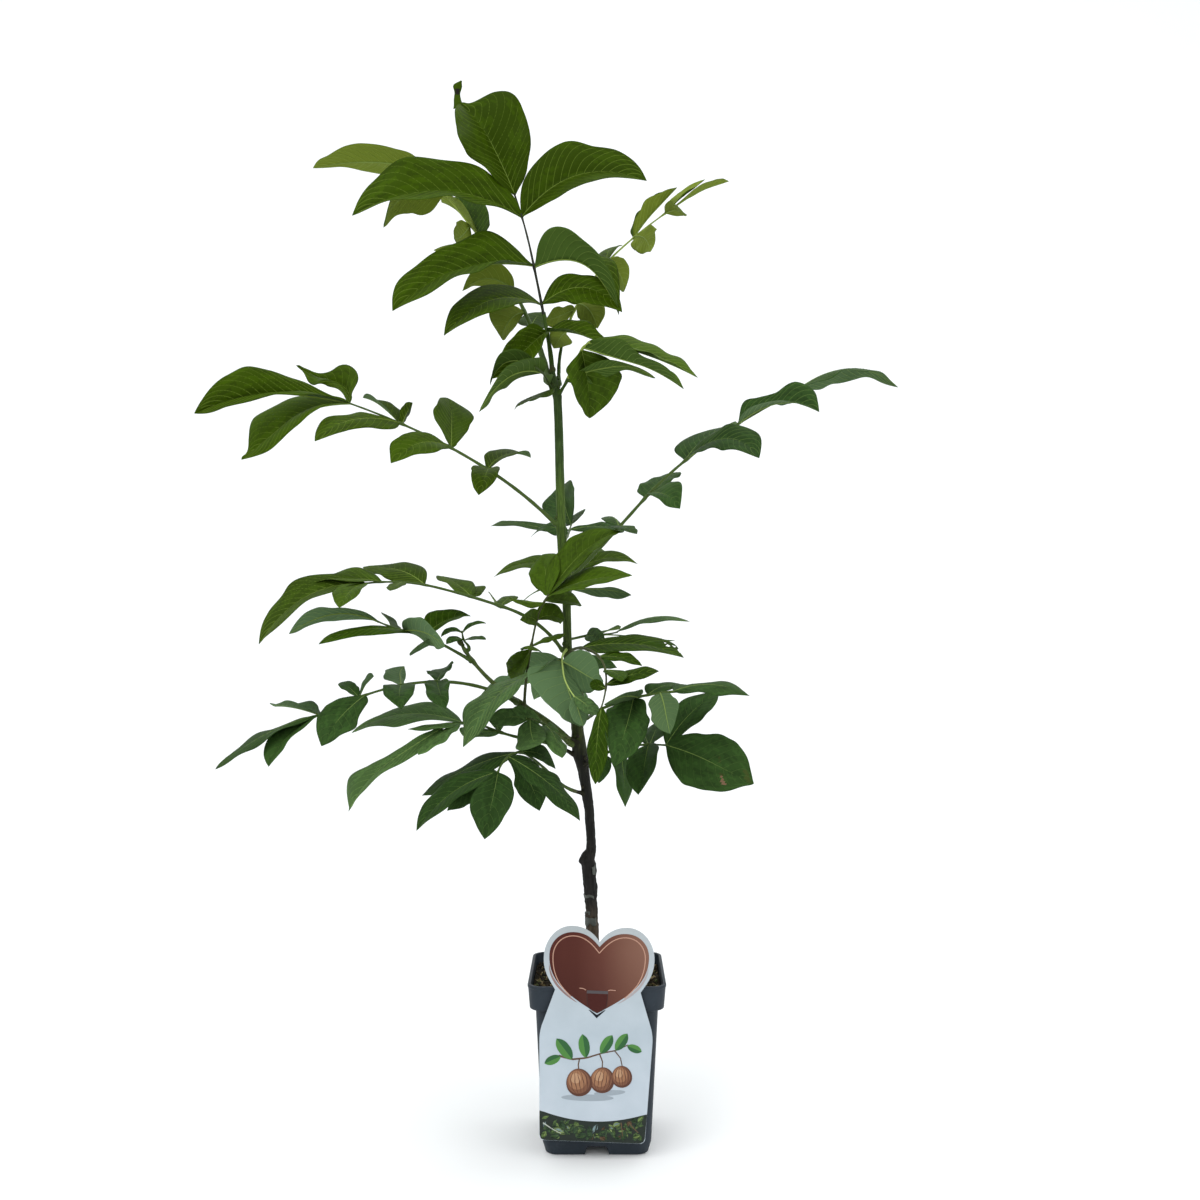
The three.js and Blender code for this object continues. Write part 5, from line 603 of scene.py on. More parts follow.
class Mesh:
    """Collects vertices, faces and a material number for each face."""

    def __init__(self):
        self.v, self.f, self.m, self.n = [], [], [], 0

    def add(self, pts, faces, mat=0):
        faces = np.asarray(faces, int)
        if len(faces) == 0:
            return
        self.v.append(np.asarray(pts, float).reshape(-1, 3))
        self.f.append(faces + self.n)
        self.m.append(np.broadcast_to(np.asarray(mat), (len(faces),)).copy())
        self.n += len(self.v[-1])

    def build(self, name, materials, smooth=True):
        verts = np.concatenate(self.v) * MM
        me = bpy.data.meshes.new(name)
        quads = [f for f in self.f if f.shape[1] == 4]
        tris = [f for f in self.f if f.shape[1] == 3]
        mq = [m for f, m in zip(self.f, self.m) if f.shape[1] == 4]
        mt = [m for f, m in zip(self.f, self.m) if f.shape[1] == 3]
        nq, nt = sum(map(len, quads)), sum(map(len, tris))
        me.vertices.add(len(verts))
        me.vertices.foreach_set("co", verts.astype(np.float32).ravel())
        me.loops.add(nq * 4 + nt * 3)
        loops = np.concatenate([np.concatenate(quads).ravel() if quads else np.empty(0, int), np.concatenate(tris).ravel() if tris else np.empty(0, int)])
        me.loops.foreach_set("vertex_index", loops.astype(np.int32))
        me.polygons.add(nq + nt)
        start = np.concatenate([np.arange(nq) * 4, nq * 4 + np.arange(nt) * 3]).astype(np.int32)
        me.polygons.foreach_set("loop_start", start)
        for mat in materials:
            me.materials.append(mat)
        me.polygons.foreach_set("material_index", np.concatenate(mq + mt).astype(np.int32))
        me.polygons.foreach_set("use_smooth", np.full(nq + nt, bool(smooth)))
        me.update(calc_edges=True)
        me.validate(clean_customdata=False)
        obj = bpy.data.objects.new(name, me)
        bpy.context.scene.collection.objects.link(obj)
        return obj


def grid_faces(rows, cols, wrap=False):
    """Quads over a grid of rows by cols points, the columns closed into a ring if wrap is true."""
    i = np.arange(rows - 1)[:, None] * cols
    j = np.arange(cols if wrap else cols - 1)[None, :]
    a, b = i + j, i + (j + 1) % cols
    return np.stack([a, b, b + cols, a + cols], -1).reshape(-1, 4)


def tube(mesh, pts, radii, sides, mat=0, squash=None, cap=True, phase=0.0):
    """A closed tube round a line of points, with a radius at each. squash gives the share of the second axis."""
    pts = np.asarray(pts, float)
    radii = np.broadcast_to(np.asarray(radii, float), (len(pts),))
    tan = np.gradient(pts, axis=0)
    tan /= np.maximum(np.linalg.norm(tan, axis=1, keepdims=True), 1e-9)
    side = np.array([1.0, 0, 0]) if abs(tan[0][2]) > 0.9 else np.array([0, 0, 1.0])
    rings = []
    ang = np.arange(sides) / sides * 2 * math.pi + phase
    for i in range(len(pts)):
        side = unit(side - tan[i] * (side @ tan[i]))
        up = np.cross(tan[i], side)
        k = 1.0 if squash is None else squash
        rings.append(pts[i] + radii[i] * (np.cos(ang)[:, None] * side + k * np.sin(ang)[:, None] * up))
    v = np.concatenate(rings + [pts[:1], pts[-1:]])
    mat = np.broadcast_to(np.asarray(mat), (len(pts),))
    mesh.add(v, grid_faces(len(pts), sides, wrap=True), np.repeat(mat[:-1], sides))
    if cap:
        a = np.arange(sides)
        b = (a + 1) % sides
        first, last, o = len(pts) * sides, len(pts) * sides + 1, (len(pts) - 1) * sides
        n0 = mesh.n - len(v)
        for f, m in ((np.stack([np.full(sides, first), b, a], 1), mat[0]), (np.stack([np.full(sides, last), o + a, o + b], 1), mat[-1])):
            mesh.f.append(f + n0)
            mesh.m.append(np.full(sides, m))


# ------------------------------------------------------------------ materials
def srgb(c):
    return tuple(((v / 255 + 0.055) / 1.055) ** 2.4 if v > 10 else v / 255 / 12.92 for v in c)


def material(name, rgb, rough=0.5, spec=0.5, **more):
    m = bpy.data.materials.new(name)
    m.use_nodes = True
    b = m.node_tree.nodes["Principled BSDF"]
    b.inputs["Base Color"].default_value = (*srgb(rgb), 1)
    b.inputs["Roughness"].default_value = rough
    b.inputs["Specular IOR Level"].default_value = spec
    for k, v in more.items():
        b.inputs[k.replace("_", " ")].default_value = v
    return m


def nodes_of(m):
    return m.node_tree.nodes, m.node_tree.links, m.node_tree.nodes["Principled BSDF"]


def mix_colours(m, factor, a, b):
    """A colour mix node of two plain colours or sockets by a factor socket."""
    n, l, _ = nodes_of(m)
    mix = n.new("ShaderNodeMix")
    mix.data_type = "RGBA"
    l.new(factor, mix.inputs["Factor"])
    for name, c in (("A", a), ("B", b)):
        sock = [s for s in mix.inputs if s.name == name and s.type == "RGBA"][0]
        if isinstance(c, tuple):
            sock.default_value = (*srgb(c), 1)
        else:
            l.new(c, sock)
    return [s for s in mix.outputs if s.type == "RGBA"][0]


def noise(m, scale, detail=4, rough=0.6, stretch=(1, 1, 1), kind="ShaderNodeTexNoise"):
    n, l, _ = nodes_of(m)
    tc = n.new("ShaderNodeTexCoord")
    mp = n.new("ShaderNodeMapping")
    mp.inputs["Scale"].default_value = stretch
    t = n.new(kind)
    t.inputs["Scale"].default_value = scale
    if kind == "ShaderNodeTexNoise":
        t.inputs["Detail"].default_value = detail
        t.inputs["Roughness"].default_value = rough
    l.new(tc.outputs["Object"], mp.inputs["Vector"])
    l.new(mp.outputs["Vector"], t.inputs["Vector"])
    return t


def ramp(m, socket, stops):
    n, l, _ = nodes_of(m)
    r = n.new("ShaderNodeValToRGB")
    e = r.color_ramp.elements
    while len(e) < len(stops):
        e.new(0.5)
    for el, (pos, c) in zip(e, stops):
        el.position = pos
        el.color = (*srgb(c), 1) if isinstance(c, tuple) else (c, c, c, 1)
    l.new(socket, r.inputs["Fac"])
    return r.outputs["Color"]


def bump(m, socket, strength, distance):
    n, l, b = nodes_of(m)
    bp = n.new("ShaderNodeBump")
    bp.inputs["Strength"].default_value = strength
    bp.inputs["Distance"].default_value = distance
    l.new(socket, bp.inputs["Height"])
    if b.inputs["Normal"].links:
        l.new(b.inputs["Normal"].links[0].from_socket, bp.inputs["Normal"])
    l.new(bp.outputs["Normal"], b.inputs["Normal"])


# Leaf colours, dealt out by spray: each green of the upper side in a dark, a middle and a light tone,
# the greens of the underside, and for both the paler veins.
def toned(c, k, other=(150, 168, 92), part=0.0):
    return tuple((1 - part) * k * v + part * w for v, w in zip(c, other))


leaf_mats, vein_mats = [], []
UP_SLOT, LOW_SLOT, VEIN_SLOT = {}, {}, {}
for name, c in UPPERS.items():
    UP_SLOT[name] = len(leaf_mats)
    for word, k in (("dark", 0.88), ("mid", 1.0), ("light", 1.12)):
        leaf_mats.append(material("leaf_" + name + "_" + word, toned(c, k), 0.5, 0.03))
    VEIN_SLOT["up_" + name] = len(vein_mats)
    vein_mats.append(material("midrib_" + name, toned(c, 1.1, part=0.64), 0.6, 0.04))
    vein_mats.append(material("side_vein_" + name, toned(c, 1.08, part=0.37), 0.6, 0.04))
    vein_mats.append(material("faint_vein_" + name, toned(c, 1.06, part=0.18), 0.6, 0.04))
for name, c in UNDERS.items():
    LOW_SLOT[name] = len(leaf_mats)
    leaf_mats.append(material("leaf_under_" + name, c, 0.7, 0.05))
    VEIN_SLOT["low_" + name] = len(vein_mats)
    vein_mats.append(material("midrib_under_" + name, toned(c, 1.1, part=0.52), 0.65, 0.08))
    vein_mats.append(material("side_vein_under_" + name, toned(c, 1.08, part=0.26), 0.65, 0.08))
    vein_mats.append(material("faint_vein_under_" + name, toned(c, 1.06, part=0.16), 0.65, 0.08))
SPOT_SLOT = len(leaf_mats)
leaf_mats += [material("leaf_spot_brown", (112, 88, 66), 0.7, 0.1), material("leaf_tip_black", (26, 24, 18), 0.6, 0.1), material("leaf_edge_rust", (58, 70, 30), 0.6, 0.05),
              material("leaf_scar", (52, 64, 28), 0.6, 0.05)]


# ------------------------------------------------------------------ one leaflet
SHAPE_AT = (0, 0.1, 0.28, 0.46, 0.64, 0.82, 0.94, 1)


class Leaflet:
    """The blade as a surface over s, from foot to tip, and v, from -1 at one margin to 1 at the other."""

    def __init__(self, foot, row, rng, look):
        _, self.L, self.W, head, pitch, roll, fold, arch = row
        g = look.get
        self.L *= 1 + g("stretch", 0.0)
        head, pitch, roll, fold = head + g("turn", 0.0), pitch + g("lift", 0.0), roll + g("roll", 0.0), fold + g("fold", 0.0)
        self.foot = np.asarray(foot, float)
        self.along = heading(head, pitch)
        h, r = math.radians(head), math.radians(roll)
        level = np.array([-math.sin(h), math.cos(h), 0])
        self.over = np.cross(self.along, level)
        self.side = math.cos(r) * level + math.sin(r) * self.over
        self.face = np.cross(self.along, self.side)
        self.fold = math.radians(fold)
        self.arch = arch + g("bow", 0.0)
        size = self.L / 100
        own = rng.uniform(0, 1, 12)
        self.bend = g("bend", 0.024 * own[0] - 0.012)  # the midrib's bow within the blade
        self.hook = g("hook", 0.05 * own[1] - 0.025)  # the tip's turn to one side
        self.nod = g("nod", 0.03 * own[2])  # how far the tip bends down
        self.twist = math.radians(g("twist", 14 * own[3] - 7))
        self.curl = math.radians(g("curl", 6 + 16 * own[4]))  # how far the margins roll back
        self.wave = g("wave", 0.35 + 0.65 * own[5]) * size * 1.5
        self.waves = g("waves", 1.6 + 1.5 * own[6])
        self.phase = np.array([g("ph0", 6.28 * own[7]), g("ph1", 6.28 * own[8])])
        self.quilt = 0.62 * min(size, 1.25)
        self.shift = 0.16 + 0.06 * own[9]
        self.veins = int(np.clip(round(self.L / 8.8), 5, 14))
        self.left = np.column_stack([SHAPE_AT, (1, *g("left", (1,) * 6), 1)])
        self.right = np.column_stack([SHAPE_AT, (1, *g("right", (1,) * 6), 1)])
        self.skew = 0.93 + 0.13 * own[10]

    def mid(self, s):
        s = np.asarray(s, float)[..., None]
        L = self.L
        tip = np.clip((s - 0.55) / 0.45, 0, 1) ** 2
        return (self.foot + self.along * L * s + self.over * 4 * s * (1 - s) * self.arch * L
                + self.side * L * (4 * s * (1 - s) * self.bend + tip * self.hook) - self.face * L * tip * self.nod)

    def frames(self, s):
        e = 0.01
        a, b = np.clip(s - e, 0, 1), np.clip(s + e, 0, 1)
        tan = self.mid(b) - self.mid(a)
        tan /= np.linalg.norm(tan, axis=-1, keepdims=True)
        n = np.cross(tan, self.side)
        n /= np.linalg.norm(n, axis=-1, keepdims=True)
        b = np.cross(n, tan)
        w = (self.twist * (s - 0.3))[..., None]
        return tan, np.cos(w) * b + np.sin(w) * n, np.cos(w) * n - np.sin(w) * b

    def half(self, s, v):
        base = smooth_rows(OUTLINE, np.clip(s, 0, 1) ** self.skew)[..., 0]
        more = np.where(v >= 0, smooth_rows(self.left, s)[..., 0], smooth_rows(self.right, s)[..., 0])
        k = np.where(v >= 0, 0, 40)
        return base * more * self.W / 2 * (1 + 0.018 * np.sin(17 * s + self.phase[0] + k) + 0.012 * np.sin(31 * s + self.phase[1] + k))

    def vein_phase(self, s, v):
        u = np.abs(v)
        s0 = s - self.shift * u - 0.06 * u ** 3
        return (s0 - 0.03) / 0.9 * self.veins

    def at(self, s, v):
        s, v = np.broadcast_arrays(np.asarray(s, float), np.asarray(v, float))
        tan, b, n = self.frames(s)
        u = np.abs(v)
        sign = np.where(v >= 0, 1.0, -1.0)
        hw = self.half(s, v)
        f0 = self.fold * (1.12 - 0.2 * s) + self.curl * 0.42
        k = max(self.curl, 1e-3)
        across = hw * (np.sin(f0) - np.sin(f0 - k * u)) / k
        lift = hw * (np.cos(f0 - k * u) - np.cos(f0)) / k
        ph = np.where(v >= 0, self.phase[0], self.phase[1])
        env = np.clip(np.sin(math.pi * np.clip(s, 0, 1)), 0, 1) ** 0.6
        lift = lift + self.wave * u ** 1.7 * env * np.sin(2 * math.pi * self.waves * s + ph)
        lift = lift + self.quilt * env * np.clip(u * 5, 0, 1) * (1 - u ** 3) * (0.5 - 0.5 * np.cos(2 * math.pi * self.vein_phase(s, v)))
        return self.mid(s) + b * (across * sign)[..., None] + n * lift[..., None]


def blade(mesh, lf, green, pale, rng, look):
    L, W = lf.L, lf.W
    n = int(np.clip(L / 1.9, 12, 76))
    m = int(np.clip(W / 2 / 2.4, 4, 14))
    s = np.linspace(0, 1, n + 1)
    s = s - 0.024 * np.sin(2 * math.pi * s)
    v = np.linspace(-1, 1, 2 * m + 1)
    v = np.sign(v) * np.abs(v) ** 0.92
    S, V = np.meshgrid(s, v, indexing="ij")
    C = lf.at(S, V)
    ds, dv = np.gradient(C, axis=0), np.gradient(C, axis=1)
    N = np.cross(ds, dv)
    N /= np.maximum(np.linalg.norm(N, axis=-1, keepdims=True), 1e-9)
    N *= np.sign((N @ lf.face).mean() or 1)
    t = (0.2 - 0.1 * np.abs(V))[..., None]
    top, low = C + N * t, C - N * t
    rows, cols = n + 1, 2 * m + 1
    flip = np.sign(np.einsum("ijk,ijk->ij", np.cross(ds, dv), N)).mean() > 0
    cs, cv = (S[:-1, :-1] + S[1:, 1:]) / 2, (V[:-1, :-1] + V[1:, 1:]) / 2
    keep = np.ones((n, 2 * m), bool)
    for hs, hv, hr in look.get("holes", ()):
        keep &= ((cs - hs) * L) ** 2 + ((cv - hv) * W / 2) ** 2 > hr ** 2
    field = (np.sin(9 * cs * rng.uniform(0.7, 1.3) + 5 * cv + rng.uniform(0, 6)) + np.sin(17 * cs - 9 * cv * rng.uniform(0.6, 1.3) + rng.uniform(0, 6))
             + 0.9 * np.sin(31 * cs + 23 * cv + rng.uniform(0, 6)) + rng.normal(0, 0.35, cs.shape))
    tone = look.get("tone", rng.choice([-1, 0, 0, 1], p=[0.24, 0.26, 0.26, 0.24]))
    up = np.clip(1 + np.round(field * 0.42 + tone * 0.8), 0, 2).astype(int) + UP_SLOT[green]
    under = np.full(up.shape, LOW_SLOT[pale])
    for bs, bv, br, slot in look.get("spots", ()):
        inside = ((cs - bs) * L) ** 2 + ((cv - bv) * W / 2) ** 2 + rng.normal(0, 0.6, cs.shape) * br < br ** 2
        up[inside] = SPOT_SLOT + slot
        under[inside] = SPOT_SLOT + slot
    if "tip_from" in look:
        up[cs > look["tip_from"]] = SPOT_SLOT + 1
        under[cs > look["tip_from"]] = SPOT_SLOT + 1
    idx = np.arange(rows * cols).reshape(rows, cols)
    a, b, c, d = idx[:-1, :-1], idx[:-1, 1:], idx[1:, 1:], idx[1:, :-1]
    off = rows * cols
    pts = np.concatenate([top.reshape(-1, 3), low.reshape(-1, 3)])
    # grid order: rows run along s and columns along v, so ds x dv gives the outward side of [a, d, c, b]
    q = np.stack([a, d, c, b], -1) if flip else np.stack([a, b, c, d], -1)
    kq = q[keep]
    faces, mats = [kq, off + kq[:, ::-1]], [up[keep], under[keep]]
    pad = np.zeros((n + 2, 2 * m + 2), bool)
    pad[1:-1, 1:-1] = keep
    walls = []
    for (p, r), (di, dj) in {(0, 1): (-1, 0), (1, 2): (0, 1), (2, 3): (1, 0), (3, 0): (0, -1)}.items():
        corner = [a, b, c, d]
        edge = keep & ~pad[1 + di:n + 1 + di, 1 + dj:2 * m + 1 + dj]
        e0, e1 = corner[p][edge], corner[r][edge]
        w = np.stack([e1, e0, off + e0, off + e1], -1) if not flip else np.stack([e0, e1, off + e1, off + e0], -1)
        walls.append(w)
        mats.append(up[edge])
    mesh.add(pts, np.concatenate(faces + walls), np.concatenate(mats))


def leaf_veins(mesh, lf, green, pale, rng, look):
    L = lf.L
    up, low = VEIN_SLOT["up_" + green], VEIN_SLOT["low_" + pale]
    last = look.get("tip_from", 0.985)
    s = np.linspace(0.0, last, 18)
    c = lf.at(s, np.zeros_like(s))
    _, b, nrm = lf.frames(s)
    r = (0.95 - 0.72 * s) * (0.55 + 0.45 * min(L / 100, 1.3)) * 0.95
    c = c - nrm * (r * 0.35)[:, None]
    r = r * look.get("midrib", 1.0)
    tube(mesh, c, r, 7, look.get("midrib_slot", up if look.get("shows", "up") == "up" else low))
    holes = look.get("holes", ())
    kind = 2 if look.get("veins_faint", False) else 1
    for k in range(lf.veins):
        for sg in (1, -1):
            sk = 0.03 + 0.9 * (k + (0.0 if sg > 0 else 0.0) + 0.5) / lf.veins
            u = np.linspace(0.015, 0.93, 11)
            ss = sk - 0.9 * 0.5 / lf.veins + lf.shift * u + 0.06 * u ** 3
            if ss[0] < 0.02:
                ss = ss + 0.02
            ok = ss < 0.975
            if ok.sum() < 4:
                continue
            ss, uu = ss[ok], u[ok]
            if any((((ss - hs) * L) ** 2 + ((sg * uu - hv) * lf.W / 2) ** 2).min() < (hr + 0.8) ** 2 for hs, hv, hr in holes):
                continue
            p = lf.at(ss, sg * uu)
            _, b, nrm = lf.frames(ss)
            tn = np.gradient(p, axis=0)
            tn /= np.linalg.norm(tn, axis=1, keepdims=True)
            sd = np.cross(nrm, tn)
            sd /= np.linalg.norm(sd, axis=1, keepdims=True)
            big = 0.55 + 0.45 * min(L / 100, 1.2)
            w = ((0.42 - 0.22 * uu) * big)[:, None]
            hgt = ((0.55 - 0.2 * uu) * big)[:, None]
            ring = np.stack([p + sd * w, p + nrm * hgt, p - sd * w, p - nrm * hgt], 1).reshape(-1, 3)
            mesh.add(ring, grid_faces(len(p), 4, wrap=True), np.tile([up + kind, up + kind, low + kind, low + kind], len(p) - 1))


# ------------------------------------------------------------------ limbs
def shoot_at(t):
    return on_line(SHOOT_LINE, t), (SHOOT["d"][0] * (1 - t) + SHOOT["d"][1] * t) / 2


SHOOT_FOOT = foot_on(stem_at, SHOOT["at"], SHOOT["heads"][0], SHOOT["pitches"][0], SHOOT["d"][0] / 2)
SHOOT_LINE = rib_line(SHOOT_FOOT, SHOOT["length"], SHOOT["heads"], SHOOT["pitches"])


def stem_piece():
    """The stem's bark, ring by ring: taper and graft swelling from the table, then leaf cushions, ridges and pits."""
    mesh = Mesh()
    z = np.arange(150.5, 768.5, 1.5)
    sides = 36
    rows = smooth_rows(STEM, z)
    phi = np.arange(sides) / sides * 2 * math.pi
    Z, PHI = np.meshgrid(z, phi, indexing="ij")
    R = np.repeat(rows[:, 1:2] / 2, sides, 1)
    R = R + np.where(Z < 166, ((166 - Z) / 16) ** 2 * 2.2 * (1 + 0.5 * np.sin(3 * PHI + 1)), 0)
    old = np.clip((300 - Z) / 20, 0, 1)
    mid = np.clip((392 - Z) / 30, 0, 1) * (1 - old)
    P = np.stack([np.cos(PHI) * 7, np.sin(PHI) * 7, Z], -1)
    ridge = lumps(P * (1, 1, 0.22), 3, [(3.2, 1.0), (5.5, 0.8)])
    coarse = lumps(P, 4, [(9, 1.0), (4, 0.5)])
    R += old * (0.42 * ridge + 0.5 * coarse) + mid * (0.3 * ridge + 0.2 * coarse) + 0.1 * ridge
    R += old * -0.5 * np.clip(lumps(P * (1, 1, 0.5), 8, [(6, 1.0)]) - 0.45, 0, 1) * 2
    # the callus round the slanted cut of the rootstock, on the left, and the seam down the union's right side
    left = np.clip(np.cos(PHI - math.pi * 0.96), 0, 1) ** 1.4
    lip = np.exp(-((Z - 277.5 - 3.5 * np.cos(PHI)) / 2.6) ** 2)
    R += left * lip * (0.9 + 0.3 * coarse)
    seam = np.exp(-(np.angle(np.exp(1j * (PHI - math.pi * 1.62))) / 0.16) ** 2)
    R -= seam * np.clip((Z - 244) / 10, 0, 1) * np.clip((284 - Z) / 8, 0, 1) * 1.1
    # leaf cushions and the ring of the bud scars
    for leaf in LEAVES:
        if leaf["on"] != "stem":
            continue
        az = math.radians(leaf.get("side", leaf["heads"][0]))
        dphi = np.angle(np.exp(1j * (PHI - az)))
        dz = Z - leaf["at"]
        R += 1.5 * np.exp(-(np.where(dz < 0, dz / 7.5, dz / 3.6)) ** 2 - (dphi / 0.75) ** 2)
    az = math.radians(SHOOT["heads"][0])
    dphi = np.angle(np.exp(1j * (PHI - az)))
    dz = Z - SHOOT["at"]
    R += 2.0 * np.exp(-(np.where(dz < 0, dz / 9, dz / 6)) ** 2 - (dphi / 0.9) ** 2)
    for zz in (741, 600, 452, 408):
        R += 0.35 * np.exp(-((Z - zz) / 1.2) ** 2)
    C = np.stack([rows[:, 0], np.zeros(len(z)), z], -1)[:, None, :]
    V = C + np.stack([np.cos(PHI) * R, np.sin(PHI) * R, np.zeros_like(R)], -1)
    mesh.add(V.reshape(-1, 3), grid_faces(len(z), sides, wrap=True))
    n0 = 0
    tip = np.array([rows[-1, 0], 0, z[-1] + 1.0])
    mesh.add(np.concatenate([V[-1], tip[None]]), [[j, (j + 1) % sides, sides] for j in range(sides)])
    return mesh


def swell(points, radii, at, amount, width):
    """A limb's radii, swollen round the given places along it."""
    d = np.r_[0, np.cumsum(np.linalg.norm(np.diff(points, axis=0), axis=1))]
    out = np.array(radii, float)
    for a, k in zip(at, amount):
        out += k * np.exp(-((d - a) / width) ** 2)
    return out


def bud(mesh, foot, way, length, radius, mat, rng):
    """A pointed bud with three overlapping scales."""
    way = unit(way)
    s = np.linspace(0, 1, 8)
    prof = radius * np.array([0.62, 0.9, 1.0, 0.96, 0.8, 0.55, 0.28, 0.05])
    tube(mesh, foot + way * (s * length)[:, None], prof, 10, mat)
    side = unit(np.cross(way, [0.3, 0.2, 0.9]))
    for k in range(3):
        a = k * 2.1 + rng.uniform(0, 1)
        d = math.cos(a) * side + math.sin(a) * np.cross(way, side)
        pts = foot + way * (np.linspace(0.0, 0.72, 6) * length)[:, None] + d * (prof[:6] * 0.45)[:, None]
        tube(mesh, pts, prof[:6] * 0.72, 7, mat)


# ------------------------------------------------------------------ the plant
rng0 = np.random.default_rng(20)
halves = {"upper": (Mesh(), Mesh()), "middle": (Mesh(), Mesh()), "lower": (Mesh(), Mesh())}
ribs, buds, cushions = Mesh(), Mesh(), Mesh()
RIBS = {"green": 0, "dark": 1, "yellow": 2, "young": 3, "brown": 4, "bark": 5, "olive": 6, "pale": 7}
fronds_of = {"upper": [], "middle": [], "lower": []}

for li, leaf in enumerate(LEAVES):
    rng = np.random.default_rng(100 + li)
    limb = shoot_at if leaf["on"] == "shoot" else stem_at
    az = leaf.get("side", leaf["heads"][0])
    foot = foot_on(limb, leaf["at"], az, leaf["pitches"][0], RIB_R[0])
    line = rib_line(foot, leaf["length"], leaf["heads"], leaf["pitches"])
    look0 = LOOKS.get(leaf["name"], {})
    greens, pales = (c * 16 for c in DEAL[leaf["name"]])
    rib_mat = RIBS[look0.get("rib", "green")]
    L = leaf["length"]
    # stalk and rib: it starts inside the limb, swells at the foot and at each pair of leaflets
    mid, limb_r = limb(leaf["at"])
    t = np.linspace(0, 1, int(max(14, L / 3)))
    pts = np.concatenate([[mid + (foot - mid) * 0.35 - np.array([0, 0, 1.2]), mid + (foot - mid) * 0.7 - np.array([0, 0, 0.4])], on_line(line, t)])
    rad = np.concatenate([[RIB_R[0] * 1.5, RIB_R[0] * 1.45], RIB_R[0] * (1 - t) + RIB_R[1] * t * 0.85])
    nodes_at = sorted({round(r[0], 2) for r in leaf["leaflets"]})
    rad = swell(pts, rad, [4.0] + [a * L + 5 for a in nodes_at], [0.8] + [0.42] * len(nodes_at), 3.4)
    rad *= min(1.0, 0.62 + L / 400) * look0.get("rib_size", 1.0)
    rad = np.maximum(rad, 0.5)
    rad[2:] *= 1 + 0.05 * np.sin(np.arange(len(rad) - 2) * 0.9 + li)
    # the foot of some stalks is stouter and of another colour, and on the old wood it is dark
    along = np.r_[0, 0, t]
    rib_rows = np.full(len(pts), rib_mat)
    if "foot" in look0:
        name, reach, stout = look0["foot"]
        rib_rows[along < reach] = RIBS[name]
        rad *= 1 + (stout - 1) * np.clip(1.1 - along / reach, 0, 1)
    if leaf["on"] == "stem" and leaf["at"] < 445:
        rib_rows[along * L < 7] = RIBS["bark"]
        rib_rows[(along * L >= 7) & (along * L < 15)] = RIBS["brown"]
    tube(ribs, pts, rad, 12, rib_rows, squash=0.92)
    zone = "upper" if foot[2] > 700 else "middle" if foot[2] > 470 else "lower"
    fronds_of[zone].append(leaf["name"])
    bl, ve = halves[zone]
    for k, row in enumerate(leaf["leaflets"]):
        look = dict(look0)
        look.update(LOOKS.get(leaf["name"] + ":" + str(k), {}))
        look.setdefault("veins_faint", zone == "lower")
        green, pale = greens[k % len(greens)], pales[k % len(pales)]
        if leaf["name"] + ":" + str(k) in SHAPES:
            shape = SHAPES[leaf["name"] + ":" + str(k)]
            look.update(zip(SHAPE_NAMES, shape[0]))
            look.update(left=shape[1], right=shape[2])
        rng = np.random.default_rng([li, k])
        tt = min(row[0], 1 - 2 / L)
        lf = Leaflet(on_line(line, tt), row, rng, look)
        blade(bl, lf, green, pale, rng, look)
        leaf_veins(ve, lf, green, pale, rng, look)
        if "tongue" in look:
            # the end leaflet's tip, drawn out into a thin curled tongue with a blackened end
            at_ = lf.at(np.array([0.93]), np.array([0.0]))[0]
            rows_ = np.array(look["tongue"], float)
            zz_ = np.linspace(rows_[0, 0], rows_[-1, 0], 26)
            xl_, xr_, yy_ = (np.interp(zz_, rows_[:, 0], rows_[:, c_]) for c_ in (1, 2, 3))
            uu_ = np.linspace(0, 1, 7)
            gx_ = xl_[:, None] * (1 - uu_) + xr_[:, None] * uu_
            gy_ = yy_[:, None] + 1.6 * (2 * uu_ - 1) ** 2
            front_ = np.stack([gx_, gy_, np.broadcast_to(zz_[:, None], gx_.shape)], -1) + (at_[0] - 10.2, at_[1] + 2.0, at_[2] + 3.8)
            back_ = front_ + (0, 0.3, 0)
            slots_ = np.full((25, 6), UP_SLOT[green] + 1)
            slots_[(zz_[:-1] > look["tongue_black"][0]) & (zz_[:-1] < look["tongue_black"][1]), 1:5] = SPOT_SLOT + 1
            ix_ = np.arange(26 * 7).reshape(26, 7)
            loop_ = np.concatenate([ix_[0], ix_[1:, -1], ix_[-1, -2::-1], ix_[-2:0:-1, 0]])
            wall_ = np.stack([loop_, np.roll(loop_, -1), 182 + np.roll(loop_, -1), 182 + loop_], 1)
            gf_ = grid_faces(26, 7)
            bl.add(np.concatenate([front_.reshape(-1, 3), back_.reshape(-1, 3)]), np.concatenate([gf_[:, ::-1], 182 + gf_, wall_]),
                   np.concatenate([slots_.ravel(), slots_.ravel(), np.full(len(wall_), UP_SLOT[green] + 1)]))
    # a small resting bud in the leaf's axil
    out = np.array([math.cos(math.radians(az)), math.sin(math.radians(az)), 0])
    up = np.array([0, 0, 1.0]) if leaf["on"] == "stem" else unit(on_line(SHOOT_LINE, min(leaf["at"] + 0.03, 1)) - on_line(SHOOT_LINE, leaf["at"]))
    bud(buds, mid + out * (limb_r - 0.4) + up * 4.2, up + out * 0.5, 4.6 if leaf["on"] == "stem" else 3.2, 1.7 if leaf["on"] == "stem" else 1.1, 2 if leaf["on"] == "stem" and leaf["at"] < 430 else 0, rng)

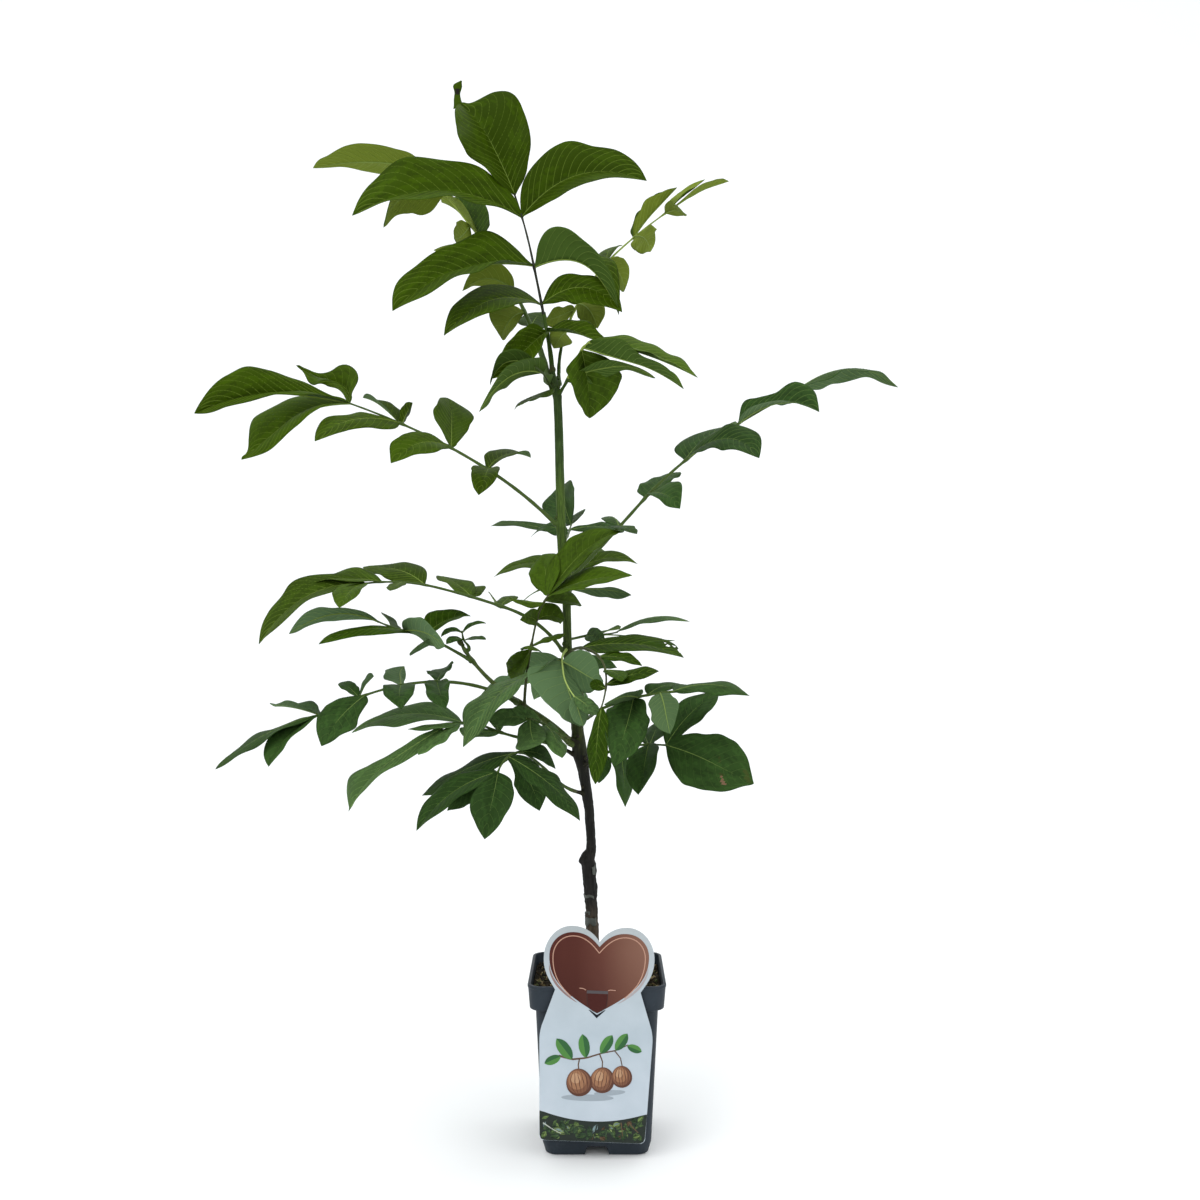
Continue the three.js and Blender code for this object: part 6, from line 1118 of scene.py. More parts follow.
# side shoot: joined to the stem by a collar
t = np.linspace(0, 1, 60)
pts = np.concatenate([[stem_at(SHOOT["at"] - 3)[0] + np.array([-2.5, -0.5, 0]), SHOOT_FOOT * 0.5 + stem_at(SHOOT["at"] - 1)[0] * 0.5], on_line(SHOOT_LINE, t)])
rad = np.concatenate([[6.2, 5.4], (SHOOT["d"][0] * (1 - t) + SHOOT["d"][1] * t) / 2])
on_shoot = [l["at"] * SHOOT["length"] + 8 for l in LEAVES if l["on"] == "shoot"]
rad = swell(pts, rad, [6] + on_shoot, [0.9] + [0.9] * len(on_shoot), 4)
shoot_mesh = Mesh()
tube(shoot_mesh, pts, rad, 18, 0)
bud(buds, SHOOT_LINE[-1] - unit(SHOOT_LINE[-1] - SHOOT_LINE[-3]) * 1.0, SHOOT_LINE[-1] - SHOOT_LINE[-3], 11, 2.6, 1, rng0)
top_mid = np.array([smooth_rows(STEM, [767.0])[0, 0], 0, 767.0])
bud(buds, top_mid - np.array([0, 0, 1.5]), np.array([-0.1, 0.05, 1]), 8.5, 3.1, 1, rng0)

bark = material("bark", (60, 52, 42), 0.7, 0.2)
n, l, b = nodes_of(bark)
tc = n.new("ShaderNodeTexCoord")
sep = n.new("ShaderNodeSeparateXYZ")
l.new(tc.outputs["Object"], sep.inputs[0])
wob = noise(bark, 60, 4, 0.6)
add = n.new("ShaderNodeMath")
add.operation = "MULTIPLY_ADD"
l.new(wob.outputs["Fac"], add.inputs[0])
add.inputs[1].default_value = 0.03
l.new(sep.outputs["Z"], add.inputs[2])
rng_node = n.new("ShaderNodeMapRange")
rng_node.inputs["From Min"].default_value = 0.165
rng_node.inputs["From Max"].default_value = 0.785
l.new(add.outputs[0], rng_node.inputs["Value"])
zf = lambda zz: (zz / 1000 + 0.015 - 0.165) / 0.62
# Both ramps darken from 640 mm to 690 mm and stay dark up to the stem's top at 767 mm: painted shade of the crown's
# leaves above.
dark_tone = ramp(bark, rng_node.outputs[0], [(zf(165), (52, 44, 32)), (zf(205), (56, 48, 38)), (zf(235), (19, 18, 16)), (zf(262), (13, 13, 12)), (zf(285), (16, 15, 13)),
                                             (zf(305), (12, 12, 10)), (zf(382), (14, 14, 10)), (zf(397), (30, 36, 12)), (zf(430), (36, 46, 14)), (zf(560), (40, 58, 12)),
                                             (zf(640), (46, 66, 18)), (zf(690), (38, 58, 18)), (zf(767), (40, 58, 20))])
light_tone = ramp(bark, rng_node.outputs[0], [(zf(165), (92, 76, 56)), (zf(205), (88, 76, 60)), (zf(235), (40, 38, 35)), (zf(262), (31, 29, 28)), (zf(285), (36, 34, 30)),
                                              (zf(305), (30, 30, 26)), (zf(382), (34, 34, 26)), (zf(397), (58, 64, 28)), (zf(430), (64, 76, 30)), (zf(560), (70, 92, 28)),
                                              (zf(640), (80, 104, 38)), (zf(690), (64, 88, 40)), (zf(767), (66, 86, 40))])
grain = noise(bark, 420, 6, 0.7, (1, 1, 0.16))
g = ramp(bark, grain.outputs["Fac"], [(0.38, 0.0), (0.66, 1.0)])
l.new(mix_colours(bark, g, dark_tone, light_tone), b.inputs["Base Color"])
bump(bark, grain.outputs["Fac"], 0.5, 0.0006)
spots = noise(bark, 260, 2, 0.5, (1, 1, 0.5), "ShaderNodeTexVoronoi")
bump(bark, spots.outputs["Distance"], 0.2, 0.0004)

shoot_skin = material("shoot_skin", (78, 96, 50), 0.55, 0.2)
sn = noise(shoot_skin, 240, 5, 0.7, (1, 1, 1))
sg = ramp(shoot_skin, sn.outputs["Fac"], [(0.35, 0.0), (0.7, 1.0)])
n, l, b = nodes_of(shoot_skin)
l.new(mix_colours(shoot_skin, sg, (54, 72, 26), (90, 104, 50)), b.inputs["Base Color"])
bump(shoot_skin, sn.outputs["Fac"], 0.25, 0.0003)

rib_mats = [material("rib_green", (62, 82, 28), 0.5, 0.2), material("rib_dark", (38, 40, 30), 0.55, 0.2), material("rib_yellow", (132, 150, 62), 0.5, 0.2), material("rib_young", (84, 108, 50), 0.5, 0.2), material("rib_brown", (66, 72, 38), 0.55, 0.2),
            material("rib_bark", (34, 34, 22), 0.65, 0.1), material("rib_olive", (56, 78, 26), 0.5, 0.1), material("rib_pale", (158, 178, 98), 0.5, 0.1)]
bud_mats = [material("bud_green", (56, 72, 26), 0.6, 0.2), material("bud_tip", (62, 68, 30), 0.65, 0.2), material("bud_brown", (46, 42, 30), 0.7, 0.2)]

stem_obj = stem_piece().build("stem_bark", [bark])
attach(stem_obj, "root")
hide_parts("main_stem")
shoot_obj = shoot_mesh.build("shoot_limb", [shoot_skin])
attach(shoot_obj, "root")
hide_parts("side_shoot")
ribs_obj = ribs.build("leaf_ribs", rib_mats)
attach(ribs_obj, "root")
stalks = [n_ for n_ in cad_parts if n_.endswith("_stalk")]
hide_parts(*stalks)
buds_obj = buds.build("resting_buds", bud_mats)
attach(buds_obj, "root")
for zone, (bl, ve) in halves.items():
    o = bl.build("leaf_blades_" + zone, leaf_mats)
    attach(o, "root")
    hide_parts(*[nm + "_frond" for nm in fronds_of[zone]])
    v_ = ve.build("leaf_veins_" + zone, vein_mats)
    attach(v_, "root")
    print("piece", zone, sum(len(f) * (f.shape[1] - 2) for f in bl.f), sum(len(f) * (f.shape[1] - 2) for f in ve.f))


# ------------------------------------------------------------------ pot
POT_H, RIM, BAND_H, BAND_LIP, WALL_TOP, BASE, FOOT, FOOT_H, WALL_T, FLOOR_T, CORNER = 167, 67, 24, 65, 59.4, 53, 50.5, 11, 2.2, 10.4, 12
STEPS, EDGE = 10, 8


def square_ring(half, radius, z, bow=0.0):
    """A level rounded square with points along its corners and its sides. bow pushes the middle of each side out."""
    pts = []
    for q in range(4):
        c = np.array([1 if q in (0, 3) else -1, 1 if q < 2 else -1]) * (half - radius)
        for i in range(STEPS + 1):
            a = q * math.pi / 2 + i / STEPS * math.pi / 2
            pts.append((c[0] + radius * math.cos(a), c[1] + radius * math.sin(a)))
        a = (q + 1) * math.pi / 2
        nxt = np.array([1 if (q + 1) % 4 in (0, 3) else -1, 1 if (q + 1) % 4 < 2 else -1]) * (half - radius)
        p0 = np.array(pts[-1])
        p1 = nxt + radius * np.array([math.cos(a), math.sin(a)])
        out = np.array([math.cos(a), math.sin(a)])
        for i in range(1, EDGE):
            f = i / EDGE
            pts.append(tuple(p0 * (1 - f) + p1 * f + out * bow * math.sin(math.pi * f)))
    pts = np.array(pts)
    return np.column_stack([pts, np.broadcast_to(z, len(pts))])


def lathe_square(mesh, rows, mat=0, close=(True, True)):
    rings = [square_ring(*r) for r in rows]
    n = len(rings[0])
    mesh.add(np.concatenate(rings), grid_faces(len(rings), n, wrap=True), mat)
    base = mesh.n - len(rings) * n
    for flag, ring, o, turn in ((close[0], rings[0], 0, -1), (close[1], rings[-1], (len(rings) - 1) * n, 1)):
        if not flag:
            continue
        c = mesh.n
        mesh.v.append(ring.mean(0)[None])
        mesh.n += 1
        f = np.stack([np.full(n, c), base + o + np.arange(n), base + o + (np.arange(n) + 1) % n], 1)
        mesh.f.append(f[:, ::turn] if turn < 0 else f)
        mesh.m.append(np.full(n, mat))


wall_top = POT_H - BAND_H
pot_mesh = Mesh()
outer = [(FOOT - 2.2, CORNER - 1.6, 0), (FOOT - 0.8, CORNER - 0.6, 0.25), (FOOT - 0.15, CORNER, 1.0), (FOOT, CORNER, 2.2)]
outer += [(FOOT + (BASE - FOOT) * k, CORNER, 2.2 + (FOOT_H - 2.2) * k) for k in (0.35, 0.7, 0.95)]
for k in np.linspace(0.02, 0.985, 12):
    outer.append((BASE + (WALL_TOP - BASE) * k, CORNER, FOOT_H + (wall_top - FOOT_H) * k, 0.5 * math.sin(math.pi * k)))
outer += [(WALL_TOP + 0.1, CORNER, wall_top - 1.0), (WALL_TOP + 0.9, CORNER + 0.4, wall_top - 0.25), (BAND_LIP - 0.9, CORNER + 1.8, wall_top - 0.05), (BAND_LIP - 0.2, CORNER + 2, wall_top + 0.5), (BAND_LIP, CORNER + 2, wall_top + 1.4)]
outer += [(BAND_LIP + (RIM - 0.5 - BAND_LIP) * k, CORNER + 2, wall_top + 1.4 + (POT_H - 3.4 - wall_top - 1.4) * k, 0.25 * math.sin(math.pi * k)) for k in (0.25, 0.5, 0.75, 1.0)]
outer += [(RIM - 0.1, CORNER + 2, POT_H - 2.8), (RIM, CORNER + 2, POT_H - 2.0), (RIM - 0.05, CORNER + 2, POT_H - 0.9), (RIM - 0.5, CORNER + 1.8, POT_H - 0.2), (RIM - 1.2, CORNER + 1.4, POT_H)]
inner = [(RIM - WALL_T - 0.4, CORNER + 0.6, POT_H), (RIM - WALL_T - 0.2 - 0.6, CORNER + 0.4, POT_H - 0.4), (RIM - WALL_T - 1.0, CORNER, POT_H - 1.4),
         (BAND_LIP - WALL_T, CORNER, wall_top + 3), (WALL_TOP - WALL_T + 0.2, CORNER - 2, wall_top + 1), (BASE - WALL_T, CORNER - 2, FLOOR_T + 1.5), (BASE - WALL_T - 2, CORNER - 3, FLOOR_T)]
lathe_square(pot_mesh, outer + inner)

pot_mat = material("pot_plastic", (38, 46, 53), 0.52, 0.2)
n, l, b = nodes_of(pot_mat)
cloud = noise(pot_mat, 14, 5, 0.6)
fine = noise(pot_mat, 900, 2, 0.5)
dust = noise(pot_mat, 60, 6, 0.75)
c1 = mix_colours(pot_mat, ramp(pot_mat, cloud.outputs["Fac"], [(0.35, 0.0), (0.7, 1.0)]), (32, 40, 47), (42, 50, 58))
c2 = mix_colours(pot_mat, ramp(pot_mat, dust.outputs["Fac"], [(0.56, 0.0), (0.8, 0.5)]), c1, (74, 80, 84))
l.new(c2, b.inputs["Base Color"])
l.new(ramp(pot_mat, cloud.outputs["Fac"], [(0.3, 0.44), (0.75, 0.6)]), b.inputs["Roughness"])
bump(pot_mat, fine.outputs["Fac"], 0.12, 0.0003)
pot = pot_mesh.build("pot_shell", [pot_mat], smooth=True)
n_before = len(pot.data.polygons)

cutter_mesh = Mesh()
for q in range(4):
    a = q * math.pi / 2
    rot = np.array([[math.cos(a), -math.sin(a), 0], [math.sin(a), math.cos(a), 0], [0, 0, 1]])
    prof = [(-12.3, -2), (12.3, -2), (12.0, 0), (9.8, 7.8), (8.6, 9.2), (-8.6, 9.2), (-9.8, 7.8), (-12.0, 0)]
    near = np.array([(x, -BASE - 6, z) for x, z in prof])
    far = np.array([(x, -BASE + 24, z) for x, z in prof])
    k = len(prof)
    v = np.concatenate([near, far]) @ rot.T
    cutter_mesh.add(v, [[k + i, k + (i + 1) % k, (i + 1) % k, i] for i in range(k)])
    cutter_mesh.f.append(np.array([[0, i, i + 1] for i in range(1, k - 1)]) + cutter_mesh.n - 2 * k)
    cutter_mesh.m.append(np.zeros(k - 2, int))
    cutter_mesh.f.append(np.array([[k, k + i + 1, k + i] for i in range(1, k - 1)]) + cutter_mesh.n - 2 * k)
    cutter_mesh.m.append(np.zeros(k - 2, int))
cutter = cutter_mesh.build("notch_cutter", [pot_mat], smooth=False)


def apply_modifiers(obj):
    dg = bpy.context.evaluated_depsgraph_get()
    me = bpy.data.meshes.new_from_object(obj.evaluated_get(dg))
    obj.modifiers.clear()
    old = obj.data
    obj.data = me
    bpy.data.meshes.remove(old)


mod = pot.modifiers.new("notches", "BOOLEAN")
mod.object = cutter
mod.solver = "EXACT"
apply_modifiers(pot)
print("pot faces", n_before, len(pot.data.polygons), sum(1 for v_ in pot.data.vertices if abs(v_.co.x) < 0.008 and v_.co.y < -0.045 and v_.co.z < 0.0075))
bpy.data.objects.remove(cutter)
me = pot.data
me.polygons.foreach_set("use_smooth", np.ones(len(me.polygons), bool))
me.set_sharp_from_angle(angle=math.radians(32))
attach(pot, "root")
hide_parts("pot")

# ------------------------------------------------------------------ soil
SOIL_TOP = 161
soil_mesh = Mesh()
N = 96
half = BAND_LIP - WALL_T - 0.4
g = np.linspace(-1, 1, N)
X, Y = np.meshgrid(g * half, g * half, indexing="ij")


def soil_height(x, y):
    p = np.stack([x, y, np.zeros_like(x)], -1)
    far = np.hypot(x, y) / RIM
    h = SOIL_TOP - 3.0 * far ** 2 + 1.3 * np.sin(x * 0.11 + 1) * np.cos(y * 0.13) * np.minimum(1, far * 1.2)
    h = h + 1.5 * lumps(p, 11, [(24, 1), (11, 0.8)]) + 1.0 * lumps(p, 12, [(5, 1), (3, 0.8)])
    return h - 0.4 + 2.0 * np.exp(-(((x + 3) ** 2 + y ** 2) / 180))


Zs = soil_height(X, Y)
corner = np.maximum(np.abs(X), np.abs(Y))
r_c = CORNER
over = np.hypot(np.clip(np.abs(X) - (half - r_c), 0, None), np.clip(np.abs(Y) - (half - r_c), 0, None)) > r_c + 0.1
px = np.where(over, np.sign(X) * (half - r_c) + (X - np.sign(X) * (half - r_c)) * 0.72, X)
py = np.where(over, np.sign(Y) * (half - r_c) + (Y - np.sign(Y) * (half - r_c)) * 0.72, Y)
soil_mesh.add(np.stack([px, py, Zs], -1).reshape(-1, 3), grid_faces(N, N)[:, ::-1])
edge = np.concatenate([[(i, 0) for i in range(N)], [(N - 1, j) for j in range(1, N)], [(i, N - 1) for i in range(N - 2, -1, -1)], [(0, j) for j in range(N - 2, 0, -1)]]).astype(int)
ring = np.stack([px[edge[:, 0], edge[:, 1]], py[edge[:, 0], edge[:, 1]], Zs[edge[:, 0], edge[:, 1]]], -1)
lower = ring.copy()
lower[:, :2] *= 0.88
lower[:, 2] = 140
k = len(ring)
soil_mesh.add(np.concatenate([lower, ring]), grid_faces(2, k, wrap=True))
soil_mat = material("soil_peat", (34, 26, 20), 0.95, 0.15)
n, l, b = nodes_of(soil_mat)
sn = noise(soil_mat, 330, 6, 0.75)
l.new(mix_colours(soil_mat, ramp(soil_mat, sn.outputs["Fac"], [(0.35, 0.0), (0.7, 1.0)]), (22, 19, 14), (58, 50, 36)), b.inputs["Base Color"])
bump(soil_mat, sn.outputs["Fac"], 0.9, 0.0012)
soil = soil_mesh.build("soil_bed", [soil_mat])
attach(soil, "root")
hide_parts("soil")

chips = Mesh()
rng = np.random.default_rng(77)
chip_mats = [material("chip_dark", (26, 23, 17), 0.9, 0.1), material("chip_brown", (56, 47, 33), 0.88, 0.1), material("chip_ochre", (110, 94, 62), 0.85, 0.2), material("chip_tan", (150, 134, 100), 0.85, 0.2), material("chip_moss", (78, 84, 50), 0.9, 0.2)]
for i in range(1900):
    x, y = rng.uniform(-half + 2, half - 2, 2)
    if math.hypot(max(abs(x) - (half - r_c), 0), max(abs(y) - (half - r_c), 0)) > r_c - 2.5 or math.hypot(x + 3, y) < 9:
        continue
    kind = rng.choice(5, p=[0.26, 0.29, 0.17, 0.12, 0.16])
    long = rng.uniform(1.6, 6.5) if rng.uniform() < 0.8 else rng.uniform(6, 12)
    thick = rng.uniform(0.5, 1.5) if long < 7 else rng.uniform(0.4, 0.9)
    h = float(soil_height(np.array([x]), np.array([y]))[0])
    a, tilt = rng.uniform(0, 6.28), rng.normal(0, 0.3)
    d = np.array([math.cos(a) * math.cos(tilt), math.sin(a) * math.cos(tilt), math.sin(tilt)])
    bent = np.array([-math.sin(a), math.cos(a), 0]) * rng.normal(0, 0.12) * long
    s_ = np.linspace(-0.5, 0.5, 4)
    pts = np.array([x, y, h + thick * 0.55]) + d * (s_ * long)[:, None] + bent * (s_ ** 2)[:, None] * 4
    if np.abs(pts[:, :2]).max() > half - 0.6:
        continue
    tube(chips, pts, thick * np.array([0.55, 1, 0.9, 0.4]) * rng.uniform(0.7, 1.2, 4), 5, kind, squash=rng.uniform(0.4, 0.9), phase=rng.uniform(0, 6))
chip_obj = chips.build("soil_chips", chip_mats, smooth=False)
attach(chip_obj, "root")

# ------------------------------------------------------------------ label card
CARD = dict(t=0.8, tipZ=138.7, front=-68.9, lean=1.7, turn=2.2)
PLACE = Matrix.Translation((0, CARD["front"], CARD["tipZ"])) @ Matrix.Rotation(math.radians(CARD["lean"]), 4, "X") @ Matrix.Rotation(math.radians(CARD["turn"]), 4, "Y")
PLACE = np.array(PLACE)


def bez(p0, p1, p2, p3, n_=14):
    t_ = np.linspace(0, 1, n_, endpoint=False)[:, None]
    p0, p1, p2, p3 = map(np.array, (p0, p1, p2, p3))
    return (1 - t_) ** 3 * p0 + 3 * (1 - t_) ** 2 * t_ * p1 + 3 * (1 - t_) * t_ * t_ * p2 + t_ ** 3 * p3


def half_outline(*spans, steps=12):
    """The right half of an outline, of curves given by their four points."""
    return np.concatenate([bez(*q, steps) for q in spans] + [np.array([spans[-1][-1]], float)])


def both_halves(half):
    return np.concatenate([half, (half * (-1, 1))[::-1][1:-1]])


def fan(mesh, outline, y0, y1, mat, holes=()):
    """A flat plate of an outline in x and z, from y0 back to y1, its face cut into triangles by tessellate_polygon.
    The outline runs clockwise or not: both work."""
    import bmesh
    from mathutils.geometry import tessellate_polygon
    loops = [[Vector((p[0], 0, p[1])) for p in outline]] + [[Vector((p[0], 0, p[1])) for p in h_] for h_ in holes]
    tris = np.array(tessellate_polygon(loops))
    pts = np.array([p[:] for lp in loops for p in lp])
    front = pts + np.array([0, y0, 0])
    back = pts + np.array([0, y1, 0])
    nrm = np.cross(pts[tris[:, 1]] - pts[tris[:, 0]], pts[tris[:, 2]] - pts[tris[:, 0]])[:, 1]
    tris = np.where((nrm > 0)[:, None], tris[:, ::-1], tris)
    m = len(pts)
    allv = np.concatenate([front, back])
    allv = np.column_stack([allv, np.ones(len(allv))]) @ PLACE.T
    mesh.add(allv[:, :3], np.concatenate([tris, m + tris[:, ::-1]]), mat)
    o = mesh.n - 2 * m
    start = 0
    for lp in loops:
        k_ = len(lp)
        p = np.array([(q.x, q.z) for q in lp])
        area = np.sum(p[:, 0] * np.roll(p[:, 1], -1) - np.roll(p[:, 0], -1) * p[:, 1])
        inner_ = start > 0
        i_ = np.arange(k_)
        j_ = (i_ + 1) % k_
        q = np.stack([start + i_, start + j_, m + start + j_, m + start + i_], 1)
        if (area > 0) == inner_:
            pass
        if (area > 0) != inner_:
            q = q[:, ::-1]
        mesh.f.append(q + o)
        mesh.m.append(np.full(k_, mat))
        start += k_


C = dict(lobeX=26.3, lobeZ=60.6, notchZ=72.5, top=87.2, halfHeart=52.8, neckHalf=40.8, neckZ=25.5, shoulderHalf=54, shoulderZ=-18, footHalf=50.6, footZ=-120)
right = np.concatenate([
    bez((0, C["notchZ"]), (5, C["notchZ"] + 8), (14, C["top"]), (C["lobeX"], C["top"])),
    bez((C["lobeX"], C["top"]), (42, C["top"]), (C["halfHeart"], C["top"] - 15), (C["halfHeart"], C["lobeZ"] - 4)),
    bez((C["halfHeart"], C["lobeZ"] - 4), (C["halfHeart"], C["lobeZ"] - 18), (47, C["neckZ"] + 10), (C["neckHalf"], C["neckZ"])),
    [(C["neckHalf"], C["neckZ"])],
    bez((C["shoulderHalf"] - 1.5, C["shoulderZ"] + 8), (C["shoulderHalf"] - 0.5, C["shoulderZ"] + 4), (C["shoulderHalf"], C["shoulderZ"]), (C["shoulderHalf"], C["shoulderZ"] - 4), 5),
    [(C["shoulderHalf"], C["shoulderZ"] - 4)],
    bez((C["footHalf"], C["footZ"] + 5), (C["footHalf"], C["footZ"] + 2), (C["footHalf"] - 2, C["footZ"]), (C["footHalf"] - 5, C["footZ"]), 5),
    [(C["footHalf"] - 5, C["footZ"])]])
left = (right * (-1, 1))[::-1]
outline = np.concatenate([right, left[:-1]])
card = Mesh()
fan(card, outline, -CARD["t"], 0, 0)
card_mat = material("card_board", (176, 188, 196), 0.55, 0.2)
cn = noise(card_mat, 30, 3, 0.5)
n, l, b = nodes_of(card_mat)
tc = n.new("ShaderNodeTexCoord")
sz = n.new("ShaderNodeSeparateXYZ")
l.new(tc.outputs["Object"], sz.inputs[0])
# The board's colour ramps with height: paler and bluer at its foot, darker and greyer towards its top. This is painted
# light and shade on a board of one colour.
mr = n.new("ShaderNodeMapRange")
mr.inputs["From Min"].default_value = 0.02
mr.inputs["From Max"].default_value = 0.226
l.new(sz.outputs["Z"], mr.inputs["Value"])
card_a = ramp(card_mat, mr.outputs[0], [(0.0, (178, 189, 198)), (0.5, (166, 178, 186)), (0.72, (166, 176, 183)), (0.88, (164, 172, 176)), (1.0, (161, 168, 170))])
card_b = ramp(card_mat, mr.outputs[0], [(0.0, (188, 197, 206)), (0.5, (176, 187, 195)), (0.72, (176, 186, 192)), (0.88, (172, 179, 183)), (1.0, (169, 175, 177))])
l.new(mix_colours(card_mat, ramp(card_mat, cn.outputs["Fac"], [(0.3, 0.0), (0.7, 1.0)]), card_a, card_b), b.inputs["Base Color"])
card_obj = card.build("card_body", [card_mat], smooth=False)

# print on the card: thin coats a tenth of a millimetre proud of it
F0 = -CARD["t"]
print_mesh = Mesh()
HEART = half_outline(((0, 68), (7, 76.5), (14, 81.4), (25, 81.4)), ((25, 81.4), (38, 81.4), (47.5, 71.5), (47.5, 58.8)),
                     ((47.5, 58.8), (47.5, 49), (45, 41), (39, 33)), ((39, 33), (31, 23), (18, 14.2), (0, 4.3)))
fan(print_mesh, both_halves(HEART), F0 - 0.10, F0 + 0.2, 0)


def stroke(line, width, lift, mat):
    """A thin printed line of the given width or widths along a run of points."""
    line = np.asarray(line, float)
    tn_ = np.gradient(line, axis=0)
    tn_ /= np.maximum(np.linalg.norm(tn_, axis=1, keepdims=True), 1e-9)
    nn_ = np.column_stack([-tn_[:, 1], tn_[:, 0]]) * np.broadcast_to(np.asarray(width, float), (len(line),))[:, None] / 2
    fan(print_mesh, np.concatenate([line + nn_, (line - nn_)[::-1]]), F0 - lift, F0 - 0.04, mat)


LINE = half_outline(((0, 62), (6.5, 70.2), (14, 77.8), (25, 77.8)), ((25, 77.8), (36, 77.8), (44, 69), (44, 57.6)),
                    ((44, 57.6), (44, 48), (42, 41), (37.6, 33)), ((37.6, 33), (34, 27.6), (30, 23.6), (25.6, 19.6)))
EDGE_BAND = half_outline(((47.2, 50), (46.3, 43), (43, 37), (38.6, 31.2)), ((38.6, 31.2), (32, 23.5), (26, 19), (19, 13.8)))
for sgn in (1, -1):
    stroke(LINE * (sgn, 1), 0.85, 0.16, 1)
    k_ = np.linspace(0, 1, len(EDGE_BAND))
    out_ = EDGE_BAND + np.column_stack([np.sin(math.pi * k_) ** 0.6 * 1.6, -np.sin(math.pi * k_) ** 0.6 * 1.5])
    fan(print_mesh, np.concatenate([EDGE_BAND, out_[::-1][1:-1]]) * (sgn, 1), F0 - 0.08, F0 - 0.02, 6 if sgn < 0 else 7)
# the slot that hangs the card on the rim: a tongue with a dark seam, and the gap under its tip
TONGUE = np.array([(-10.3, 24.0), (-10.2, 20.0), (-9.4, 12.6), (-8.2, 9.3), (-4.4, 6.6), (0, 4.5), (4.3, 6.8), (8.0, 9.6), (8.9, 12.6), (9.4, 20.0), (9.5, 24.0)])
stroke(TONGUE, 0.62, 0.16, 2)
fan(print_mesh, np.array([(-9.8, 22.9), (9.0, 22.9), (8.9, 16), (8.2, 11), (7.4, 9.6), (0, 5.4), (-7.6, 9.4), (-8.6, 11), (-9.4, 16)]), F0 - 0.13, F0 - 0.04, 8)
fan(print_mesh, np.array([(-10.6, 23.1), (9.7, 23.1), (9.6, 26.0), (-10.4, 26.0)]), F0 - 0.22, F0 - 0.04, 3)
stroke([(-17.7, 27.9), (-14, 27.6), (-11.4, 26.2)], 0.7, 0.16, 1)
stroke([(9.6, 26.4), (12, 27.1), (16.9, 26.8)], 0.7, 0.16, 1)
fan(print_mesh, np.array([(-8.4, 7.4), (-0.2, -0.5), (8.2, 7.6), (6.6, 7.2), (-0.1, 2.7), (-6.4, 6.9)]), F0 - 0.14, F0 - 0.04, 4)

# bottom band: a hedge of printed leaves over a dark ground, crossed by twigs
bx = np.linspace(-1, 1, 25)
band_top = lambda x: -91.0 - 9.2 * (1 - (x / 51.5) ** 2)
half_at = lambda zz: C["footHalf"] + (C["shoulderHalf"] - C["footHalf"]) * (zz - C["footZ"]) / (C["shoulderZ"] - 4 - C["footZ"]) - 0.15
topline = np.column_stack([bx * 50.3, band_top(bx * 50.3)])
topline[0, 0], topline[-1, 0] = -half_at(topline[0, 1]), half_at(topline[-1, 1])
band = np.concatenate([topline, [(C["footHalf"] - 0.3, C["footZ"] + 5), (C["footHalf"] - 1.6, C["footZ"] + 1.5), (C["footHalf"] - 5, C["footZ"] + 0.15),
                                 (-C["footHalf"] + 5, C["footZ"] + 0.15), (-C["footHalf"] + 1.6, C["footZ"] + 1.5), (-C["footHalf"] + 0.3, C["footZ"] + 5)]])
fan(print_mesh, band, F0 - 0.10, F0 + 0.2, 5)
rng = np.random.default_rng(404)


def inside_band(p):
    return (p[:, 1] < band_top(p[:, 0]) - 0.3).all() and (p[:, 1] > C["footZ"] + 0.9).all() and (np.abs(p[:, 0]) < 49.6).all()


for i in range(210):
    cx, cz = rng.uniform(-49, 49), rng.uniform(-119, -89)
    ln, wd, tu = rng.uniform(5.5, 13), rng.uniform(3.2, 6.8), rng.uniform(0, 6.28)
    s_ = np.linspace(0, 1, 9)
    rot = np.array([[math.cos(tu), math.sin(tu)], [-math.sin(tu), math.cos(tu)]])
    tone = int(rng.choice(6, p=[0.3, 0.29, 0.2, 0.1, 0.05, 0.06]))
    for grow, mt in ((1.0, 5), (0.84, 9 + tone), (0.5, 9 + min(tone + 1, 5) if tone < 4 else 9 + tone)):
        w_ = np.sin(math.pi * s_ ** 0.85) * wd / 2 * grow
        sx_ = (s_ - 0.5) * ln * (0.5 + grow / 2)
        p = np.concatenate([np.column_stack([sx_, w_]), np.column_stack([sx_, -w_ * (1.0 if grow > 0.6 else 0.1)])[::-1][1:-1]]) @ rot + (cx, cz)
        if grow == 1.0 and not inside_band(p):
            break
        fan(print_mesh, p, F0 - 0.105 - 0.0004 * i - 0.0001 * (1 - grow), F0 - 0.05, mt)
for x0, z0, x1, z1, w_, mt in ((-48, -105, -20, -118, 2.4, 5), (-38, -99, -40, -112, 1.9, 5), (4, -103, 1, -118, 1.6, 5), (-20, -104, -2, -108, 0.9, 5), (46, -105, 24, -118, 1.2, 15),
                               (27, -101, 29, -113, 1.1, 14), (8, -112, 22, -115, 0.9, 5), (-47.5, -103.5, -30, -112.5, 1.1, 15), (34, -100, 44, -109, 1.3, 14)):
    k_ = np.linspace(0, 1, 7)
    line = np.column_stack([x0 + (x1 - x0) * k_, z0 + (z1 - z0) * k_ + 0.7 * np.sin(3 * k_ + x0)])
    if inside_band(np.concatenate([line + w_ / 2, line - w_ / 2])):
        stroke(line, w_ * (1 - 0.5 * k_), 0.2, mt)

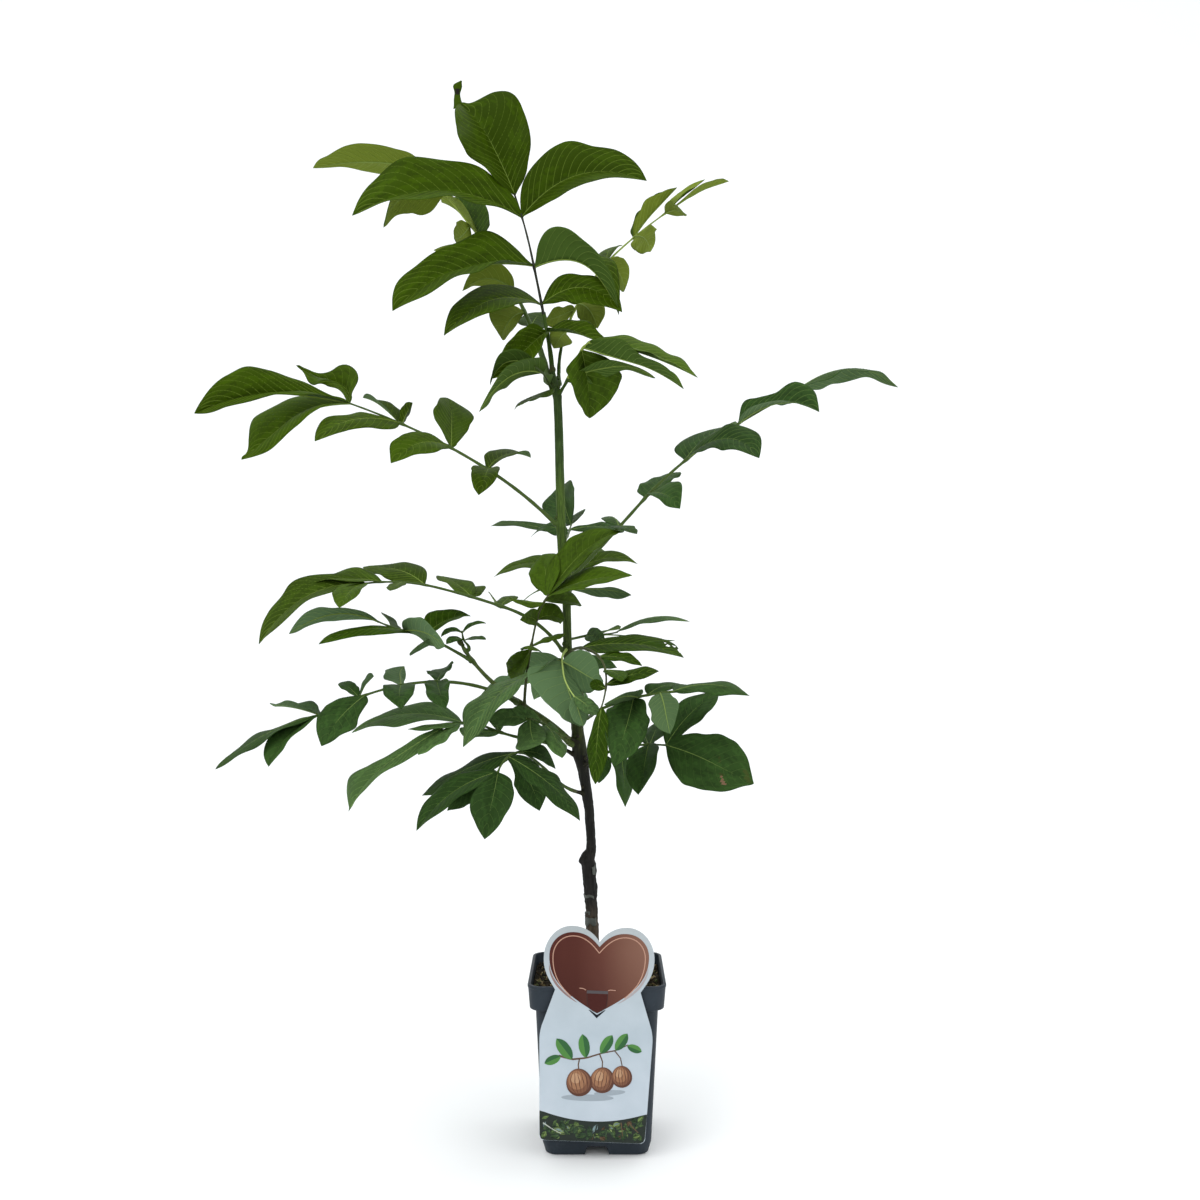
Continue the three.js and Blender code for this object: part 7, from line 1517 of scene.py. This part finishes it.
copper = material("print_copper", (104, 58, 46), 0.5, 0.1)
n, l, b = nodes_of(copper)
tc = n.new("ShaderNodeTexCoord")
sx = n.new("ShaderNodeSeparateXYZ")
l.new(tc.outputs["Object"], sx.inputs[0])
mr = n.new("ShaderNodeMapRange")
mr.inputs["From Min"].default_value = -0.048
mr.inputs["From Max"].default_value = 0.048
l.new(sx.outputs["X"], mr.inputs["Value"])
high = n.new("ShaderNodeMapRange")
high.inputs["From Min"].default_value = 0.150
high.inputs["From Max"].default_value = 0.200
l.new(sx.outputs["Z"], high.inputs["Value"])
low_copper = ramp(copper, mr.outputs[0], [(0.0, (64, 30, 25)), (0.3, (68, 33, 27)), (0.55, (80, 45, 38)), (0.8, (98, 62, 51)), (1.0, (110, 76, 62))])
high_copper = ramp(copper, mr.outputs[0], [(0.0, (74, 36, 30)), (0.3, (77, 39, 32)), (0.55, (92, 54, 45)), (0.8, (114, 79, 66)), (1.0, (124, 89, 75))])
l.new(mix_colours(copper, high.outputs[0], low_copper, high_copper), b.inputs["Base Color"])
band_mat = material("print_dark", (26, 36, 28), 0.5, 0.3)
print_mats = [copper, material("print_cream", (178, 138, 118), 0.5, 0.3), material("print_seam", (44, 20, 18), 0.6, 0.3), material("print_grey", (72, 66, 68), 0.5, 0.3), material("slot_shadow", (24, 28, 34), 0.8, 0.2), band_mat,
              material("print_rose", (132, 108, 104), 0.5, 0.3), material("print_rose_pale", (160, 152, 152), 0.5, 0.3), material("print_tongue", (66, 30, 26), 0.5, 0.1),
              material("print_leaf_a", (52, 74, 50), 0.5, 0.2), material("print_leaf_b", (72, 96, 60), 0.5, 0.2), material("print_leaf_c", (92, 116, 66), 0.5, 0.2),
              material("print_leaf_d", (122, 142, 82), 0.5, 0.2), material("print_leaf_e", (124, 146, 146), 0.5, 0.2), material("print_bark", (92, 72, 50), 0.5, 0.3), material("print_light", (172, 178, 168), 0.5, 0.3)]
print_obj = print_mesh.build("card_print", print_mats, smooth=False)

# a plain printed sprig in the middle: round fruits and pointed leaves on a curved twig, no one's design
sprig = Mesh()


def leaf_shape(cx, cz, length, width, turn, lift, mats_):
    s_ = np.linspace(0, 1, 15)
    w_ = smooth_rows(OUTLINE, s_)[:, 0] * width / 2
    up_ = np.column_stack([s_ * length, w_])
    lo_ = np.column_stack([s_ * length, -w_])
    c_, sn_ = math.cos(turn), math.sin(turn)
    rot = np.array([[c_, sn_], [-sn_, c_]])
    mid_ = np.column_stack([s_ * length, 0.0 * s_])
    for part, mt in ((np.concatenate([up_, mid_[::-1][1:-1]]), mats_[0]), (np.concatenate([lo_, mid_[::-1][1:-1]]), mats_[1])):
        fan(sprig, part @ rot + (cx, cz), F0 - 0.10 - lift, F0 + 0.1, mt)


def oval(cx, cz, rx, rz, turn, lift, mat, squeeze=0.0):
    a_ = np.linspace(0, 2 * math.pi, 36, endpoint=False)
    p = np.column_stack([np.cos(a_) * rx * (1 - squeeze * np.sin(a_)), np.sin(a_) * rz])
    c_, s_ = math.cos(turn), math.sin(turn)
    fan(sprig, p @ np.array([[c_, s_], [-s_, c_]]) + (cx, cz), F0 - 0.10 - lift, F0 + 0.1, mat)


def fruit(cx, cz, r_, turn, lift):
    """A printed round fruit: a dark rim, paler towards the upper left, with a few curved ridges."""
    oval(cx, cz, r_, r_ * 1.08, turn, lift, 2, 0.06)
    oval(cx - r_ * 0.07, cz + r_ * 0.08, r_ * 0.88, r_ * 0.95, turn, lift + 0.01, 5, 0.06)
    oval(cx - r_ * 0.16, cz + r_ * 0.18, r_ * 0.68, r_ * 0.74, turn, lift + 0.02, 3, 0.06)
    oval(cx - r_ * 0.27, cz + r_ * 0.32, r_ * 0.38, r_ * 0.4, turn, lift + 0.03, 6, 0.06)
    c_, s_ = math.cos(turn), math.sin(turn)
    for q in (-0.62, -0.3, 0.02, 0.34, 0.64):
        k_ = np.linspace(-0.86, 0.86, 11)
        x_ = q * r_ * np.sqrt(1 - k_ ** 2) + 0.02 * r_ * np.sin(9 * k_ + 7 * q)
        ln_ = np.column_stack([x_, k_ * r_ * 1.04]) @ np.array([[c_, s_], [-s_, c_]]) + (cx, cz)
        tn_ = np.gradient(ln_, axis=0)
        tn_ /= np.linalg.norm(tn_, axis=1, keepdims=True)
        nn_ = np.column_stack([-tn_[:, 1], tn_[:, 0]]) * (0.34 * (1 - np.abs(k_)) + 0.1)[:, None]
        fan(sprig, np.concatenate([ln_ + nn_, (ln_ - nn_)[::-1]]), F0 - 0.15 - lift, F0 + 0.1, 2)


def twig_line(pts_, w0, w1):
    tw_ = on_line(np.column_stack([np.array(pts_, float), np.zeros(len(pts_))]), np.linspace(0, 1, 20))[:, :2]
    tn_ = np.gradient(tw_, axis=0)
    tn_ /= np.linalg.norm(tn_, axis=1, keepdims=True)
    nn_ = np.column_stack([-tn_[:, 1], tn_[:, 0]]) * np.linspace(w0, w1, 20)[:, None] / 2
    fan(sprig, np.concatenate([tw_ + nn_, (tw_ - nn_)[::-1]]), F0 - 0.13, F0 + 0.1, 4)


oval(-6, -77.5, 25, 3.2, 0.02, 0.0, 7)
oval(15, -72, 15, 2.6, 0.1, 0.004, 7)
twig_line([(-35, -38), (-22, -41), (-8, -39), (6, -34), (19, -31), (31, -25)], 2.0, 0.9)
twig_line([(-15, -40), (-16, -46), (-15, -52)], 1.3, 1.0)
twig_line([(4, -35), (7, -42), (7, -50)], 1.2, 1.0)
twig_line([(18, -31), (24, -38), (26, -46)], 1.1, 0.9)
for cx, cz, ln, wd, tu in ((-22, -41, 25, 11.5, 2.25), (-9, -39, 23, 10.5, 1.75), (5, -34.5, 21, 10, 1.05), (19, -31, 20, 9.5, 1.0), (-33, -38.5, 17, 8.5, 3.6), (30, -26, 15, 7.5, -0.35)):
    leaf_shape(cx, cz, ln, wd, tu, 0.05, (0, 1))
fruit(7.5, -60.0, 11.6, -0.15, 0.10)
fruit(-14.5, -63.0, 12.4, 0.2, 0.16)
fruit(26.0, -56.0, 9.8, 0.1, 0.13)
sprig_mats = [material("sprig_green", (70, 122, 54), 0.5, 0.3), material("sprig_green_dark", (38, 88, 44), 0.5, 0.3), material("sprig_brown", (84, 50, 36), 0.5, 0.3), material("sprig_tan", (146, 104, 74), 0.5, 0.3),
              material("sprig_twig", (86, 64, 48), 0.5, 0.3), material("sprig_mid", (116, 76, 54), 0.5, 0.3), material("sprig_pale", (172, 134, 102), 0.5, 0.3), material("sprig_shade", (146, 156, 164), 0.5, 0.3)]
sprig_obj = sprig.build("card_sprig", sprig_mats, smooth=False)
for o in (card_obj, print_obj, sprig_obj):
    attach(o, "root")
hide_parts("label_card")

# ------------------------------------------------------------------ grafting film left on the old stem
film = Mesh()
rngf = np.random.default_rng(5)
for z0, z1, a0, a1 in ((211, 219, 2.6, 5.4), (222, 225, 2.9, 4.6), (239, 242, 2.3, 5.2), (262, 272, 5.2, 5.7)):
    zz = np.linspace(z0, z1, 8)
    aa = np.linspace(a0, a1, 26)
    ZZ, AA = np.meshgrid(zz, aa, indexing="ij")
    rw = smooth_rows(STEM, zz)
    P3 = np.stack([np.cos(AA) * 7, np.sin(AA) * 7, ZZ], -1)
    RR = rw[:, 1:2] / 2 + 0.75 + 0.35 * lumps(P3, 31, [(5, 1.0)])
    ZZ = ZZ + 1.2 * lumps(P3, 32, [(7, 1.0)])
    V1 = np.stack([rw[:, 0:1] + np.cos(AA) * RR, np.sin(AA) * RR, ZZ], -1)
    V0 = np.stack([rw[:, 0:1] + np.cos(AA) * (RR - 0.2), np.sin(AA) * (RR - 0.2), ZZ], -1)
    f = grid_faces(8, 26)
    m_ = 8 * 26
    idx = np.arange(m_).reshape(8, 26)
    loop = np.concatenate([idx[0], idx[1:, -1], idx[-1, -2::-1], idx[-2:0:-1, 0]])
    wall = np.stack([loop, m_ + loop, m_ + np.roll(loop, -1), np.roll(loop, -1)], 1)
    film.add(np.concatenate([V1.reshape(-1, 3), V0.reshape(-1, 3)]), np.concatenate([f, m_ + f[:, ::-1], wall]))
film_mat = material("graft_film", (74, 78, 72), 0.45, 0.3)
film_obj = film.build("graft_film", [film_mat])
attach(film_obj, "root")

# ------------------------------------------------------------------ floor, light
floor_mesh = Mesh()
yy = np.concatenate([[-2600], np.linspace(-1200, 1500, 4)])
prof = [(y, 0.0) for y in yy] + [(1500 + 900 * math.sin(a), 900 - 900 * math.cos(a)) for a in np.linspace(0.1, math.pi / 2, 12)] + [(2400, 2600)]
rowsf = [[(-3200, y, z - 0.2), (3200, y, z - 0.2)] for y, z in prof]
floor_mesh.add(np.array(rowsf).reshape(-1, 3), grid_faces(len(prof), 2)[:, ::-1])
floor_mat = material("floor_pale", (246, 247, 247), 0.9, 0.1)
floor = floor_mesh.build("floor", [floor_mat])

world = bpy.data.worlds.new("studio")
bpy.context.scene.world = world
world.use_nodes = True
world.node_tree.nodes["Background"].inputs["Color"].default_value = (0.96, 0.98, 1.0, 1)
world.node_tree.nodes["Background"].inputs["Strength"].default_value = 0.95


def area(name, place, aim, size, power, colour=(1, 1, 1)):
    d_ = bpy.data.lights.new(name, "AREA")
    d_.shape = "RECTANGLE"
    d_.size, d_.size_y = size
    d_.energy = power
    d_.color = colour
    o_ = bpy.data.objects.new(name, d_)
    o_.location = place
    o_.rotation_euler = (Vector(aim) - Vector(place)).to_track_quat("-Z", "Y").to_euler()
    bpy.context.scene.collection.objects.link(o_)


area("key_light", (-1.2, -1.7, 2.3), (0, 0, 0.6), (1.6, 1.6), 26)
area("top_light", (0.3, 0.3, 2.8), (0, 0, 0.6), (2.0, 2.0), 20)
area("fill_light", (1.9, -1.5, 1.2), (0, 0, 0.5), (1.4, 1.4), 9)
